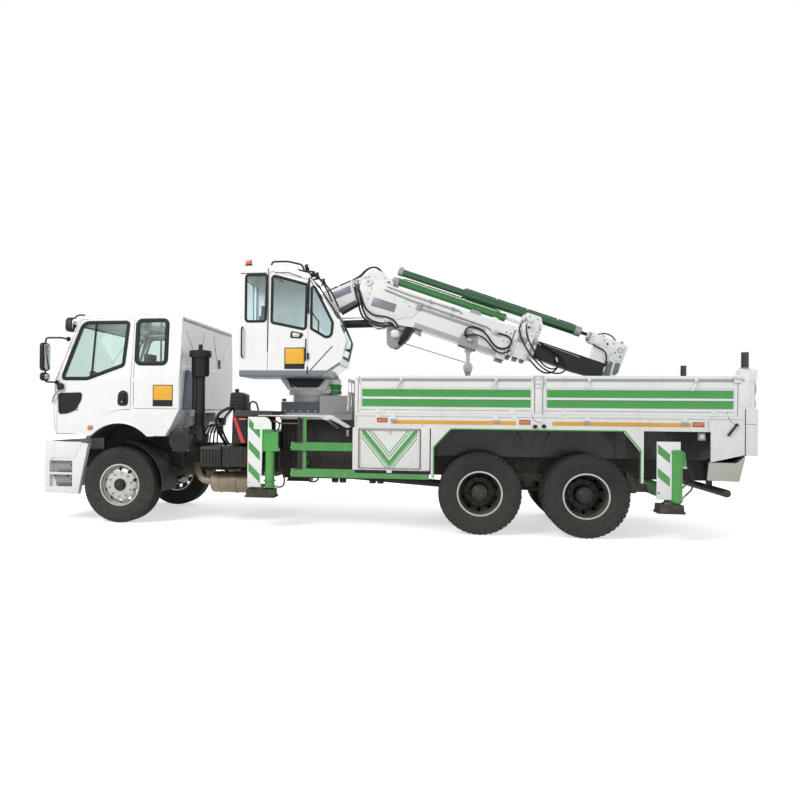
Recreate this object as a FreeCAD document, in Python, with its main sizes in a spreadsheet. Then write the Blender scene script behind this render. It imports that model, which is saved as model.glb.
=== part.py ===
import FreeCAD, Part
import math
import os

import Sketcher

# Knuckle boom crane truck: a cab-over 6x4 lorry with a drop-side platform, four stabilizer
# legs and a folding crane with its own cab, standing between the truck's cab and the platform.
#
# X runs from the front bumper to the tail, Y to the right-hand side and Z up. The origin is
# on the ground, under the middle of the truck. Lengths are in millimetres, angles in degrees.
# Stations along the truck are taken from the front axle, the crane's from its slewing axis.

Vector = FreeCAD.Vector

SIZES = {
    # layout along the truck
    "front_overhang": 1200,
    "wheelbase": 5054,
    "tandem_spacing": 1359,
    "rear_overhang": 2037,
    "crane_setback": 2590,
    "platform_setback": 3387,
    "half_width": 1250,
    # fits
    "seat_gap": 0.3,
    "running_gap": 8,
    "bearing_gap": 0.6,
    # chassis frame
    "rail_half_spacing": 430,
    "rail_top": 1000,
    "rail_depth": 280,
    "rail_flange": 80,
    "rail_wall": 8,
    "frame_nose": 950,
    "nose_length": 40,
    "pivot_height": 950,
    "pivot_radius": 25,
    "cab_arm_offset": 470,
    "cab_arm_wall": 44,
    "cab_foot_flange": 60,
    "frame_tail_gap": 160,
    "cross_member_length": 110,
    "cross_member_drop": 20,
    "cross_member_depth": 120,
    # tyres and wheels
    "front_tyre_radius": 538,
    "rear_tyre_radius": 545,
    "tyre_half_width": 150,
    "tread_half_width": 122,
    "tread_wall": 32,
    "side_wall": 17,
    "bead_radius": 290,
    "bead_half_width": 114,
    "wheel_face": 1200,
    "twin_spacing": 350,
    "rim_wall": 10,
    "rim_lip": 18,
    "disc_wall": 14,
    "disc_radius": 205,
    "front_disc_offset": 105,
    "hand_hole_radius": 27,
    "hand_hole_circle": 228,
    "hub_radius": 88,
    "hub_cap_radius": 70,
    "drum_radius": 200,
    "drum_wall": 12,
    "spindle_radius": 38,
    "axle_end_radius": 52,
    # front axle and steering
    "kingpin_offset": 920,
    "kingpin_radius": 20,
    "kingpin_boss_radius": 46,
    "kingpin_boss_height": 130,
    "beam_half_thickness": 42,
    "beam_depth": 95,
    "beam_drop": 85,
    "spring_offset": 390,
    "spring_width": 76,
    "front_spring_reach": 800,
    "hanger_foot": 640,
    "yoke_thickness": 38,
    # rear axles
    "housing_radius": 82,
    "diff_radius": 205,
    "diff_half_width": 170,
    "bogie_spring_offset": 480,
    "bogie_spring_width": 84,
    "trunnion_height": 650,
    # engine and drive
    "engine_front": 700,
    "engine_rear": 560,
    "engine_half_width": 300,
    "engine_bottom": 640,
    "engine_top": 1530,
    "gearbox_length": 620,
    "gearbox_half_width": 190,
    "gearbox_top": 1110,
    "shaft_radius": 55,
    "shaft_front_height": 775,
    # truck cab
    "cab_half_width": 1200,
    "cab_wall": 50,
    "cab_rear": 890,
    "cab_foot_height": 1241,
    "cab_floor": 1430,
    "nose_foot": 1037,
    "nose_reach": 1066,
    "nose_height": 1619,
    "screen_foot": 1011,
    "screen_foot_height": 2006,
    "brow_reach": 664,
    "brow_height": 2925,
    "roof_height": 3018,
    "cab_rear_foot": 694,
    "cab_rear_kick": 1627,
    "roof_half_width": 1115,
    "waist_height": 2030,
    "roof_corner": 120,
    "front_corner": 130,
    "arch_centre_height": 837,
    "arch_radius": 577,
    "flare_setback": 128,
    "flare_centre_height": 789,
    "flare_radius": 822,
    "flare_stand": 22,
    "tunnel_half_width": 350,
    "tunnel_top": 1580,
    "floor_wall": 40,
    # truck doors and windows
    "door_front": 955,
    "door_foot_height": 1262,
    "door_rear_top": 178,
    "door_rear_foot": 156,
    "door_top_front": 628,
    "door_top_height": 2906,
    "door_rear_top_height": 2943,
    "door_kink": 897,
    "door_kink_height": 2050,
    "window_front_top": 588,
    "window_top": 2852,
    "window_rear_top": 83,
    "window_rear_foot": 33,
    "window_rear_sill": 2254,
    "window_kink": 499,
    "window_sill": 2062,
    "window_front_foot": 868,
    "quarter_front": 252,
    "quarter_rear": 665,
    "quarter_sill": 2281,
    "quarter_top": 2876,
    "window_round": 45,
    "glass_depth": 18,
    "glass_wall": 6,
    "screen_margin": 95,
    "screen_bottom": 2040,
    "screen_top": 2830,
    "hinge_setback": 55,
    # mirrors
    "mirror_tube": 22,
    "mirror_arm": 150,
    "mirror_reach": 1072,
    "mirror_low": 1984,
    "mirror_high": 2614,
    "mirror_low_root": 963,
    "mirror_high_root": 823,
    # bumper
    "bumper_reach": 1200,
    "bumper_break_height": 600,
    "bumper_top_reach": 1139,
    "bumper_top": 1155,
    "bumper_foot_reach": 1180,
    "bumper_foot": 410,
    "bumper_rear_top": 467,
    "bumper_rear_foot": 615,
    "bumper_rear_height": 1120,
    "bumper_half_width": 1215,
    "bumper_wing": 85,
    "bumper_face": 44,
    "step_front": 1056,
    "step_rear": 705,
    "step_bottom": 502,
    "step_top": 871,
    "step_depth": 62,
    # mudguards
    "flap_inset": 60,
    "guard_radius": 621,
    "guard_wall": 6,
    "flap_wall": 10,
    "flap_foot": 100,
    # crane base and stabilizers
    "subframe_height": 75,
    "base_front": 650,
    "base_rear": 660,
    "housing_bottom": 1063,
    "housing_top": 1332,
    "beam_width": 150,
    "beam_height": 190,
    "box_wall": 12,
    "leg_setback": 377,
    "leg_face": 1290,
    "leg_plate_bottom": 571,
    "leg_plate_top": 1529,
    "leg_plate_length": 337,
    "leg_barrel_radius": 66,
    "leg_rod_radius": 42,
    "leg_barrel_bottom": 560,
    "leg_barrel_top": 1345,
    "foot_bottom": 432,
    "foot_top": 545,
    "foot_half_length": 215,
    "foot_half_width": 120,
    "leg_plate_wall": 16,
    "rear_leg_setback": 827,
    "rear_plate_length": 281,
    "rear_barrel_radius": 58,
    "rear_cross_bottom": 570,
    "rear_foot_length": 343,
    "rear_plate_top": 1272,
    "rear_plate_bottom": 542,
    "rear_foot_bottom": 369,
    "rear_barrel_bottom": 500,
    "rear_barrel_top": 1159,
    "pedestal_front": 420,
    "pedestal_rear": 637,
    "pedestal_half_width": 428,
    "pedestal_top": 1754,
    "pedestal_shoulder": 1850,
    "shoulder_front": 153,
    "ring_radius": 330,
    "turntable_radius": 395,
    "turntable_bottom": 1862,
    "turntable_top": 1925,
    # crane column
    "column_half_width": 190,
    "column_front": 260,
    "column_rear": 70,
    "column_fork_half_gap": 128,
    "column_waist": 2300,
    "column_shoulder": 2700,
    "column_top": 3215,
    # crane cab
    "crane_cab_side": 1200,
    "crane_cab_inner": 436,
    "crane_cab_wall": 40,
    "crane_cab_rear": 834,
    "crane_cab_floor": 2100,
    "crane_cab_roof": 3634,
    "crane_cab_roof_front": 137,
    "crane_cab_brow": 173,
    "crane_cab_brow_height": 3425,
    "crane_cab_screen": 523,
    "crane_cab_screen_height": 2898,
    "crane_cab_nose": 664,
    "crane_cab_nose_height": 2600,
    "crane_cab_chin": 583,
    "crane_cab_chin_height": 2247,
    "crane_cab_toe": 367,
    "crane_door_rear_top": 406,
    "crane_door_rear_foot": 431,
    "crane_door_front": 120,
    "crane_door_foot": 2140,
    "crane_door_top_rear": 3540,
    "crane_door_corner": 45,
    "crane_door_top_front": 3405,
    "beacon_radius": 45,
    "beacon_height": 95,
    # boom
    "foot_pin_reach": 320,
    "foot_pin_height": 3100,
    "elbow_reach": 840,
    "elbow_height": 3560,
    "pin_radius": 32,
    "pin_gap": 6,
    "inner_boom_half_width": 115,
    "outer_slope": 19.5,
    "outer_length": 2260,
    "outer_top": 55,
    "outer_bottom": 420,
    "outer_half_width": 175,
    "boom_wall": 14,
    "knee_reach": 256,
    "knee_drop": 590,
    "extension_gap": 18,
    "first_start": 430,
    "first_end": 2632,
    "first_top": 30,
    "first_bottom": 315,
    "first_half_width": 138,
    "collar_start": 2285,
    "collar_end": 2560,
    "collar_grow": 34,
    "second_start": 760,
    "second_end": 3640,
    "second_top": -10,
    "second_bottom": 265,
    "second_half_width": 105,
    "second_tip_rise": 30,
    "head_start": 3258,
    "head_end": 3844,
    "head_top": 350,
    "head_bottom": 215,
    "head_half_width": 92,
    "tip_pin_radius": 25,
    # boom cylinders
    "first_cylinder_rise": 166,
    "first_cylinder_start": 357,
    "first_cylinder_end": 2081,
    "first_cylinder_radius": 46,
    "second_cylinder_rise": 318,
    "second_cylinder_start": 389,
    "second_cylinder_step": 1395,
    "second_cylinder_end": 3160,
    "second_cylinder_radius": 50,
    "second_cylinder_swell": 9,
    "cylinder_wall": 9,
    "extension_rod_radius": 24,
    "lift_base_reach": 200,
    "lift_base_height": 2150,
    "lift_eye_reach": 110,
    "lift_eye_height": 3120,
    "lift_barrel_radius": 66,
    "lift_rod_radius": 39,
    "fold_base_reach": 275,
    "fold_base_height": 2948,
    "fold_eye_reach": 1094,
    "fold_eye_height": 2965,
    "fold_barrel_radius": 62,
    "fold_rod_radius": 40,
    "eye_half_width": 42,
    "boss_inset": 3,
    "ram_start": 165,
    "ram_spare": 55,
    "cheek_wall": 22,
    # winch and hook
    "winch_reach": 637,
    "winch_drop": 600,
    "winch_radius": 95,
    "winch_half_width": 120,
    "hanger_reach": 1730,
    "hanger_drop": 470,
    "sheave_radius": 62,
    "sheave_drop": 255,
    "hook_drop": 150,
    "hook_radius": 30,
    # platform
    "deck_height": 1600,
    "deck_wall": 40,
    "plank_rise": 4,
    "skirt_bottom": 1400,
    "sill_width": 80,
    "board_top": 2075,
    "gate_top": 2095,
    "board_bottom": 1614,
    "board_wall": 32,
    "centre_post_setback": 692,
    "centre_post": 94,
    "post_depth": 60,
    "skirt_wall": 16,
    "bearer_rise": 30,
    "bearer_inset": 45,
    "bearer_wall": 60,
    "front_post": 42,
    "rear_post_lead": 105,
    "rear_post_setback": 60,
    "stake_radius": 44,
    "rear_post_top": 2193,
    "centre_post_top": 2088,
    "stake_top": 2400,
    "hinge_lug": 60,
    "hinge_front_inset": 233,
    "hinge_rear_inset": 310,
    "hinge_pin_radius": 5.5,
    "hinge_leaf": 70,
    "gate_gap": 10,
    "hinge_stand": 6,
    "tail_panel_length": 140,
    "tail_panel_wall": 20,
    "tail_hinge_room": 12,
    "tail_skirt_bottom": 1016,
    "tail_panel_bottom": 1109,
    "tail_panel_top": 1694,
    "tail_skirt_length": 420,
    "arch_front": 604,
    "arch_rear": 639,
    "arch_strip": 40,
    "arch_foot": 739,
    "arch_shoulder": 1140,
    "arch_chamfer": 215,
    # toolbox and side guards
    "toolbox_start": 24,
    "toolbox_length": 1012,
    "toolbox_bottom": 835,
    "toolbox_depth": 520,
    "toolbox_door_start": 62,
    "toolbox_door_length": 822,
    "toolbox_door_bottom": 860,
    "toolbox_door_top": 1389,
    "guard_setback": 2515,
    "guard_upper_length": 843,
    "guard_lower_length": 1875,
    "guard_arm_height": 880,
    "guard_arm_wall": 60,
    "guard_post_inset": 140,
    "guard_post_wall": 30,
    "guard_upper": 1080,
    "guard_lower": 721,
    "guard_height": 112,
    "guard_rail_wall": 30,
    "guard_post_length": 66,
    "guard_post_top": 1522,
}


class Size:
    """A length or an angle: its number, and the sheet formula that gives it."""

    def __init__(self, number, formula):
        self.number = number
        self.formula = formula

    def __add__(self, other):
        return combine(self, "+", other)

    def __radd__(self, other):
        return combine(other, "+", self)

    def __sub__(self, other):
        return combine(self, "-", other)

    def __rsub__(self, other):
        return combine(other, "-", self)

    def __mul__(self, other):
        return combine(self, "*", other)

    def __rmul__(self, other):
        return combine(other, "*", self)

    def __truediv__(self, other):
        return combine(self, "/", other)

    def __neg__(self):
        return combine(-1, "*", self)


class Sheet:
    """The spreadsheet of driving dimensions: sheet.wheelbase gives that size."""

    def __init__(self, document, rows):
        self.rows = rows
        table = document.addObject("Spreadsheet::Sheet", "Sizes")
        for row, (name, number) in enumerate(rows.items(), start=1):
            table.set(f"A{row}", name)
            table.set(f"B{row}", str(number))
            table.setAlias(f"B{row}", name)

    def __getattr__(self, name):
        return Size(float(self.rows[name]), f"Sizes.{name}")


def as_size(value):
    """A plain number is a size that nothing drives."""
    return value if isinstance(value, Size) else Size(float(value), repr(float(value)))


def combine(left, sign, right):
    a, b = as_size(left), as_size(right)
    results = {
        "+": lambda: a.number + b.number,
        "-": lambda: a.number - b.number,
        "*": lambda: a.number * b.number,
        "/": lambda: a.number / b.number,
    }
    return Size(results[sign](), f"({a.formula} {sign} {b.formula})")


def slope_of(rise, run):
    """The angle whose tangent is rise over run."""
    a, b = as_size(rise), as_size(run)
    return Size(math.degrees(math.atan2(a.number, b.number)), f"atan2({a.formula}; {b.formula})")


def distance(rise, run):
    a, b = as_size(rise), as_size(run)
    return Size(math.hypot(a.number, b.number), f"hypot({a.formula}; {b.formula})")


doc = FreeCAD.newDocument("crane_truck")
S = Sheet(doc, SIZES)
doc.recompute()


# Each view draws an outline in two axes and extrudes it along the third.
VIEWS = {
    "side": {"turn": FreeCAD.Rotation(Vector(1, 0, 0), 90), "axis": Vector(0, 1, 0), "along": "y"},
    "front": {"turn": FreeCAD.Rotation(Vector(1, 1, 1), 120), "axis": Vector(1, 0, 0), "along": "x"},
    "plan": {"turn": FreeCAD.Rotation(), "axis": Vector(0, 0, 1), "along": "z"},
}
PLANES = {"side": "XZ_Plane", "front": "YZ_Plane", "plan": "XY_Plane"}
NODES = []


def bind(item, **paths):
    """Drive an item's properties by sizes; a double underscore stands for a dot."""
    for path, size in paths.items():
        item.setExpression(path.replace("__", "."), as_size(size).formula)


def put(item, x=0, y=0, z=0, axis=Vector(0, 1, 0), angle=0):
    """Place an item, turned by an angle about an axis through its own origin."""
    turn = as_size(angle)
    point = [as_size(value) for value in (x, y, z)]
    item.Placement = FreeCAD.Placement(
        Vector(*(value.number for value in point)), FreeCAD.Rotation(axis, turn.number)
    )
    bind(item, Placement__Base__x=x, Placement__Base__y=y, Placement__Base__z=z)
    if isinstance(angle, Size):
        bind(item, Placement__Rotation__Angle=turn)
    return item


def draw(sketch, points):
    """Close a polygon through the points; a third value rounds that corner."""
    corners = [[as_size(value) for value in point] for point in points]
    count = len(corners)
    for index in range(count):
        start, end = corners[index], corners[(index + 1) % count]
        line = Part.LineSegment(
            Vector(start[0].number, start[1].number, 0), Vector(end[0].number, end[1].number, 0)
        )
        sketch.addGeometry(line)
    for index in range(count):
        sketch.addConstraint(Sketcher.Constraint("Coincident", index, 2, (index + 1) % count, 1))
    for index, corner in enumerate(corners):
        for kind, size in zip(("DistanceX", "DistanceY"), corner):
            rule = sketch.addConstraint(Sketcher.Constraint(kind, -1, 1, index, 1, size.number))
            sketch.setExpression(f"Constraints[{rule}]", size.formula)
    for index, corner in enumerate(corners):
        if len(corner) == 3:
            sketch.fillet(index, 1, corner[2].number, True, True)
            arcs = [n for n, shape in enumerate(sketch.Geometry) if isinstance(shape, Part.ArcOfCircle)]
            rule = sketch.addConstraint(Sketcher.Constraint("Radius", arcs[-1], corner[2].number))
            sketch.setExpression(f"Constraints[{rule}]", corner[2].formula)
    return sketch


def outline(view, points, level=0):
    """A sketch across one of the main axes, at a level along it."""
    sketch = doc.addObject("Sketcher::SketchObject", "Outline")
    sketch.Placement = FreeCAD.Placement(Vector(), VIEWS[view]["turn"])
    bind(sketch, **{"Placement__Base__" + VIEWS[view]["along"]: level})
    return draw(sketch, points)


def slab(view, points, start, end, inset=None):
    """The solid between two levels with the outline, drawn in by an inset if there is one."""
    base = outline(view, points, start)
    if inset is not None:
        inner = doc.addObject("Part::Offset2D", "Inset")
        inner.Source = base
        inner.Join = "Intersection"
        bind(inner, Value=-inset)
        base = inner
    solid = doc.addObject("Part::Extrusion", "Slab")
    solid.Base = base
    solid.DirMode = "Custom"
    solid.Dir = VIEWS[view]["axis"]
    solid.Solid = True
    bind(solid, LengthFwd=end - start)
    return solid


def box(x, y, z):
    """A block between two levels along each axis."""
    solid = doc.addObject("Part::Box", "Block")
    bind(solid, Length=x[1] - x[0], Width=y[1] - y[0], Height=z[1] - z[0])
    bind(solid, Placement__Base__x=x[0], Placement__Base__y=y[0], Placement__Base__z=z[0])
    return solid


def rod(view, a, b, radius, start, end):
    """A round bar across the view's plane, through a point of that plane."""
    solid = doc.addObject("Part::Cylinder", "Bar")
    turn = {
        "side": FreeCAD.Rotation(Vector(1, 0, 0), -90),
        "front": FreeCAD.Rotation(Vector(0, 1, 0), 90),
        "plan": FreeCAD.Rotation(),
    }[view]
    solid.Placement = FreeCAD.Placement(Vector(), turn)
    first, second = {"side": "xz", "front": "yz", "plan": "xy"}[view]
    spots = {first: a, second: b, VIEWS[view]["along"]: start}
    bind(solid, Radius=radius, Height=end - start)
    bind(solid, **{"Placement__Base__" + letter: spot for letter, spot in spots.items()})
    return solid


def turned(points, axis="y"):
    """A solid of revolution from (along, radius) points, about its own origin."""
    view = {"y": "front", "x": "side"}[axis]
    solid = doc.addObject("Part::Revolution", "Turned")
    solid.Source = outline(view, points)
    solid.Axis = {"y": Vector(0, 1, 0), "x": Vector(1, 0, 0)}[axis]
    solid.Angle = 360
    solid.Solid = True
    return solid


def join(*pieces):
    solid = doc.addObject("Part::MultiFuse", "Joined")
    solid.Shapes = list(pieces)
    return solid


def meet(*pieces):
    solid = doc.addObject("Part::MultiCommon", "Met")
    solid.Shapes = list(pieces)
    return solid


def cut(base, *tools):
    solid = doc.addObject("Part::Cut", "Cut")
    solid.Base = base
    solid.Tool = tools[0] if len(tools) == 1 else join(*tools)
    return solid


def mirrored(piece):
    """The same piece on the other side of the truck."""
    other = doc.addObject("Part::Mirroring", "Mirrored")
    other.Source = piece
    other.Normal = Vector(0, 1, 0)
    return other


def together(*pieces):
    """Separate solids that one body carries."""
    group = doc.addObject("Part::Compound", "Group")
    group.Links = list(pieces)
    return group


def node(name, item):
    """Name a finished sub-part; its file takes the name."""
    item.Label = name
    NODES.append(item)
    return item


class Body:
    """A PartDesign body, drawn about its own origin."""

    def __init__(self):
        self.item = doc.addObject("PartDesign::Body", "Body")
        self.item.AllowCompound = True

    def sketch(self, view, points):
        planes = self.item.Origin.OriginFeatures
        plane = next(feature for feature in planes if feature.Role == PLANES[view])
        sketch = self.item.newObject("Sketcher::SketchObject", "Sketch")
        sketch.AttachmentSupport = [(plane, "")]
        sketch.MapMode = "FlatFace"
        return draw(sketch, points)

    def pad(self, view, points, width):
        """Add the outline's solid, half its width each side of the plane."""
        pad = self.item.newObject("PartDesign::Pad", "Pad")
        pad.Profile = self.sketch(view, points)
        pad.SideType = "Symmetric"
        bind(pad, Length=width)
        return self

    def pocket(self, view, points, width):
        """Cut the outline's solid, half its width each side of the plane."""
        pocket = self.item.newObject("PartDesign::Pocket", "Pocket")
        pocket.Profile = self.sketch(view, points)
        pocket.SideType = "Symmetric"
        bind(pocket, Length=width)
        return self


# Places that many pieces share.
overall_length = S.front_overhang + S.wheelbase + S.tandem_spacing + S.rear_overhang
front_axle = S.front_overhang - overall_length / 2
first_axle = front_axle + S.wheelbase
last_axle = first_axle + S.tandem_spacing
bogie = first_axle + S.tandem_spacing / 2
tail = last_axle + S.rear_overhang
slew = front_axle + S.crane_setback
deck_front = front_axle + S.platform_setback
rail_bottom = S.rail_top - S.rail_depth
web = S.rail_half_spacing - S.rail_wall
gate_face = tail - S.tail_hinge_room
BEARERS = 7


def ahead(size):
    """A station that far in front of the front axle."""
    return front_axle - size


def behind(size):
    return front_axle + size


def frame():
    """Two channel rails and the cross members between them."""
    y = -S.rail_half_spacing
    lip = y + S.rail_flange
    start, end = ahead(S.frame_nose + S.nose_length), tail - S.frame_tail_gap
    channel = [
        (y, rail_bottom),
        (lip, rail_bottom),
        (lip, rail_bottom + S.rail_wall),
        (y + S.rail_wall, rail_bottom + S.rail_wall, S.rail_wall),
        (y + S.rail_wall, S.rail_top - S.rail_wall, S.rail_wall),
        (lip, S.rail_top - S.rail_wall),
        (lip, S.rail_top),
        (y, S.rail_top),
    ]
    rail = slab("front", channel, start, end)
    reach = S.rail_half_spacing - S.rail_wall - S.seat_gap
    top = S.rail_top - S.cross_member_drop
    stations = [
        start + S.rail_wall,
        behind(1450),
        slew + 560,
        first_axle - 620,
        bogie - S.cross_member_length / 2,
        last_axle + 560,
        end - S.cross_member_length - S.rail_wall,
    ]
    members = [
        box((x, x + S.cross_member_length), (-reach, reach), (top - S.cross_member_depth, top))
        for x in stations
    ]
    arm = S.cab_arm_offset + S.cab_arm_wall
    side = y - S.seat_gap
    pivot = rod("side", ahead(S.frame_nose), S.pivot_height, S.pivot_radius, -arm - 12, side)
    rest = behind(S.cab_rear_foot)
    stool = slab(
        "front",
        [
            (side, rail_bottom + 60),
            (side, S.rail_top),
            (y - 60, S.cab_foot_height - S.seat_gap),
            (y - 150, S.cab_foot_height - S.seat_gap),
            (y - 150, S.cab_foot_height - 70),
        ],
        rest - S.cab_foot_flange,
        rest,
    )
    left = together(rail, pivot, stool)
    node("frame", together(left, mirrored(left), *members))


def engine():
    """The engine block under the cab and its gearbox, on arms from the rails."""
    front, rear = ahead(S.engine_front), behind(S.engine_rear)
    half = S.engine_half_width
    block = slab(
        "front",
        [
            (-half, S.engine_bottom + 160),
            (-half * 0.6, S.engine_bottom, 40),
            (half * 0.6, S.engine_bottom, 40),
            (half, S.engine_bottom + 160),
            (half, S.engine_top - 180),
            (half * 0.75, S.engine_top, 60),
            (-half * 0.75, S.engine_top, 60),
            (-half, S.engine_top - 180),
        ],
        front,
        rear,
    )
    gearbox = box(
        (rear, rear + S.gearbox_length),
        (-S.gearbox_half_width, S.gearbox_half_width),
        (S.engine_bottom + 60, S.gearbox_top),
    )
    arm_reach = web - S.seat_gap
    arms = [box((x, x + 90), (-arm_reach, arm_reach), (810, 870)) for x in (front + 200, rear - 200)]
    node("engine", join(block, gearbox, *arms))


def leaf_spring(y, width, reach, end_height, middle_height, end_wall, middle_wall):
    """A pack of leaves seen from the side, bowed between its two ends."""
    sweep = reach * 3
    points = [
        (-reach, end_height - end_wall),
        (0, middle_height - middle_wall, sweep),
        (reach, end_height - end_wall),
        (reach, end_height),
        (0, middle_height, sweep),
        (-reach, end_height),
    ]
    return slab("side", points, y - width / 2, y + width / 2)


def front_axle_beam():
    """The dropped beam, its two springs and their hangers under the rails."""
    height = S.front_tyre_radius
    boss_bottom = height - S.kingpin_boss_height / 2
    top = height + S.beam_depth / 2
    low = top - S.beam_drop
    half = S.beam_half_thickness
    kink, inner = 640, 500
    end = S.kingpin_offset
    beam = slab(
        "front",
        [
            (-end, top - S.beam_depth),
            (-kink, top - S.beam_depth, 60),
            (-inner, low - S.beam_depth, 60),
            (inner, low - S.beam_depth, 60),
            (kink, top - S.beam_depth, 60),
            (end, top - S.beam_depth),
            (end, top),
            (kink, top, 60),
            (inner, low, 60),
            (-inner, low, 60),
            (-kink, top, 60),
            (-end, top),
        ],
        front_axle - half,
        front_axle + half,
    )
    bosses, holes, springs = [], [], []
    for y in (-end, end):
        size = (boss_bottom, boss_bottom + S.kingpin_boss_height)
        bosses.append(rod("plan", front_axle, y, S.kingpin_boss_radius, *size))
        holes.append(rod("plan", front_axle, y, S.kingpin_radius + S.bearing_gap, *size))
    hanger_half = 45
    for y in (-S.spring_offset, S.spring_offset):
        sides = (y - S.spring_width / 2, y + S.spring_width / 2)
        spring = leaf_spring(y, S.spring_width, S.front_spring_reach, 690, low + 70, 34, 74)
        springs.append(put(spring, x=front_axle))
        springs.append(box((front_axle - 80, front_axle + 80), sides, (low - 10, low + 60)))
        for x in (-S.front_spring_reach, S.front_spring_reach):
            centre = front_axle + x
            hanger = (S.hanger_foot, rail_bottom - S.seat_gap)
            springs.append(box((centre - hanger_half, centre + hanger_half), sides, hanger))
    node("front_axle", cut(join(beam, *bosses, *springs), *holes))


def knuckle(side):
    """The fork that holds the kingpin, with the spindle its wheel turns on; side is -1 or 1."""
    height = S.front_tyre_radius
    gap = S.running_gap
    top = height + S.kingpin_boss_height / 2 + gap
    bottom = height - S.kingpin_boss_height / 2 - gap
    plate_near = S.kingpin_boss_radius + gap
    plate_far = plate_near + 26
    arms = [
        box((-50, 50), (-45, plate_far), (top, top + S.yoke_thickness)),
        box((-50, 50), (-45, plate_far), (bottom - S.yoke_thickness, bottom)),
    ]
    plate = box((-60, 60), (plate_near, plate_far), (bottom - S.yoke_thickness, top + S.yoke_thickness))
    pin = rod("plan", 0, 0, S.kingpin_radius, bottom - 10, top + 10)
    spindle = rod("side", 0, height, S.spindle_radius, plate_near, plate_far + 105)
    piece = join(*arms, plate, pin, spindle)
    if side < 0:
        piece = mirrored(piece)
    name = "left_knuckle" if side < 0 else "right_knuckle"
    node(name, put(piece, x=front_axle, y=side * S.kingpin_offset))


def tyre(radius, centre=0):
    """A hollow tyre about its own axis, with its middle at a place along it."""
    bead, foot = S.bead_half_width, S.bead_radius
    half, tread = S.tyre_half_width, S.tread_half_width
    bulge = (radius + foot) / 2
    wall = S.side_wall
    outer = [
        (-bead, foot),
        (-bead, foot + S.rim_lip + S.seat_gap),
        (-half, bulge, 90),
        (-tread, radius, 24),
        (tread, radius, 24),
        (half, bulge, 90),
        (bead, foot + S.rim_lip + S.seat_gap),
        (bead, foot),
    ]
    inner = [
        (bead - wall, foot),
        (half - wall, bulge),
        (tread - wall, radius - S.tread_wall),
        (-tread + wall, radius - S.tread_wall),
        (-half + wall, bulge),
        (-bead + wall, foot),
    ]
    points = [(point[0] + centre, *point[1:]) for point in outer + inner]
    return turned(points)


def barrel(centre):
    """A rim's barrel with its two flanges, about the wheel's own axis."""
    bead = S.bead_half_width + S.seat_gap
    outer = S.bead_radius - S.seat_gap
    inner = outer - S.rim_wall
    lip = S.bead_radius + S.rim_lip
    flange = bead + S.rim_wall
    well = 28
    points = [
        (-flange, inner),
        (-flange, lip),
        (-bead, lip),
        (-bead, outer),
        (-well * 2, outer),
        (-well, outer - well),
        (well, outer - well),
        (well * 2, outer),
        (bead, outer),
        (bead, lip),
        (flange, lip),
        (flange, inner),
        (well * 2.2, inner),
        (well * 1.2, inner - well),
        (-well * 1.2, inner - well),
        (-well * 2.2, inner),
    ]
    return turned([(point[0] + centre, *point[1:]) for point in points])


def hand_holes(count, start, end):
    """The ring of ventilation holes through a disc."""
    holes = []
    for step in range(count):
        turn = math.radians(360 * (step + 0.5) / count)
        x = S.hand_hole_circle * math.cos(turn)
        z = S.hand_hole_circle * math.sin(turn)
        holes.append(rod("side", x, z, S.hand_hole_radius, start, end))
    return join(*holes)


def front_wheel(side):
    """A single wheel, its disc close to the outer face; the outer side is towards -Y."""
    face = -S.front_disc_offset
    wall = S.disc_wall
    rim_inner = S.bead_radius - S.seat_gap - S.rim_wall
    disc = turned(
        [
            (face, S.hub_radius - 10),
            (face, S.disc_radius, 30),
            (-48, rim_inner + 2),
            (-48 + wall * 1.6, rim_inner + 2),
            (face + wall, S.disc_radius - 6),
            (face + wall, S.hub_radius - 10),
        ]
    )
    bore = S.spindle_radius + S.bearing_gap
    hub = turned(
        [
            (face - 46, 0),
            (face - 46, S.hub_cap_radius, 12),
            (face - 10, S.hub_cap_radius),
            (face - 10, S.hub_radius),
            (face + 40, S.hub_radius),
            (face + 40, S.drum_radius - S.drum_wall),
            (44, S.drum_radius - S.drum_wall),
            (44, S.drum_radius),
            (face + 26, S.drum_radius),
            (face + 26, S.hub_radius - 12),
            (38, S.hub_radius - 12),
            (38, bore),
            (face, bore),
            (face, 0),
        ]
    )
    rim = cut(join(barrel(0), disc, hub), hand_holes(10, face - 20, -30))
    wheel = together(tyre(S.front_tyre_radius), rim)
    if side > 0:
        wheel = mirrored(wheel)
    y = side * (S.wheel_face - S.tyre_half_width)
    name = "front_left_wheel" if side < 0 else "front_right_wheel"
    node(name, put(wheel, x=front_axle, y=y, z=S.front_tyre_radius))


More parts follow.
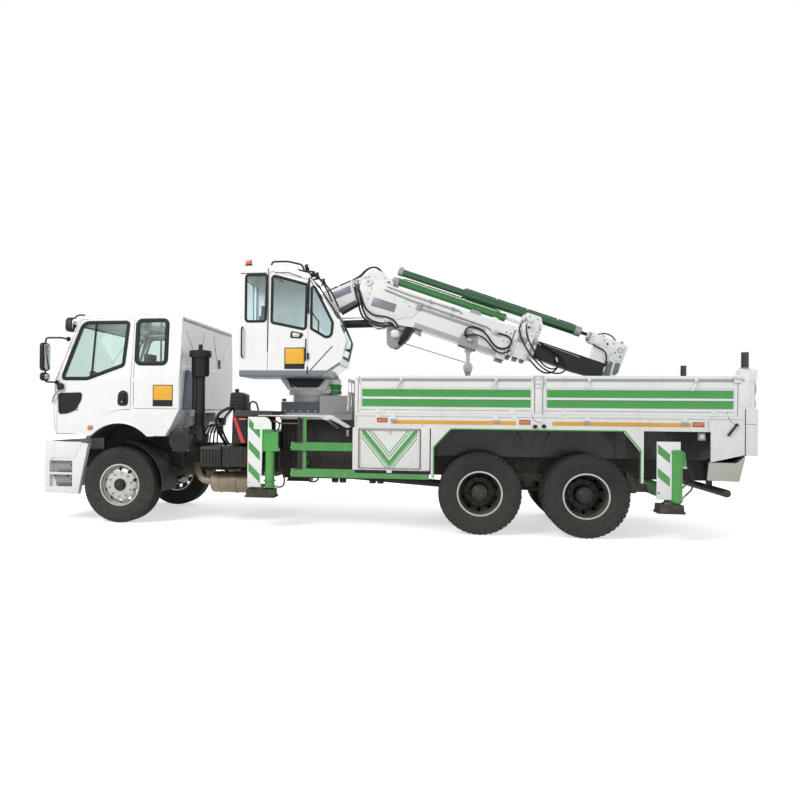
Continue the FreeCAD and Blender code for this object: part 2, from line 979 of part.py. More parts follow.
def twin_wheel(name, axle, side):
    """Two tyres on back-to-back rims with one hub; the outer side is towards -Y."""
    half = S.twin_spacing / 2
    wall = S.disc_wall
    rim_inner = S.bead_radius - S.seat_gap - S.rim_wall
    discs = []
    for way in (-1, 1):
        discs.append(
            turned(
                [
                    (0, S.hub_radius),
                    (0, S.disc_radius),
                    (way * (half - 60), rim_inner + 2),
                    (way * (half - 60 + wall * 1.4), rim_inner + 2),
                    (way * wall, S.disc_radius - 10),
                    (way * wall, S.hub_radius),
                ]
            )
        )
    bore = S.axle_end_radius + S.bearing_gap
    nose = -(half + 20)
    hub = turned(
        [
            (nose, 0),
            (nose, S.hub_radius + 20, 24),
            (-wall, S.hub_radius + 40),
            (wall, S.hub_radius + 40),
            (wall + 20, S.drum_radius),
            (half - 10, S.drum_radius),
            (half - 10, S.drum_radius - S.drum_wall),
            (wall + 34, S.drum_radius - S.drum_wall),
            (wall + 34, S.hub_radius),
            (70, S.hub_radius),
            (70, bore),
            (nose + 30, bore),
            (nose + 30, 0),
        ]
    )
    holes = hand_holes(10, -half, half)
    rim = cut(join(barrel(-half), barrel(half), *discs, hub), holes)
    wheel = together(tyre(S.rear_tyre_radius, -half), tyre(S.rear_tyre_radius, half), rim)
    if side > 0:
        wheel = mirrored(wheel)
    y = side * (S.wheel_face - S.tyre_half_width - half)
    node(name, put(wheel, x=axle, y=y, z=S.rear_tyre_radius))


def rear_axles():
    """Both driven axles, the bogie springs on their trunnion and the shafts that drive them."""
    centre = S.wheel_face - S.tyre_half_width - S.twin_spacing / 2
    end = centre + S.twin_spacing / 2 - 20
    shoulder = centre - 80
    pieces = []
    for axle in (first_axle, last_axle):
        profile = [
            (-end, 0),
            (-end, S.axle_end_radius),
            (-shoulder, S.axle_end_radius),
            (-shoulder, S.housing_radius),
            (-S.diff_half_width * 2, S.housing_radius, 60),
            (-S.diff_half_width, S.diff_radius, 90),
            (S.diff_half_width, S.diff_radius, 90),
            (S.diff_half_width * 2, S.housing_radius, 60),
            (shoulder, S.housing_radius),
            (shoulder, S.axle_end_radius),
            (end, S.axle_end_radius),
            (end, 0),
        ]
        pieces.append(put(turned(profile), x=axle, z=S.rear_tyre_radius))
    height = S.rear_tyre_radius
    nose = first_axle - S.diff_radius - 150
    pieces.append(rod("front", 0, height, S.shaft_radius * 1.5, nose, first_axle))
    pieces.append(rod("front", 0, height, S.shaft_radius, first_axle, last_axle))
    start = behind(S.engine_rear + S.gearbox_length + 10)
    rise = S.shaft_front_height - height
    shaft = rod("front", 0, 0, S.shaft_radius, 0, distance(rise, nose - start) + 40)
    slope = slope_of(rise, nose - start)
    pieces.append(put(together(shaft), x=start, z=S.shaft_front_height, angle=slope))
    for y in (-S.bogie_spring_offset, S.bogie_spring_offset):
        spring = leaf_spring(y, S.bogie_spring_width, S.tandem_spacing / 2 + 60, 668, 850, 44, 170)
        pieces.append(put(spring, x=bogie))
        sides = (y - S.bogie_spring_width / 2, y + S.bogie_spring_width / 2)
        for axle in (first_axle, last_axle):
            pieces.append(box((axle - 60, axle + 60), sides, (height + 60, height + 110)))
    reach = S.bogie_spring_offset + S.bogie_spring_width / 2
    pieces.append(rod("side", bogie, S.trunnion_height, 58, -reach, reach))
    for y in (-S.rail_half_spacing - 16, S.rail_half_spacing):
        plate = [
            (bogie - 190, S.rail_top - 60),
            (bogie - 90, S.trunnion_height - 80, 40),
            (bogie + 90, S.trunnion_height - 80, 40),
            (bogie + 190, S.rail_top - 60),
        ]
        pieces.append(slab("side", plate, y, y + 16))
    node("rear_axles", join(*pieces))


def wheels():
    for side in (-1, 1):
        knuckle(side)
        front_wheel(side)
    twin_wheel("first_rear_left_wheel", first_axle, -1)
    twin_wheel("first_rear_right_wheel", first_axle, 1)
    twin_wheel("last_rear_left_wheel", last_axle, -1)
    twin_wheel("last_rear_right_wheel", last_axle, 1)


def cab_form(inset=None):
    """The truck cab's outer form, or the same form drawn in on every side."""
    side = [
        (ahead(S.nose_foot), S.cab_foot_height, 20),
        (ahead(S.nose_reach), S.nose_height, 400),
        (ahead(S.screen_foot), S.screen_foot_height, 160),
        (ahead(S.brow_reach), S.brow_height, 110),
        (ahead(S.brow_reach - 160), S.roof_height, 160),
        (behind(S.cab_rear), S.roof_height - 20, 55),
        (behind(S.cab_rear), S.cab_rear_kick),
        (behind(S.cab_rear_foot), S.cab_foot_height),
    ]
    wide, roof = S.cab_half_width, S.roof_half_width
    front = [
        (-wide, S.cab_foot_height - 10),
        (wide, S.cab_foot_height - 10),
        (wide, S.waist_height, 300),
        (roof, S.roof_height, S.roof_corner),
        (-roof, S.roof_height, S.roof_corner),
        (-wide, S.waist_height, 300),
    ]
    plan = [
        (ahead(S.nose_reach), -wide, S.front_corner),
        (ahead(S.nose_reach), wide, S.front_corner),
        (behind(S.cab_rear), wide, 30),
        (behind(S.cab_rear), -wide, 30),
    ]
    return meet(
        slab("side", side, -wide, wide, inset),
        slab("front", front, ahead(S.nose_reach) - 10, behind(S.cab_rear), inset),
        slab("plan", plan, S.cab_foot_height - 20, S.roof_height + 10, inset),
    )


def door_outline(gap=0):
    """The truck door seen from the side, grown by a gap all round."""
    return [
        (ahead(S.door_front + gap), S.door_foot_height - gap),
        (behind(S.door_rear_foot + gap), S.door_foot_height - gap),
        (behind(S.door_rear_foot + gap), 1900),
        (behind(S.door_rear_top + gap), S.door_rear_top_height + gap, 40),
        (ahead(S.door_top_front + gap), S.door_top_height + gap, 60),
        (ahead(S.door_kink + gap), S.door_kink_height, 80),
        (ahead(S.door_front + gap), S.door_kink_height - 190, 60),
    ]


def door_window():
    return [
        (ahead(S.window_front_foot), S.window_sill, 30),
        (ahead(S.window_kink), S.window_sill, 120),
        (behind(S.window_rear_foot), S.window_rear_sill, 30),
        (behind(S.window_rear_top), S.window_top, 25),
        (ahead(S.window_front_top), S.window_top, 110),
    ]


def quarter_window():
    return [
        (behind(S.quarter_front), S.quarter_sill, S.window_round),
        (behind(S.quarter_rear), S.quarter_sill, S.window_round),
        (behind(S.quarter_rear), S.quarter_top, S.window_round),
        (behind(S.quarter_front), S.quarter_top, S.window_round),
    ]


def windscreen():
    half = S.cab_half_width - S.screen_margin
    top = S.roof_half_width - S.screen_margin
    return [
        (-half, S.screen_bottom, 60),
        (half, S.screen_bottom, 60),
        (top, S.screen_top, 70),
        (-top, S.screen_top, 70),
    ]


def flare_cylinder(gap, start, end):
    """The round edge of the wheel arch flare, which the door's foot follows."""
    radius = S.flare_radius + gap
    return rod("side", behind(S.flare_setback), S.flare_centre_height, radius, start, end)


def cab():
    """Cab shell with its floor and engine tunnel, windows, doors and everything inside."""
    wide, wall = S.cab_half_width, S.cab_wall
    form = cab_form()
    hollow = meet(
        cab_form(wall),
        box((ahead(S.nose_reach), behind(S.cab_rear)), (-wide, wide), (S.cab_floor + S.floor_wall, 3100)),
    )
    under = box(
        (ahead(S.nose_foot - wall), behind(S.cab_rear_foot - S.cab_foot_flange)),
        (-wide + wall, wide - wall),
        (S.cab_foot_height - 30, S.cab_floor),
    )
    arch = rod("side", front_axle, S.arch_centre_height, S.arch_radius, -wide - 60, wide + 60)
    flare = meet(
        slab(
            "side",
            [
                (ahead(700), S.cab_foot_height + 4),
                (behind(S.cab_rear_foot), S.cab_foot_height + 4),
                (behind(S.cab_rear - 20), S.cab_rear_kick - 20),
                (behind(S.cab_rear - 20), 1700),
                (ahead(700), 1700),
            ],
            -wide - S.flare_stand,
            -wide + wall,
        ),
        flare_cylinder(0, -wide - S.flare_stand, -wide + wall),
    )
    inner_y, outer_y = -wide + 150, -wide - 60
    door_hole = cut(
        slab("side", door_outline(S.running_gap), outer_y, inner_y),
        flare_cylinder(0, outer_y, inner_y),
    )
    quarter = slab("side", quarter_window(), outer_y, inner_y)
    screen = slab("front", windscreen(), ahead(S.nose_reach + 20), ahead(300))
    tunnel_half = S.tunnel_half_width
    tunnel_x = (ahead(S.nose_foot - wall), behind(S.cab_rear - 10))
    tunnel = box(
        tunnel_x,
        (-tunnel_half - S.floor_wall, tunnel_half + S.floor_wall),
        (S.cab_floor, S.tunnel_top + S.floor_wall),
    )
    tunnel_hole = box(
        (ahead(S.nose_foot - wall), behind(S.cab_rear + 10)),
        (-tunnel_half, tunnel_half),
        (S.cab_foot_height - 20, S.tunnel_top),
    )
    pivot_x, pivot_z = ahead(S.frame_nose), S.pivot_height
    lever = slab(
        "side",
        [
            (pivot_x - 50, pivot_z + 5, 40),
            (pivot_x + 15, pivot_z - 50, 40),
            (pivot_x + 60, pivot_z),
            (pivot_x + 320, S.cab_floor + 5),
            (pivot_x + 190, S.cab_floor + 5),
        ],
        -S.cab_arm_offset - S.cab_arm_wall,
        -S.cab_arm_offset,
    )
    eye = rod("side", pivot_x, pivot_z, S.pivot_radius + S.bearing_gap, -700, 700)
    shell = cut(
        join(cut(form, hollow, under), tunnel, flare, mirrored(flare), lever, mirrored(lever)),
        eye,
        tunnel_hole,
        arch,
        door_hole,
        mirrored(door_hole),
        quarter,
        mirrored(quarter),
        screen,
    )
    node("cab_shell", shell)

    pane = cut(cab_form(S.glass_depth), cab_form(S.glass_depth + S.glass_wall))
    quarter_pane = slab("side", quarter_window(), outer_y, inner_y, S.seat_gap)
    screen_pane = slab("front", windscreen(), ahead(S.nose_reach + 20), ahead(300), S.seat_gap)
    node(
        "cab_glass",
        together(meet(pane, quarter_pane), mirrored(meet(pane, quarter_pane)), meet(pane, screen_pane)),
    )

    leaf_form = cut(cab_form(), cab_form(wall))
    sill = box(
        (ahead(S.door_front + 10), front_axle),
        (-wide + wall, inner_y + 5),
        (S.cab_foot_height - 10, S.cab_foot_height + wall + 5),
    )
    leaf = cut(
        meet(leaf_form, slab("side", door_outline(), outer_y, inner_y)),
        sill,
        flare_cylinder(S.running_gap, outer_y, inner_y),
        slab("side", door_window(), outer_y, inner_y),
    )
    node("left_door", leaf)
    node("right_door", mirrored(leaf))
    door_pane = meet(pane, slab("side", door_window(), outer_y, inner_y, S.seat_gap))
    node("left_door_glass", door_pane)
    node("right_door_glass", mirrored(door_pane))
    cab_inside()
    cab_fittings()


def seat(x, y, z, width, cushion_depth, back_height):
    """A seat with its base, cushion, reclined back and headrest, facing the front."""
    depth, half = cushion_depth, width / 2
    pedestal = slab(
        "side",
        [(-depth * 0.7, 0), (-60, 0), (-40, 240), (-depth * 0.8, 260)],
        -half * 0.6,
        half * 0.6,
    )
    cushion = slab(
        "side",
        [(-depth, 240, 40), (-20, 220, 30), (10, 330, 40), (-depth - 10, 370, 60)],
        -half,
        half,
    )
    top = 250 + back_height
    back = slab(
        "side",
        [(-60, 250, 30), (40, 250, 30), (140, top, 30), (50, top, 30)],
        -half + 20,
        half - 20,
    )
    headrest = box((50, 130), (-half * 0.5, half * 0.5), (top - 10, top + 150))
    return put(join(pedestal, cushion, back, headrest), x=x, y=y, z=z)


def facing_rear(piece, x):
    """The piece turned end for end about a station along the truck."""
    other = doc.addObject("Part::Mirroring", "Reversed")
    other.Source = piece
    other.Normal = Vector(1, 0, 0)
    return put(together(other), x=2 * x)


def steering_wheel(x, y, z, radius):
    """The wheel's rim, boss, spokes and column, leaning back to the driver."""
    ring = doc.addObject("Part::Torus", "Ring")
    bind(ring, Radius1=radius, Radius2=16)
    boss = rod("plan", 0, 0, 45, -20, 10)
    spokes = [box((-radius, radius), (-14, 14), (-8, 4)), box((-14, 14), (-radius, 0), (-8, 4))]
    column = rod("plan", 0, 0, 28, -390, -10)
    return put(join(ring, boss, column, *spokes), x=x, y=y, z=z, angle=40)


def cab_inside():
    """Dashboard, driver's and mate's seats, steering wheel and the bunk behind them."""
    floor = S.cab_floor + S.floor_wall + S.seat_gap
    reach = S.cab_half_width - S.cab_wall - 45
    dash = slab(
        "side",
        [
            (ahead(S.nose_foot - 70), floor),
            (ahead(S.nose_foot - 200), floor),
            (ahead(S.nose_foot - 330), floor + 330, 60),
            (ahead(S.nose_foot - 400), S.window_sill - 120, 60),
            (ahead(S.nose_foot - 330), S.window_sill - 40, 60),
            (ahead(S.nose_foot - 90), S.window_sill - 50, 30),
        ],
        -reach,
        reach,
    )
    tunnel = S.tunnel_half_width + S.floor_wall
    notch = box(
        (ahead(S.nose_foot), ahead(0)),
        (-tunnel - 5, tunnel + 5),
        (S.cab_floor - 10, S.tunnel_top + S.floor_wall + 5),
    )
    bunk = box(
        (behind(380), behind(S.cab_rear - S.cab_wall - 10)),
        (-reach, reach),
        (S.tunnel_top + S.floor_wall + S.seat_gap, S.tunnel_top + 330),
    )
    seats = [seat(behind(150), way * 720, floor, 520, 470, 560) for way in (-1, 1)]
    wheel = steering_wheel(ahead(500), -720, 2030, 225)
    node("cab_interior", together(join(cut(dash, notch), wheel), *seats, bunk))


def skin_at(height):
    """Half the cab's width at a height above its waist."""
    lean = (S.cab_half_width - S.roof_half_width) / (S.roof_height - S.waist_height)
    return S.cab_half_width - (height - S.waist_height) * lean


def mirror_set():
    """The near-side mirrors on their tubular frame."""
    tube = S.mirror_tube
    out = -S.cab_half_width - S.mirror_arm
    low, high = S.mirror_low, S.mirror_high
    front = ahead(S.mirror_reach)
    feet = (
        (low, ahead(S.mirror_low_root), -S.cab_half_width + 2.5),
        (high, ahead(S.mirror_high_root), -skin_at(high - tube) - S.seat_gap),
    )
    pieces = [box((front, front + tube), (out, out + tube), (low, high + tube))]
    for z, x, skin in feet:
        pieces.append(box((front, x), (out, out + tube), (z, z + tube)))
        pieces.append(box((x - tube, x), (out, skin), (z, z + tube)))
    for bottom, top, inset in ((low + 165, high - 65, 0), (low + 25, low + 145, 8)):
        glass = [
            (out - 90 + inset, bottom, 40),
            (out + 90 - inset, bottom, 40),
            (out + 90 - inset, top, 40),
            (out - 90 + inset, top, 40),
        ]
        pieces.append(slab("front", glass, front - 38, front + 30))
    return join(*pieces)


def cab_fittings():
    """Mirrors, the kerb mirror, the roof lamp and the wiper cowl over the grille."""
    mirrors = mirror_set()
    node("cab_mirrors", together(mirrors, mirrored(mirrors)))


def front_bumper():
    """A bumper with side wings that end at the wheel arch, with a step in each wing."""
    half = S.bumper_half_width
    side = [
        (ahead(S.bumper_foot_reach), S.bumper_foot, 30),
        (ahead(S.bumper_reach), S.bumper_break_height, 120),
        (ahead(S.bumper_top_reach), S.bumper_top, 30),
        (ahead(S.bumper_rear_top), S.bumper_rear_height),
        (ahead(S.bumper_rear_foot), S.bumper_foot - 20, 15),
    ]
    plan = [
        (ahead(S.bumper_reach), -half, 150),
        (ahead(S.bumper_reach), half, 150),
        (ahead(S.bumper_rear_top), half),
        (ahead(S.bumper_rear_top), -half),
    ]
    form = meet(
        slab("side", side, -half, half),
        slab("plan", plan, S.bumper_foot - 30, S.bumper_top + 10),
    )
    inner = half - S.bumper_wing
    hollow = box(
        (ahead(S.bumper_top_reach - S.bumper_face), ahead(S.bumper_rear_top - 10)),
        (-inner, inner),
        (S.bumper_foot - 40, S.bumper_top + 20),
    )
    cuts = []
    for side_sign in (-1, 1):
        near, far = side_sign * (half + 10), side_sign * (half - S.step_depth)
        ys = (near, far) if side_sign < 0 else (far, near)
        middle = (S.step_top + S.step_bottom) / 2
        for low, high in ((S.step_bottom, middle - 15), (middle + 15, S.step_top)):
            cuts.append(box((ahead(S.step_front), ahead(S.step_rear)), ys, (low, high)))
    carrier = [
        box(
            (ahead(S.bumper_top_reach - S.bumper_face + 5), ahead(S.frame_nose + S.nose_length)),
            (way * S.rail_half_spacing - 30, way * S.rail_half_spacing + 30),
            (rail_bottom + 30, S.rail_top - 60),
        )
        for way in (-1, 1)
    ]
    node("front_bumper", join(cut(form, hollow, *cuts), *carrier))


def mudguards():
    """Curved guards behind and over the front wheels, with their flaps, and the rear flaps."""
    height = S.front_tyre_radius
    outer_y, inner_y = -S.cab_half_width + S.flap_inset, -620
    ring = cut(
        rod("side", front_axle, height, S.guard_radius + S.guard_wall, outer_y, inner_y),
        rod("side", front_axle, height, S.guard_radius, outer_y - 1, inner_y + 1),
    )
    rear_part = box((behind(60), behind(700)), (outer_y - 5, inner_y + 5), (436, 1200))
    shoe = meet(ring, rear_part)
    edge = behind(S.guard_radius - 8)
    flap = box((edge, edge + S.flap_wall), (outer_y, inner_y), (S.flap_foot, 470))
    stay = box((behind(575), behind(615)), (-S.rail_half_spacing - 260, -S.rail_half_spacing), (735, 775))
    front = join(shoe, flap, stay)
    rear_x = last_axle + S.rear_tyre_radius + 90
    rear_outer = -S.half_width + S.flap_inset
    rear_flap = box((rear_x, rear_x + S.flap_wall), (rear_outer, inner_y), (S.flap_foot + 100, 900))
    rear_stay = box((rear_x - 15, rear_x + 25), (rear_outer, -S.rail_half_spacing), (880, 920))
    left = together(front, join(rear_flap, rear_stay))
    node("mudguards", together(left, mirrored(left)))


def chassis_boxes():
    """Battery box and oil tank on the left rail, fuel tank on the right, silencer beneath."""
    rail = S.rail_half_spacing
    battery = slab(
        "side",
        [
            (behind(1205), 800, 20),
            (behind(1640), 800, 20),
            (behind(1640), 1110, 20),
            (behind(1600), 1400, 40),
            (behind(1235), 1400, 40),
            (behind(1205), 1110, 20),
        ],
        -1170,
        -rail,
    )
    tank = slab(
        "side",
        [
            (behind(1700), 760, 40),
            (behind(1905), 760, 40),
            (behind(1905), 1640, 40),
            (behind(1830), 1660, 30),
            (behind(1820), 1870, 30),
            (behind(1700), 1870, 30),
        ],
        -1150,
        -rail,
    )
    fuel = slab(
        "front",
        [(rail, 560, 70), (1170, 560, 110), (1170, 1080, 110), (rail, 1080, 40)],
        behind(1000),
        behind(1890),
    )
    node("chassis_boxes", together(battery, tank, fuel))
    pot = turned(
        [(0, 0), (0, 150, 40), (620, 150, 40), (620, 0)], "x"
    )
    pot = put(pot, x=behind(1255), y=-800, z=585)
    hanger = box((behind(1500), behind(1560)), (-820, -rail), (700, 760))
    node("silencer", join(pot, hanger))


def air_intake():
    """Air filter behind the cab with its raised intake and rain cap."""
    x, z = behind(893), 1186
    canister = rod("side", x, z, 172, -1150, -620)
    tube_x, tube_y = behind(1103), -950
    stack = [
        rod("plan", tube_x, tube_y, 70, 1330, 2110),
        rod("plan", tube_x, tube_y, 118, 2098, 2380),
        rod("plan", tube_x, tube_y, 156, 2372, 2464),
        rod("plan", tube_x, tube_y, 30, 2460, 2556),
    ]
    elbow = box((x, tube_x + 60), (tube_y - 60, tube_y + 60), (1200, 1335))
    bracket = box((x - 40, x + 40), (-640, -S.rail_half_spacing), (960, 1050))
    node("air_intake", join(canister, *stack, elbow, bracket))


def side_guards():
    """Two rails on a post at each side, held out from the frame."""
    out = -S.half_width
    back = out + S.guard_rail_wall
    start = front_axle + S.guard_setback
    post_x = (start + S.guard_post_inset, start + S.guard_post_inset + S.guard_post_length)
    post_y = (back + S.seat_gap, back + S.guard_post_wall)
    upper = (S.guard_upper, S.guard_upper + S.guard_height)
    lower = (S.guard_lower, S.guard_lower + S.guard_height)
    arm_y = (post_y[1] + S.seat_gap, -S.rail_half_spacing - S.seat_gap)
    left = together(
        box((start, start + S.guard_upper_length), (out, back), upper),
        box((start, start + S.guard_lower_length), (out, back), lower),
        box(post_x, post_y, (S.guard_lower, S.guard_post_top)),
        box(post_x, arm_y, (S.guard_arm_height, S.guard_arm_height + S.guard_arm_wall)),
    )
    node("side_guards", together(left, mirrored(left)))


def crane_base():
    """Subframe, the two beam housings across it, the pedestal and its slewing ring."""
    front, rear = slew - S.base_front, slew + S.base_rear
    rail = S.rail_half_spacing
    sub_rails = [
        box((front, rear), (way * rail - 40, way * rail + 40), (S.rail_top, S.rail_top + S.subframe_height))
        for way in (-1, 1)
    ]
    left_x, right_x = beam_stations()
    gap, wall = S.running_gap, S.box_wall
    outer_x = (left_x[0] - gap - wall, right_x[1] + gap + wall)
    housing = box(outer_x, (-1130, 1130), (S.housing_bottom, S.housing_top))
    channels = []
    beam_z = beam_levels()
    for x in (left_x, right_x):
        channels.append(
            box((x[0] - gap, x[1] + gap), (-1200, 1200), (beam_z[0] - S.seat_gap, beam_z[1] + gap))
        )
    half = S.pedestal_half_width
    pedestal = box(
        (slew - S.pedestal_front, slew + S.pedestal_rear), (-half, half), (S.housing_top - 2, S.pedestal_top)
    )
    rear_block = slab(
        "side",
        [
            (outer_x[1] - 2, S.rail_top + S.subframe_height - 2),
            (slew + S.pedestal_rear, S.rail_top + S.subframe_height - 2),
            (slew + S.pedestal_rear, S.pedestal_shoulder, 30),
            (slew + S.shoulder_front + 90, S.pedestal_shoulder, 30),
            (slew + S.shoulder_front - 60, 1590),
            (outer_x[1] - 2, 1590),
        ],
        -half,
        half,
    )
    deck = slab(
        "side",
        [
            (slew - 550, 1540),
            (slew + 320, 1540),
            (slew + 560, 1376),
            (slew + 575, 1390),
            (slew + 326, 1556),
            (slew - 550, 1556),
        ],
        -1215,
        1215,
    )
    ring = rod("plan", slew, 0, S.ring_radius, S.pedestal_top - 5, S.turntable_bottom - S.seat_gap)
    body = cut(join(*sub_rails, housing, pedestal, rear_block, deck, ring), *channels)
    node("crane_base", body)


def beam_stations():
    """Fore-and-aft extents of the left and the right stabilizer beam."""
    gap, wall, width = S.running_gap, S.box_wall, S.beam_width
    start = slew - S.base_front + gap + wall
    left = (start, start + width)
    right_start = left[1] + 2 * gap + wall
    return left, (right_start, right_start + width)


def beam_levels():
    middle = (S.housing_bottom + S.housing_top) / 2
    return middle - S.beam_height / 2, middle + S.beam_height / 2


def front_beam(name, x, side):
    """A stabilizer beam in its housing, with the striped end plate and the leg's barrel."""
    z = beam_levels()
    face = S.leg_face
    plate_x = (front_axle + 1917, front_axle + 2254)
    beam = cut(
        box(x, (-face + 20, 980), z),
        box((x[0] + 10, x[1] - 10), (-face + 60, 981), (z[0] + 10, z[1] - 10)),
    )
    plate = slab(
        "side",
        [
            (plate_x[0], S.leg_plate_bottom, 10),
            (plate_x[0] + 190, S.leg_plate_bottom, 10),
            (plate_x[0] + 220, 1330),
            (plate_x[1], 1330),
            (plate_x[1] - 10, S.leg_plate_top, 110),
            (plate_x[0], S.leg_plate_top, 10),
        ],
        -face,
        -face + 16,
    )
    leg_x, leg_y = leg_station()
    tube = rod("plan", leg_x, leg_y, S.leg_barrel_radius, S.leg_barrel_bottom, S.leg_barrel_top)
    hole = S.leg_rod_radius + S.bearing_gap
    bore = rod("plan", leg_x, leg_y, hole, S.leg_barrel_bottom - 5, S.leg_barrel_top - 30)
    bracket = box((plate_x[0] + 20, front_axle + 2340), (-face + 10, -face + 75), (1062, 1326))
    piece = cut(join(beam, plate, tube, bracket), bore)
    if side > 0:
        piece = mirrored(piece)
    node(name, piece)


def leg_station():
    """Where the front left leg stands."""
    return front_axle + 2213, -S.leg_face + S.leg_barrel_radius + 8


def leg(name, x, y, rod_top, foot_bottom, foot_x, side):
    """A leg's rod with its swivelling foot, drawn up."""
    ram = rod("plan", x, y, S.leg_rod_radius, foot_bottom + 60, rod_top)
    depth = S.foot_top - S.foot_bottom
    foot = slab(
        "side",
        [
            (foot_x[0], foot_bottom, 6),
            (foot_x[1], foot_bottom, 6),
            (foot_x[1] - 26, foot_bottom + 36, 8),
            (foot_x[1] - 30, foot_bottom + depth, 8),
            (foot_x[0] + 30, foot_bottom + depth, 8),
            (foot_x[0] + 26, foot_bottom + 36, 8),
        ],
        y - S.foot_half_width,
        y + S.foot_half_width,
    )
    piece = join(ram, foot)
    if side > 0:
        piece = mirrored(piece)
    node(name, piece)


def stabilizers():
    """Sliding front beams with their legs, and the fixed rear frame with its legs."""
    left_x, right_x = beam_stations()
    front_beam("front_left_beam", left_x, -1)
    front_beam("front_right_beam", right_x, 1)
    leg_x, leg_y = leg_station()
    foot_x = (front_axle + 1886, front_axle + 2315)
    for side, name in ((-1, "front_left_leg"), (1, "front_right_leg")):
        leg(name, leg_x, leg_y, S.leg_barrel_top - 60, S.foot_bottom, foot_x, side)

    start = last_axle + S.rear_leg_setback
    face = S.leg_face
    wall = S.leg_plate_wall
    plate_x = (start, start + S.rear_plate_length)
    plate = box(plate_x, (-face, -face + wall), (S.rear_plate_bottom, S.rear_plate_top))
    outer = S.rear_barrel_radius
    inside = -face + wall + S.seat_gap
    rear_x, rear_y = plate_x[1] - outer, inside + outer
    tube = rod("plan", rear_x, rear_y, outer, S.rear_barrel_bottom, S.rear_barrel_top)
    hole = S.leg_rod_radius + S.bearing_gap
    bore = rod("plan", rear_x, rear_y, hole, S.rear_barrel_bottom - 5, S.rear_barrel_top - 30)
    cross_x = (start + 30, rear_x - outer - S.seat_gap)
    cross = box(cross_x, (inside, -inside), (S.rear_cross_bottom, rail_bottom - S.seat_gap))
    left = together(plate, cut(tube, bore))
    node("rear_stabilizers", together(left, mirrored(left), cross))
    foot_x = (start, start + S.rear_foot_length)
    for side, name in ((-1, "rear_left_leg"), (1, "rear_right_leg")):
        leg(name, rear_x, rear_y, S.rear_barrel_top - 60, S.rear_foot_bottom, foot_x, side)


def crane_column():
    """Turntable and leaning column, forked at the top for the boom's foot."""
    half = S.column_half_width
    table = rod("plan", slew, 0, S.turntable_radius, S.turntable_bottom, S.turntable_top)
    pin_x, pin_z = slew - S.foot_pin_reach, S.foot_pin_height
    mast = slab(
        "side",
        [
            (slew - S.column_front, S.turntable_top - 5),
            (slew + S.column_rear, S.turntable_top - 5),
            (slew + S.column_rear, S.column_waist, 60),
            (slew - 10, S.column_shoulder, 60),
            (pin_x + 130, pin_z + 20, 60),
            (pin_x + 60, S.column_top, 50),
            (pin_x - 90, S.column_top, 60),
            (pin_x - 120, pin_z - 120, 60),
            (slew - S.column_front - 70, S.column_shoulder - 100, 80),
            (slew - S.column_front, S.column_waist, 60),
        ],
        -half,
        half,
    )
    gap = S.column_fork_half_gap
    slot = slab(
        "side",
        [
            (pin_x - 260, 2930),
            (pin_x + 400, 2760),
            (pin_x + 400, S.column_top + 60),
            (pin_x - 260, S.column_top + 60),
        ],
        -gap,
        gap,
    )
    pin = rod("side", pin_x, pin_z, S.pin_radius, -half - 20, half + 20)
    base_x, base_z = slew + S.lift_base_reach, S.lift_base_height
    lug = [
        (slew + S.column_rear - 40, base_z - 110),
        (base_x + 40, base_z - 80, 60),
        (base_x + 70, base_z + 60, 60),
        (slew + S.column_rear - 40, base_z + 130),
    ]
    near = S.lift_barrel_radius + S.pin_gap
    lugs = [slab("side", lug, near, near + S.cheek_wall), slab("side", lug, -near - S.cheek_wall, -near)]
    lug_pin = rod("side", base_x, base_z, S.pin_radius, -near - S.cheek_wall - 12, near + S.cheek_wall + 12)
    shelf = slab(
        "side",
        [
            (slew - 430, S.crane_cab_floor - S.seat_gap),
            (slew - 300, S.turntable_top - 2, 30),
            (slew + 250, S.turntable_top - 2, 30),
            (slew + 330, S.crane_cab_floor - S.seat_gap),
        ],
        -S.crane_cab_inner - 60,
        -half + 5,
    )
    motor = rod("plan", slew + 380, -330, 80, 1872, 2085)
    motor_arm = box((slew + 200, slew + 380), (-380, -280), (1885, 1935))
    bare = cut(mast, slot)
    node("crane_column", join(table, bare, pin, *lugs, lug_pin, shelf, motor, motor_arm))


def crane_cab_side():
    return [
        (slew - S.crane_cab_rear, S.crane_cab_floor),
        (slew + S.crane_cab_toe, S.crane_cab_floor, 40),
        (slew + S.crane_cab_chin, S.crane_cab_chin_height, 80),
        (slew + S.crane_cab_nose, S.crane_cab_nose_height, 100),
        (slew + S.crane_cab_screen, S.crane_cab_screen_height, 200),
        (slew + S.crane_cab_brow, S.crane_cab_brow_height, 200),
        (slew - S.crane_cab_roof_front, S.crane_cab_roof, 80),
        (slew - S.crane_cab_rear, S.crane_cab_roof, 60),
    ]


def crane_cab_form(inset=None):
    """The crane cab's outer form, or the same form drawn in on every side."""
    out, inner = -S.crane_cab_side, -S.crane_cab_inner
    front = [
        (out, S.crane_cab_floor),
        (inner, S.crane_cab_floor),
        (inner, S.crane_cab_roof, 60),
        (out, S.crane_cab_roof, 60),
    ]
    return meet(
        slab("side", crane_cab_side(), out, inner, inset),
        slab("front", front, slew - S.crane_cab_rear, slew + S.crane_cab_nose + 20, inset),
    )


def crane_door_outline(gap=0):
    return [
        (slew - S.crane_door_rear_foot - gap, S.crane_door_foot - gap),
        (slew + S.crane_door_front + gap, S.crane_door_foot - gap),
        (slew + S.crane_door_front + 30 + gap, S.crane_door_top_front + gap),
        (slew - S.crane_door_rear_top - gap, S.crane_door_top_rear + gap, S.crane_door_corner),
    ]


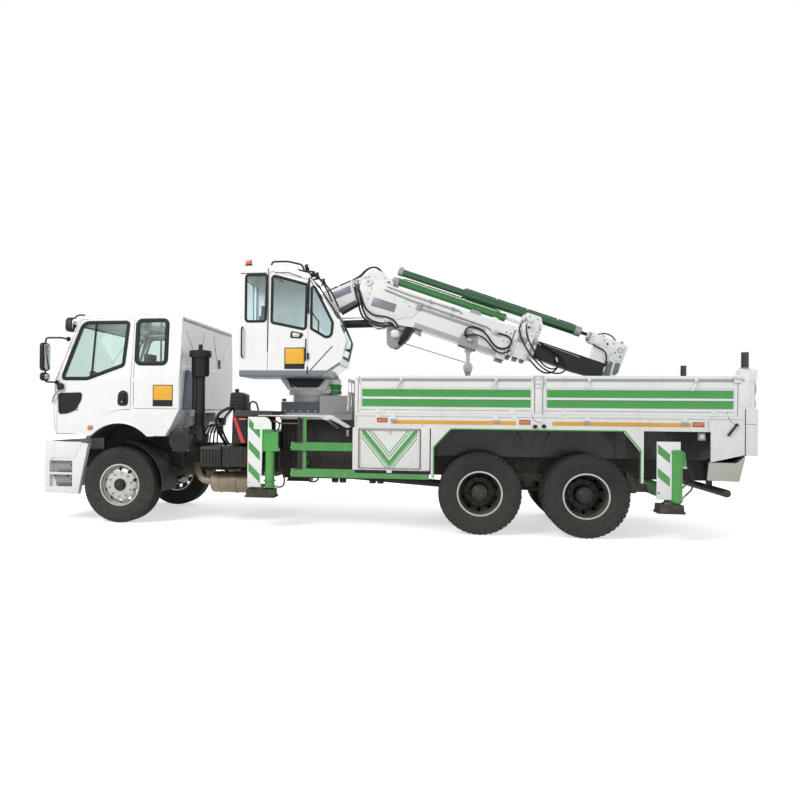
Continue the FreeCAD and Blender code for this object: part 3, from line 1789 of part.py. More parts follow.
def crane_cab():
    """The operator's cab, with a window at the rear side, one in the door and the screen."""
    wall = S.crane_cab_wall
    out, inner = -S.crane_cab_side, -S.crane_cab_inner
    ys = (out - 20, out + 70)
    rear_window = [
        (slew - 740, 2855, 40),
        (slew - 470, 2855, 30),
        (slew - 452, 3488, 30),
        (slew - 740, 3488, 40),
    ]
    side_screen = [
        (slew + 186, 2744, 20),
        (slew + 450, 2590, 60),
        (slew + 470, 2820, 60),
        (slew + 186, 3372, 20),
    ]
    door_glass = [
        (slew - 372, 2835, 30),
        (slew + 96, 2738, 30),
        (slew + 110, 3340, 30),
        (slew - 365, 3474, 30),
    ]
    screen = [
        (out + 70, 2330, 40),
        (inner - 70, 2330, 40),
        (inner - 70, 3440, 40),
        (out + 70, 3440, 40),
    ]
    screen_x = (slew + 150, slew + S.crane_cab_nose + 30)
    back = [
        (out + 90, 2900, 40),
        (inner - 90, 2900, 40),
        (inner - 90, 3470, 40),
        (out + 90, 3470, 40),
    ]
    back_x = (slew - S.crane_cab_rear - 10, slew - S.crane_cab_rear + 60)
    shell = cut(
        crane_cab_form(),
        crane_cab_form(wall),
        slab("side", crane_door_outline(S.running_gap), *ys),
        slab("side", rear_window, *ys),
        slab("side", side_screen, *ys),
        slab("front", screen, *screen_x),
        slab("front", back, *back_x),
    )
    beacon = rod("plan", slew - 735, out + 90, S.beacon_radius, S.crane_cab_roof - 5, S.crane_cab_roof + 95)
    node("crane_cab", join(shell, beacon))

    pane = cut(crane_cab_form(14), crane_cab_form(14 + S.glass_wall))
    gap = S.seat_gap
    panes = [
        meet(pane, slab("side", rear_window, *ys, gap)),
        meet(pane, slab("side", side_screen, *ys, gap)),
        meet(pane, slab("front", screen, *screen_x, gap)),
        meet(pane, slab("front", back, *back_x, gap)),
    ]
    node("crane_cab_glass", together(*panes))
    leaf = cut(
        meet(cut(crane_cab_form(), crane_cab_form(wall)), slab("side", crane_door_outline(), *ys)),
        slab("side", door_glass, *ys),
    )
    node("crane_cab_door", leaf)
    node("crane_cab_door_glass", meet(pane, slab("side", door_glass, *ys, gap)))
    middle = (out + inner) / 2
    floor = S.crane_cab_floor + wall + S.seat_gap
    seat_x = slew - 470
    chair = facing_rear(seat(seat_x, middle, floor, 480, 450, 560), seat_x)
    console = box((slew - 520, slew - 40), (inner - 150, inner - 80), (floor, floor + 520))
    node("crane_seat", join(chair, console))


def in_inner_boom(x, z):
    """A point of the side view in the inner boom's own axes, from its foot pin towards the elbow."""
    rise = S.elbow_height - S.foot_pin_height
    run = S.elbow_reach + S.foot_pin_reach
    length = distance(rise, run)
    dx, dz = x - (slew - S.foot_pin_reach), z - S.foot_pin_height
    return (dx * run + dz * rise) / length, (dz * run - dx * rise) / length


def inner_boom():
    """The first boom, from the column's fork up to the elbow, open below for the lift rod's eye."""
    rise = S.elbow_height - S.foot_pin_height
    run = S.elbow_reach + S.foot_pin_reach
    length = distance(rise, run)
    half = S.inner_boom_half_width
    boom = Body()
    boom.pad(
        "side",
        [
            (-75, -75, 60),
            (160, -150, 80),
            (640, -215, 80),
            (length + 40, -110, 90),
            (length + 95, 60, 80),
            (length + 20, 130, 60),
            (560, 118, 200),
            (60, 80, 60),
            (-75, 60, 60),
        ],
        half * 2,
    )
    eye_x, eye_z = in_inner_boom(slew + S.lift_eye_reach, S.lift_eye_height)
    boom.pocket(
        "side",
        [
            (eye_x - 250, eye_z - 130),
            (eye_x + 105, eye_z - 130),
            (eye_x + 105, eye_z + 60, 40),
            (eye_x, eye_z + 105, 60),
            (eye_x - 105, eye_z + 60, 40),
            (eye_x - 250, eye_z - 10),
        ],
        (S.lift_barrel_radius + S.running_gap) * 2,
    )
    pin_half = half + S.cheek_wall * 2 + 30
    near = S.fold_barrel_radius + S.pin_gap
    far = near + S.cheek_wall
    fold_x, fold_z = in_inner_boom(slew + S.fold_base_reach, S.fold_base_height)
    lug = [
        (fold_x - 62, fold_z - 20, 50),
        (fold_x + 10, fold_z - 66, 50),
        (fold_x + 66, fold_z + 20, 50),
        (fold_x + 60, -150),
        (fold_x - 180, -150),
    ]
    pieces = [
        slab("side", lug, near, far),
        slab("side", lug, -far, -near),
        rod("side", fold_x, fold_z, S.pin_radius, -far - 12, far + 12),
        rod("side", length, 0, S.pin_radius, -pin_half, pin_half),
    ]
    hole = rod("side", 0, 0, S.pin_radius + S.bearing_gap, -half - 5, half + 5)
    piece = cut(join(boom.item, *pieces), hole)
    angle = -slope_of(rise, run)
    node("inner_boom", put(piece, x=slew - S.foot_pin_reach, z=S.foot_pin_height, angle=angle))


def on_outer_boom(item):
    """Carry something drawn along the outer boom to its place at the elbow."""
    return put(item, x=slew + S.elbow_reach, z=S.elbow_height, angle=S.outer_slope)


def outer_boom():
    """The second boom: a box section from its knee, open at the far end for the extensions."""
    half = S.outer_half_width
    top, bottom = S.outer_top, S.outer_bottom
    boom = Body()
    boom.pad(
        "side",
        [
            (-70, -60, 50),
            (20, -bottom + 20, 60),
            (180, -S.knee_drop + 20, 60),
            (330, -S.knee_drop - 20, 60),
            (560, -bottom - 60, 80),
            (880, -bottom, 60),
            (S.outer_length, -bottom),
            (S.outer_length, top),
            (300, top, 60),
            (130, 190, 60),
            (-20, 190, 70),
            (-80, 60, 50),
        ],
        half * 2,
    )
    inner = box(
        (S.first_start - 40, S.outer_length + 10),
        (-S.first_half_width - S.extension_gap, S.first_half_width + S.extension_gap),
        (-bottom + S.boom_wall, S.first_top + S.running_gap),
    )
    pad = box(
        (S.outer_length - 150, S.outer_length),
        (-S.first_half_width, S.first_half_width),
        (-bottom + S.boom_wall - 5, -S.first_bottom - S.running_gap),
    )
    inner_gap = S.inner_boom_half_width + S.running_gap
    elbow_room = slab(
        "side",
        [
            (-400, -900),
            (150, -900),
            (230, -240),
            (150, 140),
            (150, 400),
            (-400, 400),
        ],
        -inner_gap,
        inner_gap,
    )
    elbow_hole = rod("side", 0, 0, S.pin_radius + S.bearing_gap, -half - 10, half + 10)
    eye_x, eye_z = eye_on_outer()
    knee_room = slab(
        "side",
        [
            (-300, -900),
            (eye_x + 100, -900),
            (eye_x + 100, eye_z + 90),
            (eye_x - 60, eye_z + 180),
            (-300, eye_z + 220),
        ],
        -S.fold_barrel_radius - 10,
        S.fold_barrel_radius + 10,
    )
    winch_x, winch_z = S.winch_reach, -S.winch_drop
    cheek = [
        (winch_x - 110, -bottom + 5),
        (winch_x - 130, winch_z - 60, 60),
        (winch_x + 90, winch_z - 120, 70),
        (winch_x + 190, -bottom + 5),
    ]
    winch_half = S.winch_half_width + S.seat_gap
    cheeks = [
        slab("side", cheek, winch_half, winch_half + 16),
        slab("side", cheek, -winch_half - 16, -winch_half),
    ]
    hanger_x, hanger_z = S.hanger_reach, -S.hanger_drop
    ear = [
        (hanger_x - 70, -bottom + 5),
        (hanger_x - 40, hanger_z - 40, 36),
        (hanger_x + 40, hanger_z - 40, 36),
        (hanger_x + 70, -bottom + 5),
    ]
    ears = [slab("side", ear, 30, 46), slab("side", ear, -46, -30)]
    ear_pin = rod("side", hanger_x, hanger_z, 18, -52, 52)
    cylinder_z = S.first_cylinder_rise
    clevis = box((S.first_cylinder_start - 60, S.first_cylinder_start - 8), (-40, 40), (0, cylinder_z + 40))
    saddle = box((1900, 1980), (-60, 60), (top - 5, cylinder_z - S.first_cylinder_radius - 0.3))
    body = cut(together(boom.item), inner, elbow_room, elbow_hole, knee_room)
    node("outer_boom", on_outer_boom(join(body, pad, *cheeks, *ears, ear_pin, clevis, saddle)))

    drum = turned(
        [
            (-S.winch_half_width, 0),
            (-S.winch_half_width, S.winch_radius),
            (-S.winch_half_width + 14, S.winch_radius),
            (-S.winch_half_width + 14, S.winch_radius - 30),
            (S.winch_half_width - 14, S.winch_radius - 30),
            (S.winch_half_width - 14, S.winch_radius),
            (S.winch_half_width, S.winch_radius),
            (S.winch_half_width, 0),
        ]
    )
    node("winch", on_outer_boom(together(put(drum, x=winch_x, z=winch_z))))


def eye_on_outer():
    """The fold cylinder's eye in the outer boom's own axes."""
    turn = math.radians(S.outer_slope.number)
    dx = S.fold_eye_reach - S.elbow_reach
    dz = S.fold_eye_height - S.elbow_height
    slope = S.outer_slope.formula
    cosine = Size(math.cos(turn), f"cos({slope} * 1 deg)")
    sine = Size(math.sin(turn), f"sin({slope} * 1 deg)")
    return dx * cosine - dz * sine, dx * sine + dz * cosine


def extensions():
    """The two telescoping sections with the cylinders that push them."""
    wall = S.boom_wall
    half = S.first_half_width
    bottom, top = S.first_bottom, S.first_top
    grow = S.collar_grow
    tube = box((S.first_start, S.first_end), (-half, half), (-bottom, top))
    collar = box((S.collar_start, S.collar_end), (-half - grow, half + grow), (-bottom - grow, top + grow))
    gap = S.extension_gap
    bore = box(
        (S.second_start - 60, S.first_end + 10),
        (-S.second_half_width - gap, S.second_half_width + gap),
        (-S.second_bottom - gap, S.second_top + gap),
    )
    first_z, second_z = S.first_cylinder_rise, S.second_cylinder_rise
    tower = slab(
        "side",
        [
            (S.collar_start, top + grow - 5),
            (S.collar_end, top + grow - 5),
            (S.collar_end - 10, second_z + 20, 20),
            (S.collar_start + 20, second_z + 20, 20),
        ],
        -60,
        60,
    )
    second_clear = rod(
        "front", 0, second_z, S.second_cylinder_radius + S.second_cylinder_swell + S.seat_gap,
        S.collar_start - 20, S.collar_end + 20,
    )
    rod_start = S.first_cylinder_start + 60
    first_rod = rod("front", 0, first_z, S.extension_rod_radius, rod_start, S.collar_start + 20)
    section = cut(join(tube, collar, tower), bore, second_clear)
    node("extension_1", on_outer_boom(join(section, first_rod)))

    radius, bore_radius = S.first_cylinder_radius, S.extension_rod_radius + S.bearing_gap
    first_barrel = cut(
        rod("front", 0, first_z, radius, S.first_cylinder_start, S.first_cylinder_end),
        rod("front", 0, first_z, bore_radius, S.first_cylinder_start + 30, S.first_cylinder_end + 5),
    )
    node("extension_cylinder_1", on_outer_boom(together(first_barrel)))

    radius = S.second_cylinder_radius
    second_barrel = cut(
        join(
            rod("front", 0, second_z, radius, S.second_cylinder_start, S.second_cylinder_end),
            rod(
                "front", 0, second_z, radius + S.second_cylinder_swell,
                S.second_cylinder_step, S.second_cylinder_end,
            ),
        ),
        rod("front", 0, second_z, bore_radius, S.second_cylinder_start + 30, S.second_cylinder_end + 5),
    )
    node("extension_cylinder_2", on_outer_boom(together(second_barrel)))

    half = S.second_half_width
    bottom, top = S.second_bottom, S.second_top
    tube = slab(
        "side",
        [
            (S.second_start, -bottom),
            (S.head_start, -bottom),
            (S.second_end, -bottom + S.second_tip_rise),
            (S.second_end, top),
            (S.second_start, top),
        ],
        -half,
        half,
    )
    core = box(
        (S.second_start - 5, S.head_start),
        (-half + wall, half - wall),
        (-bottom + wall, top - wall),
    )
    head = slab(
        "side",
        [
            (S.head_start, second_z - 42),
            (S.head_start + 130, second_z - 70, 60),
            (S.head_start + 180, -S.head_bottom + 30, 30),
            (S.head_end - 60, -S.head_bottom + 20, 40),
            (S.head_end, -60, 60),
            (S.head_end, S.head_top - 20, 30),
            (S.head_start + 30, S.head_top + 12, 20),
            (S.head_start, second_z + 40),
        ],
        -S.head_half_width,
        S.head_half_width,
    )
    tip_hole = rod("side", S.head_end - 90, S.head_top - 120, S.tip_pin_radius, -200, 200)
    second_rod = rod(
        "front", 0, second_z, S.extension_rod_radius, S.second_cylinder_start + 60, S.head_start + 20
    )
    node("extension_2", on_outer_boom(join(cut(tube, core), cut(head, tip_hole), second_rod)))


def hook():
    """A hanging strap with the sheave and the hook block, under the outer boom."""
    strap = box((-26, 26), (-22, 22), (-S.sheave_drop + 40, 30))
    eye = rod("side", 0, 0, 34, -24, 24)
    hole = rod("side", 0, 0, 18 + S.bearing_gap, -40, 40)
    sheave = rod("side", 0, -S.sheave_drop, S.sheave_radius, -20, 20)
    block = box((-34, 34), (-34, 34), (-S.sheave_drop - 70, -S.sheave_drop + 50))
    throat_z = -S.sheave_drop - S.hook_drop + 40
    hook_bend = turned_hook(throat_z)
    shank = rod("plan", 0, 0, 13, throat_z + 30, -S.sheave_drop - 60)
    item = join(cut(join(strap, eye), hole), sheave, block, shank, hook_bend)
    slope = math.radians(S.outer_slope.number)
    formula = S.outer_slope.formula
    cosine = Size(math.cos(slope), f"cos({formula} * 1 deg)")
    sine = Size(math.sin(slope), f"sin({formula} * 1 deg)")
    x = slew + S.elbow_reach + S.hanger_reach * cosine - S.hanger_drop * sine
    z = S.elbow_height - S.hanger_reach * sine - S.hanger_drop * cosine
    node("hook", put(together(item), x=x, z=z))


def turned_hook(z):
    """Three quarters of a ring, open to one side."""
    ring = doc.addObject("Part::Torus", "HookBend")
    bind(ring, Radius1=S.hook_radius, Radius2=11)
    bend = put(ring, z=z, axis=Vector(1, 0, 0), angle=90)
    return cut(bend, box((0, 60), (-30, 30), (z, z + 60)))


def hinged_cylinder(base, eye, radius, rod_radius, names):
    """A lift or fold cylinder drawn straight from its base pin to its rod's eye."""
    (base_x, base_z), (eye_x, eye_z) = base, eye
    length = distance(eye_z - base_z, eye_x - base_x)
    angle = -slope_of(eye_z - base_z, eye_x - base_x)
    half = S.eye_half_width
    boss = radius - S.boss_inset
    ring = rod("side", 0, 0, S.pin_radius + 26, -boss, boss)
    end = length - 95
    tube = cut(
        join(ring, rod("front", 0, 0, radius, 30, end)),
        rod("side", 0, 0, S.pin_radius + S.bearing_gap, -radius - 5, radius + 5),
        rod("front", 0, 0, rod_radius + S.bearing_gap, S.ram_start - S.ram_spare, end + 5),
    )
    node(names[0], put(together(tube), x=base_x, z=base_z, angle=angle))
    ram = cut(
        join(
            rod("front", 0, 0, rod_radius, S.ram_start, length - 30),
            rod("side", length, 0, S.pin_radius + 26, -half, half),
        ),
        rod("side", length, 0, S.pin_radius, -half - 5, half + 5),
    )
    node(names[1], put(together(ram), x=base_x, z=base_z, angle=angle))


def boom_cylinders():
    hinged_cylinder(
        (slew + S.lift_base_reach, S.lift_base_height),
        (slew + S.lift_eye_reach, S.lift_eye_height),
        S.lift_barrel_radius,
        S.lift_rod_radius,
        ("lift_barrel", "lift_rod"),
    )
    hinged_cylinder(
        (slew + S.fold_base_reach, S.fold_base_height),
        (slew + S.fold_eye_reach, S.fold_eye_height),
        S.fold_barrel_radius,
        S.fold_rod_radius,
        ("fold_barrel", "fold_rod"),
    )


def platform():
    """Deck on its sills and bearers, with skirts, posts, headboard and the tail panel."""
    half, gap = S.half_width, S.seat_gap
    tail_start = tail - S.tail_panel_length
    deck_bottom = S.deck_height - S.deck_wall
    floor_half = half - S.post_depth - gap
    floor = box(
        (deck_front + S.front_post + gap, tail_start - gap),
        (-floor_half, floor_half),
        (deck_bottom, S.deck_height + S.plank_rise),
    )
    deck = join(box((deck_front, tail_start - gap), (-half, half), (deck_bottom, S.deck_height)), floor)
    bearer_bottom = S.skirt_bottom + S.bearer_rise
    bearer_y = (-half + S.bearer_inset, half - S.bearer_inset)
    first, last = deck_front + 60, tail_start - 120
    bearers = []
    for step in range(BEARERS):
        x = first + (last - first) * (step / (BEARERS - 1))
        bearers.append(box((x, x + S.bearer_wall), bearer_y, (bearer_bottom, deck_bottom - gap)))
    sill_x = (slew + S.base_rear + 40, tail - S.frame_tail_gap)
    sill_z = (S.rail_top + gap, bearer_bottom - gap)
    sill_y = (-S.rail_half_spacing - S.sill_width / 2, -S.rail_half_spacing + S.sill_width / 2)

    wall = (-half, -half + S.skirt_wall)
    skirt = box((deck_front, tail_start - gap), wall, (S.skirt_bottom, deck_bottom - gap))
    top = S.skirt_bottom - gap
    arches = []
    for way, edge in ((1, first_axle - S.arch_front), (-1, last_axle + S.arch_rear)):
        arch = [
            (edge - way * S.arch_strip, top),
            (edge - way * S.arch_strip, S.arch_foot),
            (edge, S.arch_foot),
            (edge, S.arch_shoulder, 80),
            (edge + way * S.arch_chamfer, top),
        ]
        arches.append(slab("side", arch, *wall))
    low_skirt = slab(
        "side",
        [
            (tail_start - S.tail_skirt_length, S.tail_skirt_bottom, 20),
            (tail_start - 120, S.tail_skirt_bottom, 40),
            (tail_start - gap, S.tail_skirt_bottom + 104),
            (tail_start - gap, top),
            (tail_start - S.tail_skirt_length, top),
        ],
        *wall,
    )
    centre_x = first_axle + S.centre_post_setback
    centre_post = box(
        (centre_x, centre_x + S.centre_post),
        (-half, -half + S.post_depth),
        (S.deck_height + gap, S.centre_post_top),
    )
    post_x = (tail_start - S.rear_post_lead, tail - S.rear_post_setback)
    rear_post = slab(
        "side",
        [
            (post_x[0], S.deck_height + gap),
            (tail_start - gap, S.deck_height + gap),
            (tail_start - gap, S.tail_panel_top + gap),
            (post_x[1], S.tail_panel_top + gap),
            (post_x[1], S.rear_post_top, 25),
            (post_x[0], S.rear_post_top, 25),
        ],
        -half,
        -half + S.post_depth,
    )
    stake_x = (post_x[0] + post_x[1]) / 2
    stake = rod("plan", stake_x, -half + 46, S.stake_radius, S.rear_post_top + gap, S.stake_top)
    panel_x = (gate_face - S.tail_panel_wall, gate_face)
    rib_x = (tail_start, panel_x[0] - gap)
    rib = box(rib_x, (-half, -half + 30), (S.tail_panel_bottom, deck_bottom - gap))
    left = together(
        box(sill_x, sill_y, sill_z), skirt, *arches, low_skirt, centre_post, rear_post, stake, rib
    )
    back = box(panel_x, (-half, half), (S.tail_panel_bottom, S.tail_panel_top))
    beam = box(rib_x, (-half, half), (deck_bottom, S.tail_panel_top))
    headboard = box(
        (deck_front, deck_front + S.front_post), (-half, half), (S.deck_height + gap, S.board_top)
    )
    node("platform", together(deck, *bearers, left, mirrored(left), back, beam, headboard))


def board_stations():
    """Fore-and-aft extents of the front and the rear side boards."""
    gap = S.running_gap
    middle = first_axle + S.centre_post_setback
    front = (deck_front + S.front_post + gap, middle - gap)
    rear = (middle + S.centre_post + gap, tail - S.tail_panel_length - S.rear_post_lead - gap)
    return {"front": front, "rear": rear}


def side_board(x):
    """A drop side: a framed panel with two pressed ribs along it."""
    out = -S.half_width
    wall = S.board_wall
    bottom, top = S.board_bottom, S.board_top
    section = [
        (out, bottom),
        (out, bottom + 84, 6),
        (out + 9, bottom + 96, 6),
        (out + 9, bottom + 182, 6),
        (out, bottom + 194, 6),
        (out, bottom + 216, 6),
        (out + 9, bottom + 228, 6),
        (out + 9, bottom + 316, 6),
        (out, bottom + 328, 6),
        (out, top, 10),
        (out + wall, top, 10),
        (out + wall, bottom),
    ]
    pieces = [slab("front", section, *x)]
    for start in (x[0] + S.hinge_front_inset, x[1] - S.hinge_rear_inset):
        ends = (start, start + S.hinge_lug)
        pieces.append(box(ends, (out - S.hinge_stand, out + 2), (S.deck_height, bottom + S.hinge_leaf)))
        pieces.append(rod("front", out - S.hinge_stand, S.deck_height, S.hinge_pin_radius, *ends))
    return join(*pieces)


def boards():
    """Four drop sides and the tailgate, each standing closed on the deck's edge."""
    for place, x in board_stations().items():
        board = side_board(x)
        node(f"{place}_left_board", board)
        node(f"{place}_right_board", mirrored(board))
    half = S.half_width - S.post_depth - S.running_gap
    bottom = S.tail_panel_top + S.gate_gap
    section = [
        (gate_face - S.board_wall, bottom),
        (gate_face, bottom),
        (gate_face, bottom + 84, 6),
        (gate_face - 9, bottom + 96, 6),
        (gate_face - 9, bottom + 280, 6),
        (gate_face, bottom + 292, 6),
        (gate_face, S.gate_top, 10),
        (gate_face - S.board_wall, S.gate_top, 10),
    ]
    pieces = [slab("side", section, -half, half)]
    pin_x, pin_z = gate_face + S.hinge_stand, S.tail_panel_top
    for y in (-900, -30, 840):
        ends = (y, y + S.hinge_lug)
        pieces.append(box((gate_face - 2, pin_x), ends, (pin_z, bottom + S.hinge_leaf)))
        pieces.append(rod("side", pin_x, pin_z, S.hinge_pin_radius, *ends))
    node("tailgate", join(*pieces))


def toolbox():
    """A locker under the deck's front, open to the left behind its drop door."""
    start = deck_front - S.toolbox_start
    end = start + S.toolbox_length + 11
    out = -S.half_width
    inner = out + S.toolbox_depth
    case = box((start, end), (out, inner), (S.toolbox_bottom, S.skirt_bottom - 0.3))
    door_start = deck_front + S.toolbox_door_start
    gap = S.running_gap
    door_x = (door_start, door_start + S.toolbox_door_length)
    hollow = box(
        (start + 25, end - 25), (out + 30, inner - 25), (S.toolbox_bottom + 25, S.skirt_bottom - 25)
    )
    mouth = box(
        (door_x[0] - gap, door_x[1] + gap),
        (out - 5, out + 40),
        (S.toolbox_door_bottom - gap, S.toolbox_door_top - 8 + gap),
    )
    bracket = box((start + 200, start + 260), (inner - 5, -S.rail_half_spacing), (880, 960))
    lug_stations = (door_x[0] + 90, door_x[1] - 150)
    lugs = [
        box(
            (x, x + S.hinge_lug),
            (out, out + 22),
            (S.toolbox_door_bottom - gap - 2, S.toolbox_door_bottom - S.seat_gap),
        )
        for x in lug_stations
    ]
    node("toolbox", join(cut(case, hollow, mouth), bracket, *lugs))
    door = [box(door_x, (out, out + 24), (S.toolbox_door_bottom, S.toolbox_door_top - 8))]
    for x in lug_stations:
        ends = (x, x + S.hinge_lug)
        leaf_z = (S.toolbox_door_bottom, S.toolbox_door_bottom + S.hinge_leaf)
        door.append(box(ends, (out - S.hinge_stand, out + 2), leaf_z))
        pin_y = out - S.hinge_stand
        door.append(rod("front", pin_y, S.toolbox_door_bottom, S.hinge_pin_radius, *ends))
    node("toolbox_door", join(*door))


def check_and_export():
    """Stop on any failed object, then write each sub-part's file."""
    doc.recompute()
    for item in doc.Objects:
        if "Invalid" in item.State or "Error" in item.State:
            raise RuntimeError(f"{item.Name} ({item.Label}) failed: {item.State}")
    os.makedirs("parts", exist_ok=True)
    for item in NODES:
        if item.Shape.isNull() or not item.Shape.isValid() or not item.Shape.Solids:
            raise RuntimeError(f"{item.Label} has no valid shape")
    for item in NODES:
        item.Shape.exportStep(f"parts/{item.Label}.step")


frame()
engine()
front_axle_beam()
rear_axles()
wheels()
cab()
front_bumper()
mudguards()
chassis_boxes()
air_intake()
side_guards()
crane_base()
stabilizers()
crane_column()
crane_cab()
inner_boom()
outer_boom()
extensions()
hook()
boom_cylinders()
platform()
boards()
toolbox()
check_and_export()
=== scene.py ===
import math

import bmesh
import bpy
from mathutils import Matrix, Vector
from mathutils.bvhtree import BVHTree


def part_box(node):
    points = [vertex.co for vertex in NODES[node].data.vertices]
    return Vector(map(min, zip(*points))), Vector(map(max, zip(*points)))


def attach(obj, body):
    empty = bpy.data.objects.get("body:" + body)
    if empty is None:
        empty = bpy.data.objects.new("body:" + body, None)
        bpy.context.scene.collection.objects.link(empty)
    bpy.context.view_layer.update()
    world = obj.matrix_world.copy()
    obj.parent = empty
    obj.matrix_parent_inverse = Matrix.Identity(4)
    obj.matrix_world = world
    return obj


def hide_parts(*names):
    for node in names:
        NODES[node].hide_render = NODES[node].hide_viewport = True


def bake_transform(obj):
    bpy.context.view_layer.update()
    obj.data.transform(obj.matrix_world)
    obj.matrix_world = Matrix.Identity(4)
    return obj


# Knuckle boom crane truck. The front is towards -X, the crane's cab is on the -Y side and the
# origin is on the ground under the middle. Lengths are in metres. Stations along the truck are
# measured rearwards from the front axle, as at(0.5), which is half a metre behind it.

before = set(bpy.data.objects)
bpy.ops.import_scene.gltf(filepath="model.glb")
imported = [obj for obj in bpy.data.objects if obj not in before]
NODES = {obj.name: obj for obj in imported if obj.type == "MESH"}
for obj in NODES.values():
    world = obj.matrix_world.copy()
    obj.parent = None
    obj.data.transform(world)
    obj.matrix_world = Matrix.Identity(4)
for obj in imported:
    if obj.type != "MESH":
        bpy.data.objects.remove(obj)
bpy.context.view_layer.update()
scene = bpy.context.scene


def middle(node):
    """The middle of a CAD node's box."""
    low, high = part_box(node)
    return (low + high) / 2


AXLE = middle("front_left_wheel").x
SLEW = AXLE + 2.59
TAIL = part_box("platform")[1].x
DECK_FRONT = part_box("platform")[0].x
SIDE = 1.25  # half the width of the bed

# The outer boom falls rearwards from the elbow's pin at this slope.
ELBOW = Vector((AXLE + 3.43, 0.0, 3.56))
BOOM_SLOPE = math.radians(19.5)
COSINE, SINE = math.cos(BOOM_SLOPE), math.sin(BOOM_SLOPE)


def at(distance):
    """The X of a station, measured rearwards from the front axle."""
    return AXLE + distance


def oblong(across, up, *corner):
    """A rectangle's four corners in order, each with the same radius where one is given."""
    (a, b), (low, high) = across, up
    return [(a, low, *corner), (b, low, *corner), (b, high, *corner), (a, high, *corner)]


# ---------------------------------------------------------------- node trees

class Tree:
    """A short way to fill a node tree: each call adds a node and joins or sets its inputs."""

    def __init__(self, tree):
        self.tree = tree

    def add(self, kind, inputs=None, **settings):
        item = self.tree.nodes.new(kind)
        for key, value in settings.items():
            setattr(item, key, value)
        for key, value in (inputs or {}).items():
            self.feed(item.inputs[key], value)
        return item

    def feed(self, socket, value):
        if isinstance(value, bpy.types.NodeSocket):
            self.tree.links.new(value, socket)
        else:
            socket.default_value = value

    def math(self, operation, a, b=0.0, c=0.0, clamp=False):
        item = self.add("ShaderNodeMath", {0: a, 1: b, 2: c}, operation=operation, use_clamp=clamp)
        return item.outputs[0]

    def mix(self, share, a, b):
        item = self.add("ShaderNodeMix", data_type="RGBA")
        colours = [s for s in item.inputs if s.type == "RGBA"]
        self.feed(item.inputs[0], share)
        self.feed(colours[0], a)
        self.feed(colours[1], b)
        return [s for s in item.outputs if s.type == "RGBA"][0]

    def spread(self, value, low, high, to_low=0.0, to_high=1.0):
        """The value between low and high, moved to a new range and held inside it."""
        item = self.add(
            "ShaderNodeMapRange",
            {"Value": value, "From Min": low, "From Max": high, "To Min": to_low, "To Max": to_high},
            interpolation_type="SMOOTHSTEP",
        )
        return item.outputs[0]

    def xyz(self):
        """The parts of a point's place in its object, as three outputs."""
        place = self.add("ShaderNodeTexCoord").outputs["Object"]
        return self.add("ShaderNodeSeparateXYZ", {0: place}).outputs

    def noise(self, scale, detail=4.0, roughness=0.55, vector=None, stretch=(1, 1, 1)):
        coordinates = vector or self.add("ShaderNodeTexCoord").outputs["Object"]
        if stretch != (1, 1, 1):
            coordinates = self.add("ShaderNodeMapping", {"Vector": coordinates, "Scale": stretch}).outputs[0]
        item = self.add(
            "ShaderNodeTexNoise",
            {"Vector": coordinates, "Scale": scale, "Detail": detail, "Roughness": roughness},
        )
        return item.outputs["Fac"]


def rgba(colour):
    """A colour with full cover."""
    return (*colour, 1.0)


def shader_group(name, inputs, outputs, fill):
    """A shader node group with named inputs; fill(tree, sockets) returns its outputs in order."""
    tree = bpy.data.node_groups.new(name, "ShaderNodeTree")
    for title, value in inputs.items():
        socket = tree.interface.new_socket(title, in_out="INPUT", socket_type="NodeSocketFloat")
        socket.default_value = value
    for title in outputs:
        tree.interface.new_socket(title, in_out="OUTPUT", socket_type="NodeSocketFloat")
    t = Tree(tree)
    source = t.add("NodeGroupInput")
    sink = t.add("NodeGroupOutput")
    for title, socket in zip(outputs, fill(t, source.outputs)):
        tree.links.new(socket, sink.inputs[title])
    return tree


def fill_soiling(t, s):
    """Road dirt: full at the foot, gone at the reach, broken up by clouds of noise."""
    place = t.add("ShaderNodeTexCoord").outputs["Object"]
    height = t.add("ShaderNodeSeparateXYZ", {0: place}).outputs["Z"]
    clouds = t.noise(s["Scale"], 5.0, 0.62, place)
    fine = t.noise(t.math("MULTIPLY", s["Scale"], 7.0), 3.0, 0.6, place)
    lifted = t.math("ADD", height, t.math("MULTIPLY", t.math("SUBTRACT", clouds, 0.5), 1.1))
    span = t.math("SUBTRACT", s["Reach"], s["Foot"])
    low = t.math("DIVIDE", t.math("SUBTRACT", s["Reach"], lifted), span, clamp=True)
    blotch = t.math("MULTIPLY", low, t.spread(fine, 0.3, 0.75, 0.45, 1.0))
    return [blotch]


def fill_wear(t, s):
    """Worn corners: where the rounded normal leaves the true one, broken by noise."""
    rounded = t.add("ShaderNodeBevel", {"Radius": s["Width"]}, samples=4).outputs[0]
    true = t.add("ShaderNodeNewGeometry").outputs["Normal"]
    dot = t.add("ShaderNodeVectorMath", {0: rounded, 1: true}, operation="DOT_PRODUCT").outputs["Value"]
    edge = t.spread(t.math("SUBTRACT", 1.0, dot), 0.02, 0.22)
    broken = t.spread(t.noise(s["Scale"], 6.0, 0.7), 0.44, 0.62)
    return [t.math("MULTIPLY", edge, broken)]


def fill_streaks(t, s):
    """Marks that rain has drawn down the sides."""
    runs = t.noise(s["Scale"], 4.0, 0.6, stretch=(1, 1, 0.06))
    patches = t.noise(t.math("MULTIPLY", s["Scale"], 0.16), 2.0)
    return [t.math("MULTIPLY", t.spread(runs, 0.5, 0.78), t.spread(patches, 0.4, 0.65))]


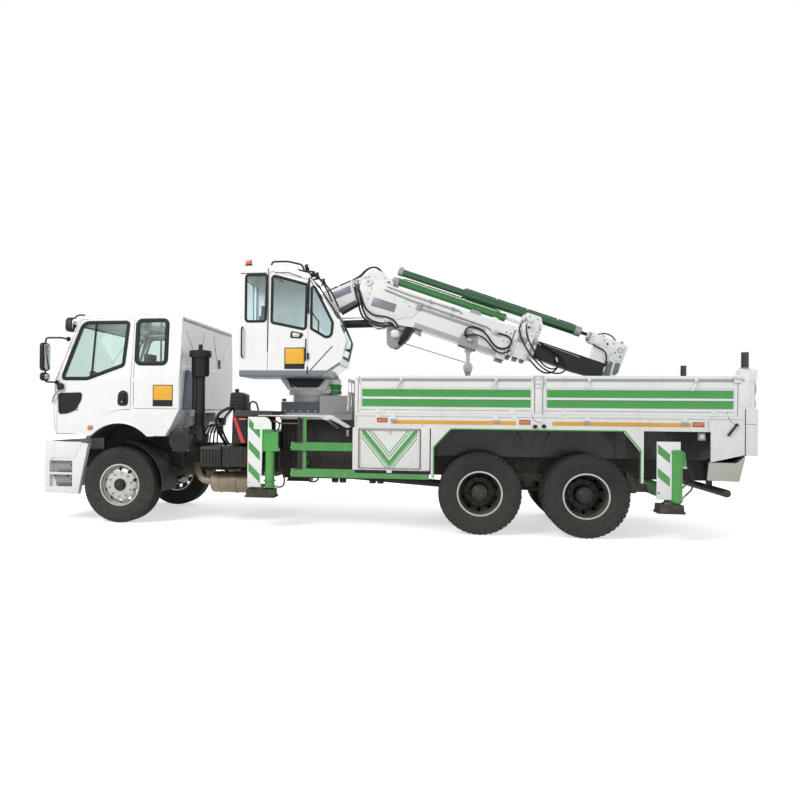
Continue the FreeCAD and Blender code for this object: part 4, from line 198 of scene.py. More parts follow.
def fill_grain(t, s):
    """Fine moulded or sprayed grain, as a height."""
    fine = t.noise(s["Scale"], 2.0, 0.5)
    broad = t.noise(t.math("MULTIPLY", s["Scale"], 0.12), 2.0, 0.5)
    return [t.math("ADD", t.math("MULTIPLY", fine, 0.6), t.math("MULTIPLY", broad, 0.4))]


def inside(t, value, low, high, soft=0.0015):
    rise = t.math("DIVIDE", t.math("SUBTRACT", value, low), soft, clamp=True)
    fall = t.math("DIVIDE", t.math("SUBTRACT", high, value), soft, clamp=True)
    return t.math("MULTIPLY", rise, fall)


def fill_band(t, s):
    """One painted rectangle, seen from the side."""
    xyz = t.xyz()
    across = inside(t, xyz["X"], s["Start"], s["End"])
    return [t.math("MULTIPLY", across, inside(t, xyz["Z"], s["Low"], s["High"]))]


def fill_zone(t, s):
    """Everything inside a block of space, the same on both sides of the truck."""
    xyz = t.xyz()
    away = t.math("ABSOLUTE", xyz["Y"])
    flat = t.math("MULTIPLY", inside(t, xyz["X"], s["X0"], s["X1"]), inside(t, away, s["Y0"], s["Y1"]))
    return [t.math("MULTIPLY", flat, inside(t, xyz["Z"], s["Z0"], s["Z1"]))]


def fill_along(t, s):
    """A painted part of the outer boom, between lengths from its elbow and heights above it."""
    xyz = t.xyz()
    dx, dz = t.math("SUBTRACT", xyz["X"], ELBOW.x), t.math("SUBTRACT", xyz["Z"], ELBOW.z)
    far = t.math("SUBTRACT", t.math("MULTIPLY", dx, COSINE), t.math("MULTIPLY", dz, SINE))
    up = t.math("ADD", t.math("MULTIPLY", dx, SINE), t.math("MULTIPLY", dz, COSINE))
    return [t.math("MULTIPLY", inside(t, far, s["Start"], s["End"]), inside(t, up, s["Low"], s["High"]))]


def fill_slants(t, s):
    """Slanting stripes inside a rectangle: they climb towards the front."""
    xyz = t.xyz()
    across = inside(t, xyz["X"], s["Start"], s["End"])
    up = inside(t, xyz["Z"], s["Low"], s["High"])
    run = t.math("ADD", xyz["Z"], t.math("MULTIPLY", xyz["X"], s["Slope"]))
    turn = t.math("FRACT", t.math("DIVIDE", t.math("ADD", run, s["Shift"]), s["Pitch"]))
    stripe = inside(t, turn, 0.0, s["Share"], 0.01)
    return [t.math("MULTIPLY", t.math("MULTIPLY", across, up), stripe)]


def fill_chevrons(t, s):
    """Nested V stripes about a middle line: one broad with two narrow ones each side."""
    xyz = t.xyz()
    away = t.math("ABSOLUTE", t.math("SUBTRACT", xyz["X"], s["Middle"]))
    level = t.math("SUBTRACT", xyz["Z"], t.math("MULTIPLY", away, s["Slope"]))
    mask = inside(t, level, t.math("SUBTRACT", s["Foot"], 0.055), t.math("ADD", s["Foot"], 0.03))
    for offset in (0.062, 0.112, -0.087, -0.137):
        low = t.math("ADD", s["Foot"], offset)
        mask = t.math("MAXIMUM", mask, inside(t, level, low, t.math("ADD", low, 0.022)))
    across = inside(t, away, -1.0, s["Half"])
    up = inside(t, xyz["Z"], s["Low"], s["High"])
    return [t.math("MULTIPLY", mask, t.math("MULTIPLY", across, up))]


def fill_tread_plate(t, s):
    """Raised lozenges of a chequered floor plate, as a height."""
    xyz = t.xyz()
    height = None
    for turn, shift in ((1.0, 0.0), (-1.0, 0.5)):
        a = t.math("ADD", t.math("MULTIPLY", xyz["X"], turn), xyz["Y"])
        b = t.math("SUBTRACT", t.math("MULTIPLY", xyz["X"], turn), xyz["Y"])
        u = t.math("FRACT", t.math("ADD", t.math("DIVIDE", a, s["Pitch"]), shift))
        v = t.math("FRACT", t.math("ADD", t.math("DIVIDE", b, s["Pitch"]), shift))
        far = t.math("ABSOLUTE", t.math("SUBTRACT", u, 0.5))
        near = t.math("ABSOLUTE", t.math("SUBTRACT", v, 0.5))
        lump = t.math("ADD", t.math("MULTIPLY", far, 2.4), t.math("MULTIPLY", near, 8.0))
        lump = t.spread(lump, 1.0, 0.7)
        height = lump if height is None else t.math("MAXIMUM", height, lump)
    return [height]


def fill_ribs(t, s):
    """Fine rings round a wheel's middle line, as on a tyre's wall, as a height."""
    place = t.add("ShaderNodeTexCoord").outputs["Object"]
    xyz = t.add("ShaderNodeSeparateXYZ", {0: place}).outputs
    dx = t.math("SUBTRACT", xyz["X"], s["Axle"])
    dz = t.math("SUBTRACT", xyz["Z"], s["Height"])
    radius = t.math("SQRT", t.math("ADD", t.math("MULTIPLY", dx, dx), t.math("MULTIPLY", dz, dz)))
    ring = t.math("SINE", t.math("MULTIPLY", radius, s["Rings"]))
    angle = t.math("ARCTAN2", dz, dx)
    teeth = t.math("SINE", t.math("MULTIPLY", angle, s["Teeth"]))
    outer = t.spread(radius, 0.455, 0.47)
    return [t.math("ADD", t.math("MULTIPLY", ring, 0.35), t.math("MULTIPLY", teeth, outer))]


GROUPS = {
    "soiling": shader_group("Soiling", {"Scale": 2.2, "Foot": 0.2, "Reach": 1.6}, ["Mask"], fill_soiling),
    "wear": shader_group("Worn edges", {"Width": 0.006, "Scale": 26.0}, ["Mask"], fill_wear),
    "streaks": shader_group("Rain streaks", {"Scale": 9.0}, ["Mask"], fill_streaks),
    "grain": shader_group("Grain", {"Scale": 400.0}, ["Height"], fill_grain),
    "band": shader_group(
        "Painted band", {"Start": 0.0, "End": 1.0, "Low": 0.0, "High": 1.0}, ["Mask"], fill_band
    ),
    "slants": shader_group(
        "Slanting stripes",
        {"Start": 0.0, "End": 1.0, "Low": 0.0, "High": 1.0, "Slope": 1.0, "Shift": 0.0, "Pitch": 0.3,
         "Share": 0.5},
        ["Mask"],
        fill_slants,
    ),
    "zone": shader_group(
        "Painted zone", {"X0": -9.0, "X1": 9.0, "Y0": -0.1, "Y1": 2.0, "Z0": 0.0, "Z1": 5.0}, ["Mask"], fill_zone
    ),
    "along": shader_group(
        "Painted boom part", {"Start": 0.0, "End": 9.0, "Low": -1.0, "High": 1.0}, ["Mask"], fill_along
    ),
    "chevrons": shader_group(
        "Chevrons",
        {"Middle": 0.0, "Half": 0.4, "Foot": 0.9, "Slope": 1.25, "Low": 0.0, "High": 1.0},
        ["Mask"],
        fill_chevrons,
    ),
    "tread plate": shader_group("Chequer plate", {"Pitch": 0.06}, ["Height"], fill_tread_plate),
    "ribs": shader_group(
        "Tyre wall ribs", {"Axle": 0.0, "Height": 0.54, "Rings": 420.0, "Teeth": 180.0}, ["Height"], fill_ribs
    ),
}

DUST = (0.30, 0.26, 0.20)
FINISHES = {}


def group_node(t, name, values):
    """A shared shader group with its values set, as its first output."""
    item = t.add("ShaderNodeGroup", node_tree=GROUPS[name])
    for key, value in values.items():
        t.feed(item.inputs[key], value)
    return item.outputs[0]


def empty_material(name):
    """A material with nothing in its node tree yet, and the helper that fills it."""
    material = bpy.data.materials.new(name.replace(" ", "_"))
    material.use_nodes = True
    material.node_tree.nodes.clear()
    return material, Tree(material.node_tree)


def finish(
    name,
    colour,
    roughness=0.4,
    metallic=0.0,
    coat=0.0,
    soil=0.3,
    reach=1.7,
    wear=0.0,
    worn_to=(0.06, 0.06, 0.06),
    streaks=0.0,
    vary=0.05,
    grain=0.0,
    grain_scale=420.0,
    marks=(),
    relief=None,
    dust=DUST,
    shine=0.5,
):
    """A painted, moulded or cast surface: colour marks, wear, dirt and grain over one base."""
    material, t = empty_material(name)
    base = rgba(colour)
    cloud = t.noise(1.7, 3.0)
    darker = rgba([c * (1.0 - vary * 2.0) for c in colour])
    shade = t.mix(t.spread(cloud, 0.3, 0.7), darker, base)
    for kind, mark_colour, values in marks:
        shade = t.mix(group_node(t, kind, values), shade, rgba(mark_colour))
    if streaks:
        mask = t.math("MULTIPLY", group_node(t, "streaks", {}), streaks)
        shade = t.mix(mask, shade, rgba([c * 0.55 for c in dust]))
    if wear:
        mask = t.math("MULTIPLY", group_node(t, "wear", {}), wear, clamp=True)
        shade = t.mix(mask, shade, rgba(worn_to))
    rough = t.spread(cloud, 0.2, 0.8, roughness * 0.88, roughness * 1.1)
    if soil:
        mask = t.math("MULTIPLY", group_node(t, "soiling", {"Reach": reach}), soil, clamp=True)
        shade = t.mix(mask, shade, rgba(dust))
        rough = t.math("ADD", t.math("MULTIPLY", mask, 0.35), rough)
    shader = t.add(
        "ShaderNodeBsdfPrincipled",
        {"Base Color": shade, "Roughness": rough, "Metallic": metallic, "Coat Weight": coat,
         "Coat Roughness": 0.08, "Specular IOR Level": shine},
    )
    height = None
    if grain:
        height = t.math("MULTIPLY", group_node(t, "grain", {"Scale": grain_scale}), grain)
    if relief:
        kind, strength, values = relief
        lumps = t.math("MULTIPLY", group_node(t, kind, values), strength)
        height = lumps if height is None else t.math("ADD", height, lumps)
    if height is not None:
        bump = t.add("ShaderNodeBump", {"Height": height, "Strength": 1.0, "Distance": 0.001})
        t.feed(shader.inputs["Normal"], bump.outputs[0])
    t.add("ShaderNodeOutputMaterial", {"Surface": shader.outputs[0]})
    FINISHES[name] = material
    return material


def clear_finish(name, tint, shadow, roughness=0.02, ior=1.45):
    """Glass or a clear lens. Lamps pass it, so what is behind it stays lit."""
    material, t = empty_material(name)
    cloud = t.noise(3.0, 3.0)
    shade = t.mix(t.spread(cloud, 0.3, 0.7), rgba([c * 0.96 for c in tint]), rgba(tint))
    shader = t.add(
        "ShaderNodeBsdfPrincipled",
        {
            "Base Color": shade,
            "Roughness": t.spread(cloud, 0.3, 0.8, roughness, roughness + 0.03),
            "IOR": ior,
            "Transmission Weight": 1.0,
        },
    )
    through = t.add("ShaderNodeBsdfTransparent", {"Color": rgba(shadow)})
    path = t.add("ShaderNodeLightPath")
    blend = t.add(
        "ShaderNodeMixShader",
        {0: path.outputs["Is Shadow Ray"], 1: shader.outputs[0], 2: through.outputs[0]},
    )
    t.add("ShaderNodeOutputMaterial", {"Surface": blend.outputs[0]})
    FINISHES[name] = material
    return material


WHITE = (0.80, 0.81, 0.80)
BED_WHITE = (0.76, 0.77, 0.75)
GREEN = (0.035, 0.275, 0.045)
YELLOW = (0.78, 0.40, 0.02)
BLACK = (0.007, 0.0075, 0.008)


def side_marks(node, rows):
    """Painted bands that run the length of a board, between heights above its foot."""
    low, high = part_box(node)
    marks = []
    for colour, start, end, foot, top in rows:
        values = {"Start": low.x + start, "End": high.x - end, "Low": low.z + foot, "High": low.z + top}
        marks.append(("band", colour, values))
    return marks


BOARD_ROWS = [
    (GREEN, 0.05, 0.045, 0.090, 0.192),
    (GREEN, 0.05, 0.045, 0.222, 0.326),
]
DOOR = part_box("toolbox_door")
STRIPE_SHARE = 0.4


def plate_marks(start, ends, heights, top, pitch, slope):
    """A stabilizer's white end plate and the green stripes that fall across it."""
    face = {"X0": at(start), "X1": at(ends[1]), "Y0": 1.2738, "Y1": 1.35, "Z0": heights[0] - 0.1,
            "Z1": heights[1] + 0.1}
    stripes = {
        "Start": at(start + 0.012),
        "End": at(ends[0]),
        "Low": heights[0],
        "High": heights[1],
        "Slope": slope,
        "Shift": STRIPE_SHARE * pitch - top - slope * at(start),
        "Pitch": pitch,
        "Share": STRIPE_SHARE,
    }
    return [("zone", WHITE, face), ("slants", GREEN, stripes)]


finish("white paint", WHITE, 0.28, coat=0.6, soil=0.34, reach=1.5, streaks=0.10, vary=0.012)
finish("crane white", WHITE, 0.34, coat=0.35, soil=0.12, reach=2.0, wear=0.5, streaks=0.14, vary=0.02)
finish("base white", (0.74, 0.74, 0.72), 0.42, coat=0.2, soil=0.2, reach=2.2, wear=0.5, streaks=0.2, vary=0.03,
       marks=[("zone", BLACK, {"Z0": 0.0, "Z1": 1.496})])
finish("guard green", GREEN, 0.36, coat=0.3, soil=0.25, reach=1.5, wear=0.4, vary=0.05,
       marks=[("zone", BLACK, {"X0": at(2.56), "X1": at(2.68), "Z0": 0.815, "Z1": 1.068}),
              ("zone", BLACK, {"X0": at(2.56), "X1": at(2.68), "Z0": 1.176, "Z1": 1.6})])
finish("bed white", BED_WHITE, 0.4, coat=0.25, soil=0.34, reach=2.0, wear=0.45, streaks=0.22, vary=0.02)
for place in ("front", "rear"):
    finish(f"{place} board paint", BED_WHITE, 0.4, coat=0.25, soil=0.3, reach=2.1, wear=0.4, streaks=0.18,
           vary=0.02, marks=side_marks(f"{place}_left_board", BOARD_ROWS))
finish("toolbox paint", BED_WHITE, 0.42, coat=0.2, soil=0.4, reach=1.8, wear=0.4, streaks=0.2, vary=0.02,
       marks=[("chevrons", GREEN, {
           "Middle": (DOOR[0].x + DOOR[1].x) / 2, "Half": 0.372, "Foot": DOOR[0].z + 0.085,
           "Slope": 1.22, "Low": DOOR[0].z + 0.012, "High": DOOR[1].z - 0.012})])
finish("green paint", GREEN, 0.36, coat=0.3, soil=0.25, reach=1.5, wear=0.5, streaks=0.12, vary=0.05)
UPPER_PLATE = {"X0": at(2.0), "X1": at(2.30), "Y0": 1.2738, "Y1": 1.35, "Z0": 1.362, "Z1": 1.6}
finish("front stabilizer paint", (0.04, 0.33, 0.045), 0.32, coat=0.4, soil=0.28, reach=1.3, wear=0.5, streaks=0.15,
       vary=0.05, marks=plate_marks(1.917, (2.092, 2.120), (0.60, 1.518), 1.525, 0.302,
                                    1.0) + [("zone", WHITE, UPPER_PLATE)])
finish("rear stabilizer paint", (0.04, 0.33, 0.045), 0.32, coat=0.4, soil=0.32, reach=1.3, wear=0.5, streaks=0.15,
       vary=0.05, marks=plate_marks(7.238, (7.398, 7.530), (0.612, 1.255), 1.252, 0.295, 0.86))
UNDER = {"X1": TAIL - 0.02, "Y1": 1.2325, "Z0": 0.0, "Z1": 1.5598}
STAKES = {"Z0": 2.1934, "Z1": 2.6}
FLOOR = {"X0": DECK_FRONT, "Y1": 1.192, "Z0": 1.598, "Z1": 1.6055}
finish("platform paint", BED_WHITE, 0.4, coat=0.25, soil=0.34, reach=2.0, wear=0.45, streaks=0.22, vary=0.02,
       marks=[("zone", BLACK, UNDER), ("zone", BLACK, STAKES), ("zone", (0.16, 0.165, 0.17), FLOOR)],
       relief=("tread plate", 1.6, {"Pitch": 0.075}))
# The grey band low on the outer boom's sides is painted shade: it stands for the lower plate bending away from the
# light, which is not modelled.
finish("outer boom paint", WHITE, 0.34, coat=0.35, soil=0.12, reach=2.0, wear=0.5, streaks=0.14, vary=0.02,
       marks=[("along", (0.40, 0.40, 0.39), {"Start": 0.86, "End": 2.15, "Low": -0.43, "High": -0.345})])
finish("boom end paint", BLACK, 0.36, coat=0.1, shine=0.3, soil=0.06, wear=0.45, worn_to=(0.2, 0.2, 0.2),
       vary=0.08, marks=[("along", WHITE, {"Start": 3.255, "End": 4.2, "Low": -0.011, "High": 0.6}),
              ("along", WHITE, {"Start": 3.642, "End": 4.2, "Low": -0.6, "High": 0.1})])
finish("first cylinder green", (0.020, 0.165, 0.028), 0.24, coat=0.4, soil=0.05, wear=0.3, vary=0.06)
finish("second cylinder green", (0.008, 0.085, 0.020), 0.22, coat=0.4, soil=0.05, wear=0.3, vary=0.06)
finish("lid grey", (0.045, 0.048, 0.054), 0.5, shine=0.3, soil=0.2, reach=1.8, vary=0.08, grain=0.2,
       grain_scale=500)
finish("stabilizer green", (0.04, 0.30, 0.04), 0.32, coat=0.3, soil=0.15, reach=1.2, wear=0.4, vary=0.05)
# Painted shade: this grey stands for the rear skirt's chamfered underside turned from the light.
finish("rear skirt grey", (0.44, 0.435, 0.39), 0.42, coat=0.2, soil=0.35, reach=1.5, wear=0.3, vary=0.04)
finish("cylinder black", (0.010, 0.0105, 0.012), 0.28, coat=0.2, shine=0.3, soil=0.1, wear=0.4,
       worn_to=(0.2, 0.2, 0.2), vary=0.08)
finish("name plate grey", (0.22, 0.225, 0.26), 0.35, metallic=0.3, soil=0.1, vary=0.06)
finish("shade grey", (0.34, 0.345, 0.35), 0.42, coat=0.2, soil=0.25, reach=2.2, wear=0.3, vary=0.05)
finish("boom green", (0.03, 0.24, 0.045), 0.3, coat=0.5, soil=0.05, wear=0.35, vary=0.05)
finish("chassis black", (0.007, 0.0085, 0.010), 0.55, shine=0.25, soil=0.3, reach=1.9, wear=0.3,
       worn_to=(0.12, 0.10, 0.08), vary=0.15, grain=0.25, grain_scale=160)
finish("cast iron", (0.018, 0.018, 0.018), 0.62, shine=0.3, soil=0.5, reach=1.7, wear=0.2,
       worn_to=(0.14, 0.08, 0.05), vary=0.2, grain=0.5, grain_scale=90)
finish("black plastic", (0.010, 0.0105, 0.011), 0.46, shine=0.3, soil=0.14, reach=1.6, vary=0.08, grain=0.18,
       grain_scale=700)
finish("guard plastic", (0.011, 0.012, 0.014), 0.6, shine=0.25, soil=0.28, reach=1.5, vary=0.1, grain=0.4,
       grain_scale=420)
finish("grey plastic", (0.33, 0.34, 0.34), 0.5, soil=0.35, reach=1.2, vary=0.06, grain=0.25, grain_scale=500)
finish("grille black", (0.006, 0.006, 0.007), 0.4, shine=0.3, soil=0.2, reach=1.5, vary=0.08, grain=0.1,
       grain_scale=500)
finish("seal rubber", (0.007, 0.007, 0.008), 0.55, shine=0.25, soil=0.05, vary=0.1, grain=0.1, grain_scale=600)
finish("seam shadow", (0.05, 0.052, 0.055), 0.8, soil=0.1, vary=0.05)
finish("blue grey steel", (0.15, 0.175, 0.205), 0.5, coat=0.15, soil=0.3, reach=2.2, wear=0.5, streaks=0.3,
       worn_to=(0.3, 0.3, 0.3), vary=0.08)
finish("slate plastic", (0.085, 0.115, 0.155), 0.5, soil=0.1, vary=0.08, grain=0.2, grain_scale=500)
finish("hose rubber", (0.007, 0.007, 0.008), 0.48, shine=0.3, soil=0.06, vary=0.12, grain=0.25, grain_scale=900)
finish("steel", (0.42, 0.42, 0.41), 0.34, metallic=1.0, soil=0.15, reach=1.6, wear=0.1, vary=0.1, grain=0.1,
       grain_scale=300)
finish("zinc", (0.50, 0.49, 0.45), 0.42, metallic=0.9, soil=0.2, reach=1.6, vary=0.1, grain=0.15, grain_scale=260)
finish("chrome rod", (0.62, 0.62, 0.62), 0.10, metallic=1.0, soil=0.0, vary=0.03)
finish("mirror glass", (0.55, 0.58, 0.60), 0.04, metallic=1.0, soil=0.0, vary=0.02)
finish("bright rim", (0.52, 0.52, 0.50), 0.33, metallic=0.75, soil=0.35, reach=1.3, wear=0.15, vary=0.06,
       grain=0.2, grain_scale=220)
finish("dark rim", (0.009, 0.010, 0.012), 0.42, shine=0.3, soil=0.2, reach=1.3, wear=0.25,
       worn_to=(0.25, 0.24, 0.22), vary=0.1, grain=0.15, grain_scale=260)
finish("tan steel", (0.42, 0.33, 0.24), 0.5, metallic=0.6, soil=0.55, reach=1.2, vary=0.25, grain=0.3,
       grain_scale=120)
finish("yellow plate", YELLOW, 0.42, coat=0.2, soil=0.12, vary=0.05, wear=0.3)
finish("yellow tape", (0.72, 0.36, 0.03), 0.36, coat=0.3, soil=0.3, reach=2.0, vary=0.08, grain=0.2,
       grain_scale=220)
finish("red reflector", (0.55, 0.012, 0.012), 0.25, coat=0.5, soil=0.2, vary=0.1, grain=0.8, grain_scale=260)
finish("amber lens", (0.80, 0.16, 0.01), 0.18, coat=0.6, soil=0.1, vary=0.1, grain=0.8, grain_scale=240)
finish("red lens", (0.55, 0.01, 0.01), 0.18, coat=0.6, soil=0.1, vary=0.1, grain=0.8, grain_scale=240)
finish("beacon orange", (0.85, 0.17, 0.01), 0.16, coat=0.7, soil=0.0, vary=0.12, grain=0.5, grain_scale=160)
finish("white lens", (0.72, 0.73, 0.74), 0.2, coat=0.6, soil=0.1, vary=0.05, grain=0.6, grain_scale=240)
finish("cab trim grey", (0.10, 0.105, 0.115), 0.6, soil=0.0, vary=0.08, grain=0.35, grain_scale=520)
finish("seat cloth", (0.085, 0.095, 0.115), 0.85, soil=0.0, vary=0.15, grain=0.9, grain_scale=900)
finish("brass", (0.55, 0.38, 0.14), 0.35, metallic=1.0, soil=0.05, vary=0.08)
finish("wire rope", (0.26, 0.26, 0.25), 0.45, metallic=0.9, soil=0.0, vary=0.15, grain=1.0, grain_scale=700)
for end, node in (("front", "front_left_wheel"), ("first", "first_rear_left_wheel"),
                  ("last", "last_rear_left_wheel")):
    hub = middle(node)
    finish(f"{end} tyre", (0.030, 0.030, 0.029), 0.72, shine=0.2, soil=0.22, reach=1.3, vary=0.2, grain=0.35,
           grain_scale=160, dust=(0.17, 0.155, 0.13), relief=("ribs", 0.7, {"Axle": hub.x, "Height": hub.z}))
clear_finish("window glass", (0.80, 0.91, 0.88), (0.86, 0.93, 0.91))
clear_finish("crane glass", (0.83, 0.93, 0.95), (0.88, 0.95, 0.96))
clear_finish("lamp glass", (0.95, 0.96, 0.97), (0.95, 0.96, 0.97), roughness=0.03)


# ---------------------------------------------------------------- mesh making

def grid_points(view, a, b, along):
    """A point of a view's outline, carried to a place along the axis that the view looks down."""
    return {"side": (a, along, b), "front": (along, a, b), "plan": (a, b, along)}[view]


def rounded(points, steps=4):
    """The outline with an arc at each corner that gives a radius."""
    result = []
    count = len(points)
    for i, point in enumerate(points):
        here = Vector(point[:2])
        radius = point[2] if len(point) > 2 else 0.0
        if not radius:
            result.append(here)
            continue
        before = Vector(points[i - 1][:2]) - here
        after = Vector(points[(i + 1) % count][:2]) - here
        half = before.angle(after) / 2
        if half < 0.02 or half > 1.555:
            result.append(here)
            continue
        reach = min(radius / math.tan(half), before.length * 0.49, after.length * 0.49)
        true_radius = reach * math.tan(half)
        start, end = here + before.normalized() * reach, here + after.normalized() * reach
        centre = here + (before.normalized() + after.normalized()).normalized() * (true_radius / math.sin(half))
        a, b = start - centre, end - centre
        for step in range(steps + 1):
            share = step / steps
            arm = a.lerp(b, share)
            result.append(centre + arm.normalized() * true_radius if arm.length > 1e-9 else here)
    return result


class Piece:
    """One mesh gathered from many small solids, each in its own finish. It rides on one body."""

    def __init__(self, name, body, slot="cab_white"):
        self.name, self.body, self.slot_name = name, body, slot
        self.vertices, self.faces, self.looks, self.materials = [], [], [], []

    def look(self, finish_name):
        if finish_name not in self.materials:
            self.materials.append(finish_name)
        return self.materials.index(finish_name)

    def take(self, vertices, faces, finish_name):
        """Add faces in one finish, or in one for each face."""
        start = len(self.vertices)
        self.vertices.extend([tuple(v) for v in vertices])
        for i, face in enumerate(faces):
            self.faces.append([start + v for v in face])
            self.looks.append(self.look(finish_name if isinstance(finish_name, str) else finish_name[i]))

    def take_bmesh(self, shape, finish_name):
        bmesh.ops.recalc_face_normals(shape, faces=shape.faces)
        shape.verts.index_update()
        self.take([v.co for v in shape.verts], [[v.index for v in f.verts] for f in shape.faces], finish_name)
        shape.free()

    def take_mesh(self, mesh, finish_name=None):
        names = [m.name.replace("_", " ") for m in mesh.materials if m]
        looks = [finish_name or names[p.material_index] for p in mesh.polygons]
        self.take([v.co for v in mesh.vertices], [list(p.vertices) for p in mesh.polygons], looks)

    def prism(self, view, points, start, end, finish_name, bevel=0.0, steps=4, cuts=2):
        """An outline drawn in one view and carried from start to end, with its edges eased."""
        outline = rounded(points, steps)
        shape = bmesh.new()
        ends = []
        for along in (start, end):
            ends.append([shape.verts.new(grid_points(view, p[0], p[1], along)) for p in outline])
        count = len(outline)
        caps = [shape.faces.new(ends[0]), shape.faces.new(ends[1][::-1])]
        for i in range(count):
            shape.faces.new((ends[0][i], ends[1][i], ends[1][(i + 1) % count], ends[0][(i + 1) % count]))
        bmesh.ops.recalc_face_normals(shape, faces=shape.faces)
        if bevel:
            rims = {e for cap in caps for e in cap.edges}
            sharp = [e for e in shape.edges if e not in rims and e.calc_face_angle(0) > 0.6]
            bmesh.ops.bevel(
                shape, geom=list(rims) + sharp, offset=bevel, segments=cuts, profile=0.6, affect="EDGES",
                clamp_overlap=True,
            )
        self.take_bmesh(shape, finish_name)

    def box(self, x, y, z, finish_name, bevel=0.004):
        corners = oblong((x[0], x[1]), (z[0], z[1]))
        self.prism("side", corners, y[0], y[1], finish_name, bevel)

    def turned(self, profile, centre, axis, finish_name, steps=32):
        """A profile of (along, radius) points turned about an axis through the centre."""
        shape = bmesh.new()
        turn = {"x": Matrix.Rotation(math.pi / 2, 3, "Y"), "y": Matrix.Rotation(-math.pi / 2, 3, "X"),
                "z": Matrix()}
        if isinstance(axis, str):
            place = turn[axis].to_3x3()
        else:
            place = Vector((0, 0, 1)).rotation_difference(axis).to_matrix()
        rings = []
        for along, radius in profile:
            if radius < 1e-6:
                rings.append([shape.verts.new(place @ Vector((0, 0, along)) + Vector(centre))])
                continue
            ring = []
            for step in range(steps):
                angle = 2 * math.pi * step / steps
                arm = Vector((radius * math.cos(angle), radius * math.sin(angle), along))
                ring.append(shape.verts.new(place @ arm + Vector(centre)))
            rings.append(ring)
        for low, high in zip(rings, rings[1:]):
            if len(low) == len(high) == 1:
                continue
            for i in range(steps):
                j = (i + 1) % steps
                corners = [low[i % len(low)], low[j % len(low)], high[j % len(high)], high[i % len(high)]]
                unique = list(dict.fromkeys(corners))
                shape.faces.new(unique)
        for ring, flip in ((rings[0], False), (rings[-1], True)):
            if len(ring) > 1 and (ring[0].co - ring[len(ring) // 2].co).length > 1e-6 and profile[0] != profile[-1]:
                shape.faces.new(ring if flip else ring[::-1])
        if profile[0] == profile[-1]:
            bmesh.ops.remove_doubles(shape, verts=shape.verts, dist=1e-6)
        self.take_bmesh(shape, finish_name)

    def rod(self, a, b, radius, finish_name, steps=20, ease=0.0):
        """A round bar from a to b, with its ends eased."""
        a, b = Vector(a), Vector(b)
        length = (b - a).length
        ease = min(ease, length * 0.4, radius * 0.8)
        profile = [(0, radius), (length, radius)]
        if ease:
            profile = [(0, radius - ease), (ease, radius), (length - ease, radius), (length, radius - ease)]
        self.turned(profile, a, (b - a).normalized(), finish_name, steps)

    def tube(self, points, radius, finish_name, steps=10, corner=0.06, closed=False):
        """A bent pipe through the points, with a round bend at each."""
        path = bent(points, corner, closed)
        self.sweep(path, [(radius * math.cos(a), radius * math.sin(a)) for a in
                          [2 * math.pi * i / steps for i in range(steps)]], finish_name, closed)

    def sweep(self, path, section, finish_name, closed=False, ups=None):
        """A section carried along a path. ups gives the section's second axis at each point."""
        count = len(path)
        rows = []
        up = None
        for i, point in enumerate(path):
            before = path[i - 1] if i or closed else point
            after = path[(i + 1) % count] if i + 1 < count or closed else point
            forward = (after - before).normalized()
            if ups is not None:
                up = ups[i]
            elif up is None:
                up = Vector((0, 0, 1)) if abs(forward.z) < 0.9 else Vector((1, 0, 0))
            across = forward.cross(up).normalized()
            up = across.cross(forward).normalized()
            rows.append([point + across * a + up * b for a, b in section])
        shape = bmesh.new()
        rings = [[shape.verts.new(p) for p in row] for row in rows]
        pairs = list(zip(rings, rings[1:])) + ([(rings[-1], rings[0])] if closed else [])
        sides = len(section)
        for low, high in pairs:
            for i in range(sides):
                shape.faces.new((low[i], low[(i + 1) % sides], high[(i + 1) % sides], high[i]))
        if not closed:
            shape.faces.new(rings[0][::-1])
            shape.faces.new(rings[-1])
        self.take_bmesh(shape, finish_name)

    def mirrored(self):
        """Everything so far, again on the other side of the truck."""
        start = len(self.vertices)
        self.vertices.extend([(x, -y, z) for x, y, z in self.vertices[:start]])
        for face, look in list(zip(self.faces, self.looks)):
            self.faces.append([start + v for v in face[::-1]])
            self.looks.append(look)
        return self

    def flipped(self, name, body):
        """The same piece for the other side, on its own body."""
        other = Piece(name, body, self.slot_name)
        other.vertices = [(x, -y, z) for x, y, z in self.vertices]
        other.faces = [face[::-1] for face in self.faces]
        other.looks, other.materials = list(self.looks), list(self.materials)
        return other

    def done(self, *replaced, smooth=38, crosses=None):
        mesh = bpy.data.meshes.new(self.name)
        mesh.from_pydata(self.vertices, [], self.faces)
        for name in self.materials:
            mesh.materials.append(FINISHES[name])
        mesh.polygons.foreach_set("material_index", self.looks)
        mesh.shade_smooth()
        mesh.set_sharp_from_angle(angle=math.radians(smooth))
        mesh.update()
        item = bpy.data.objects.new(self.name, mesh)
        scene.collection.objects.link(item)
        if crosses:
            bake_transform(item)
        else:
            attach(item, self.body)
        if replaced:
            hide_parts(*replaced)
        return item


def bent(points, corner, closed=False):
    """A path with each inner corner eased by an arc-like bend."""
    points = [Vector(p) for p in points]
    path = []
    count = len(points)
    for i, here in enumerate(points):
        if not closed and i in (0, count - 1):
            path.append(here)
            continue
        before, after = points[i - 1] - here, points[(i + 1) % count] - here
        reach = min(corner, before.length * 0.45, after.length * 0.45)
        a, b = here + before.normalized() * reach, here + after.normalized() * reach
        for step in range(7):
            t = step / 6
            path.append(a.lerp(here, t).lerp(here.lerp(b, t), t))
    return path


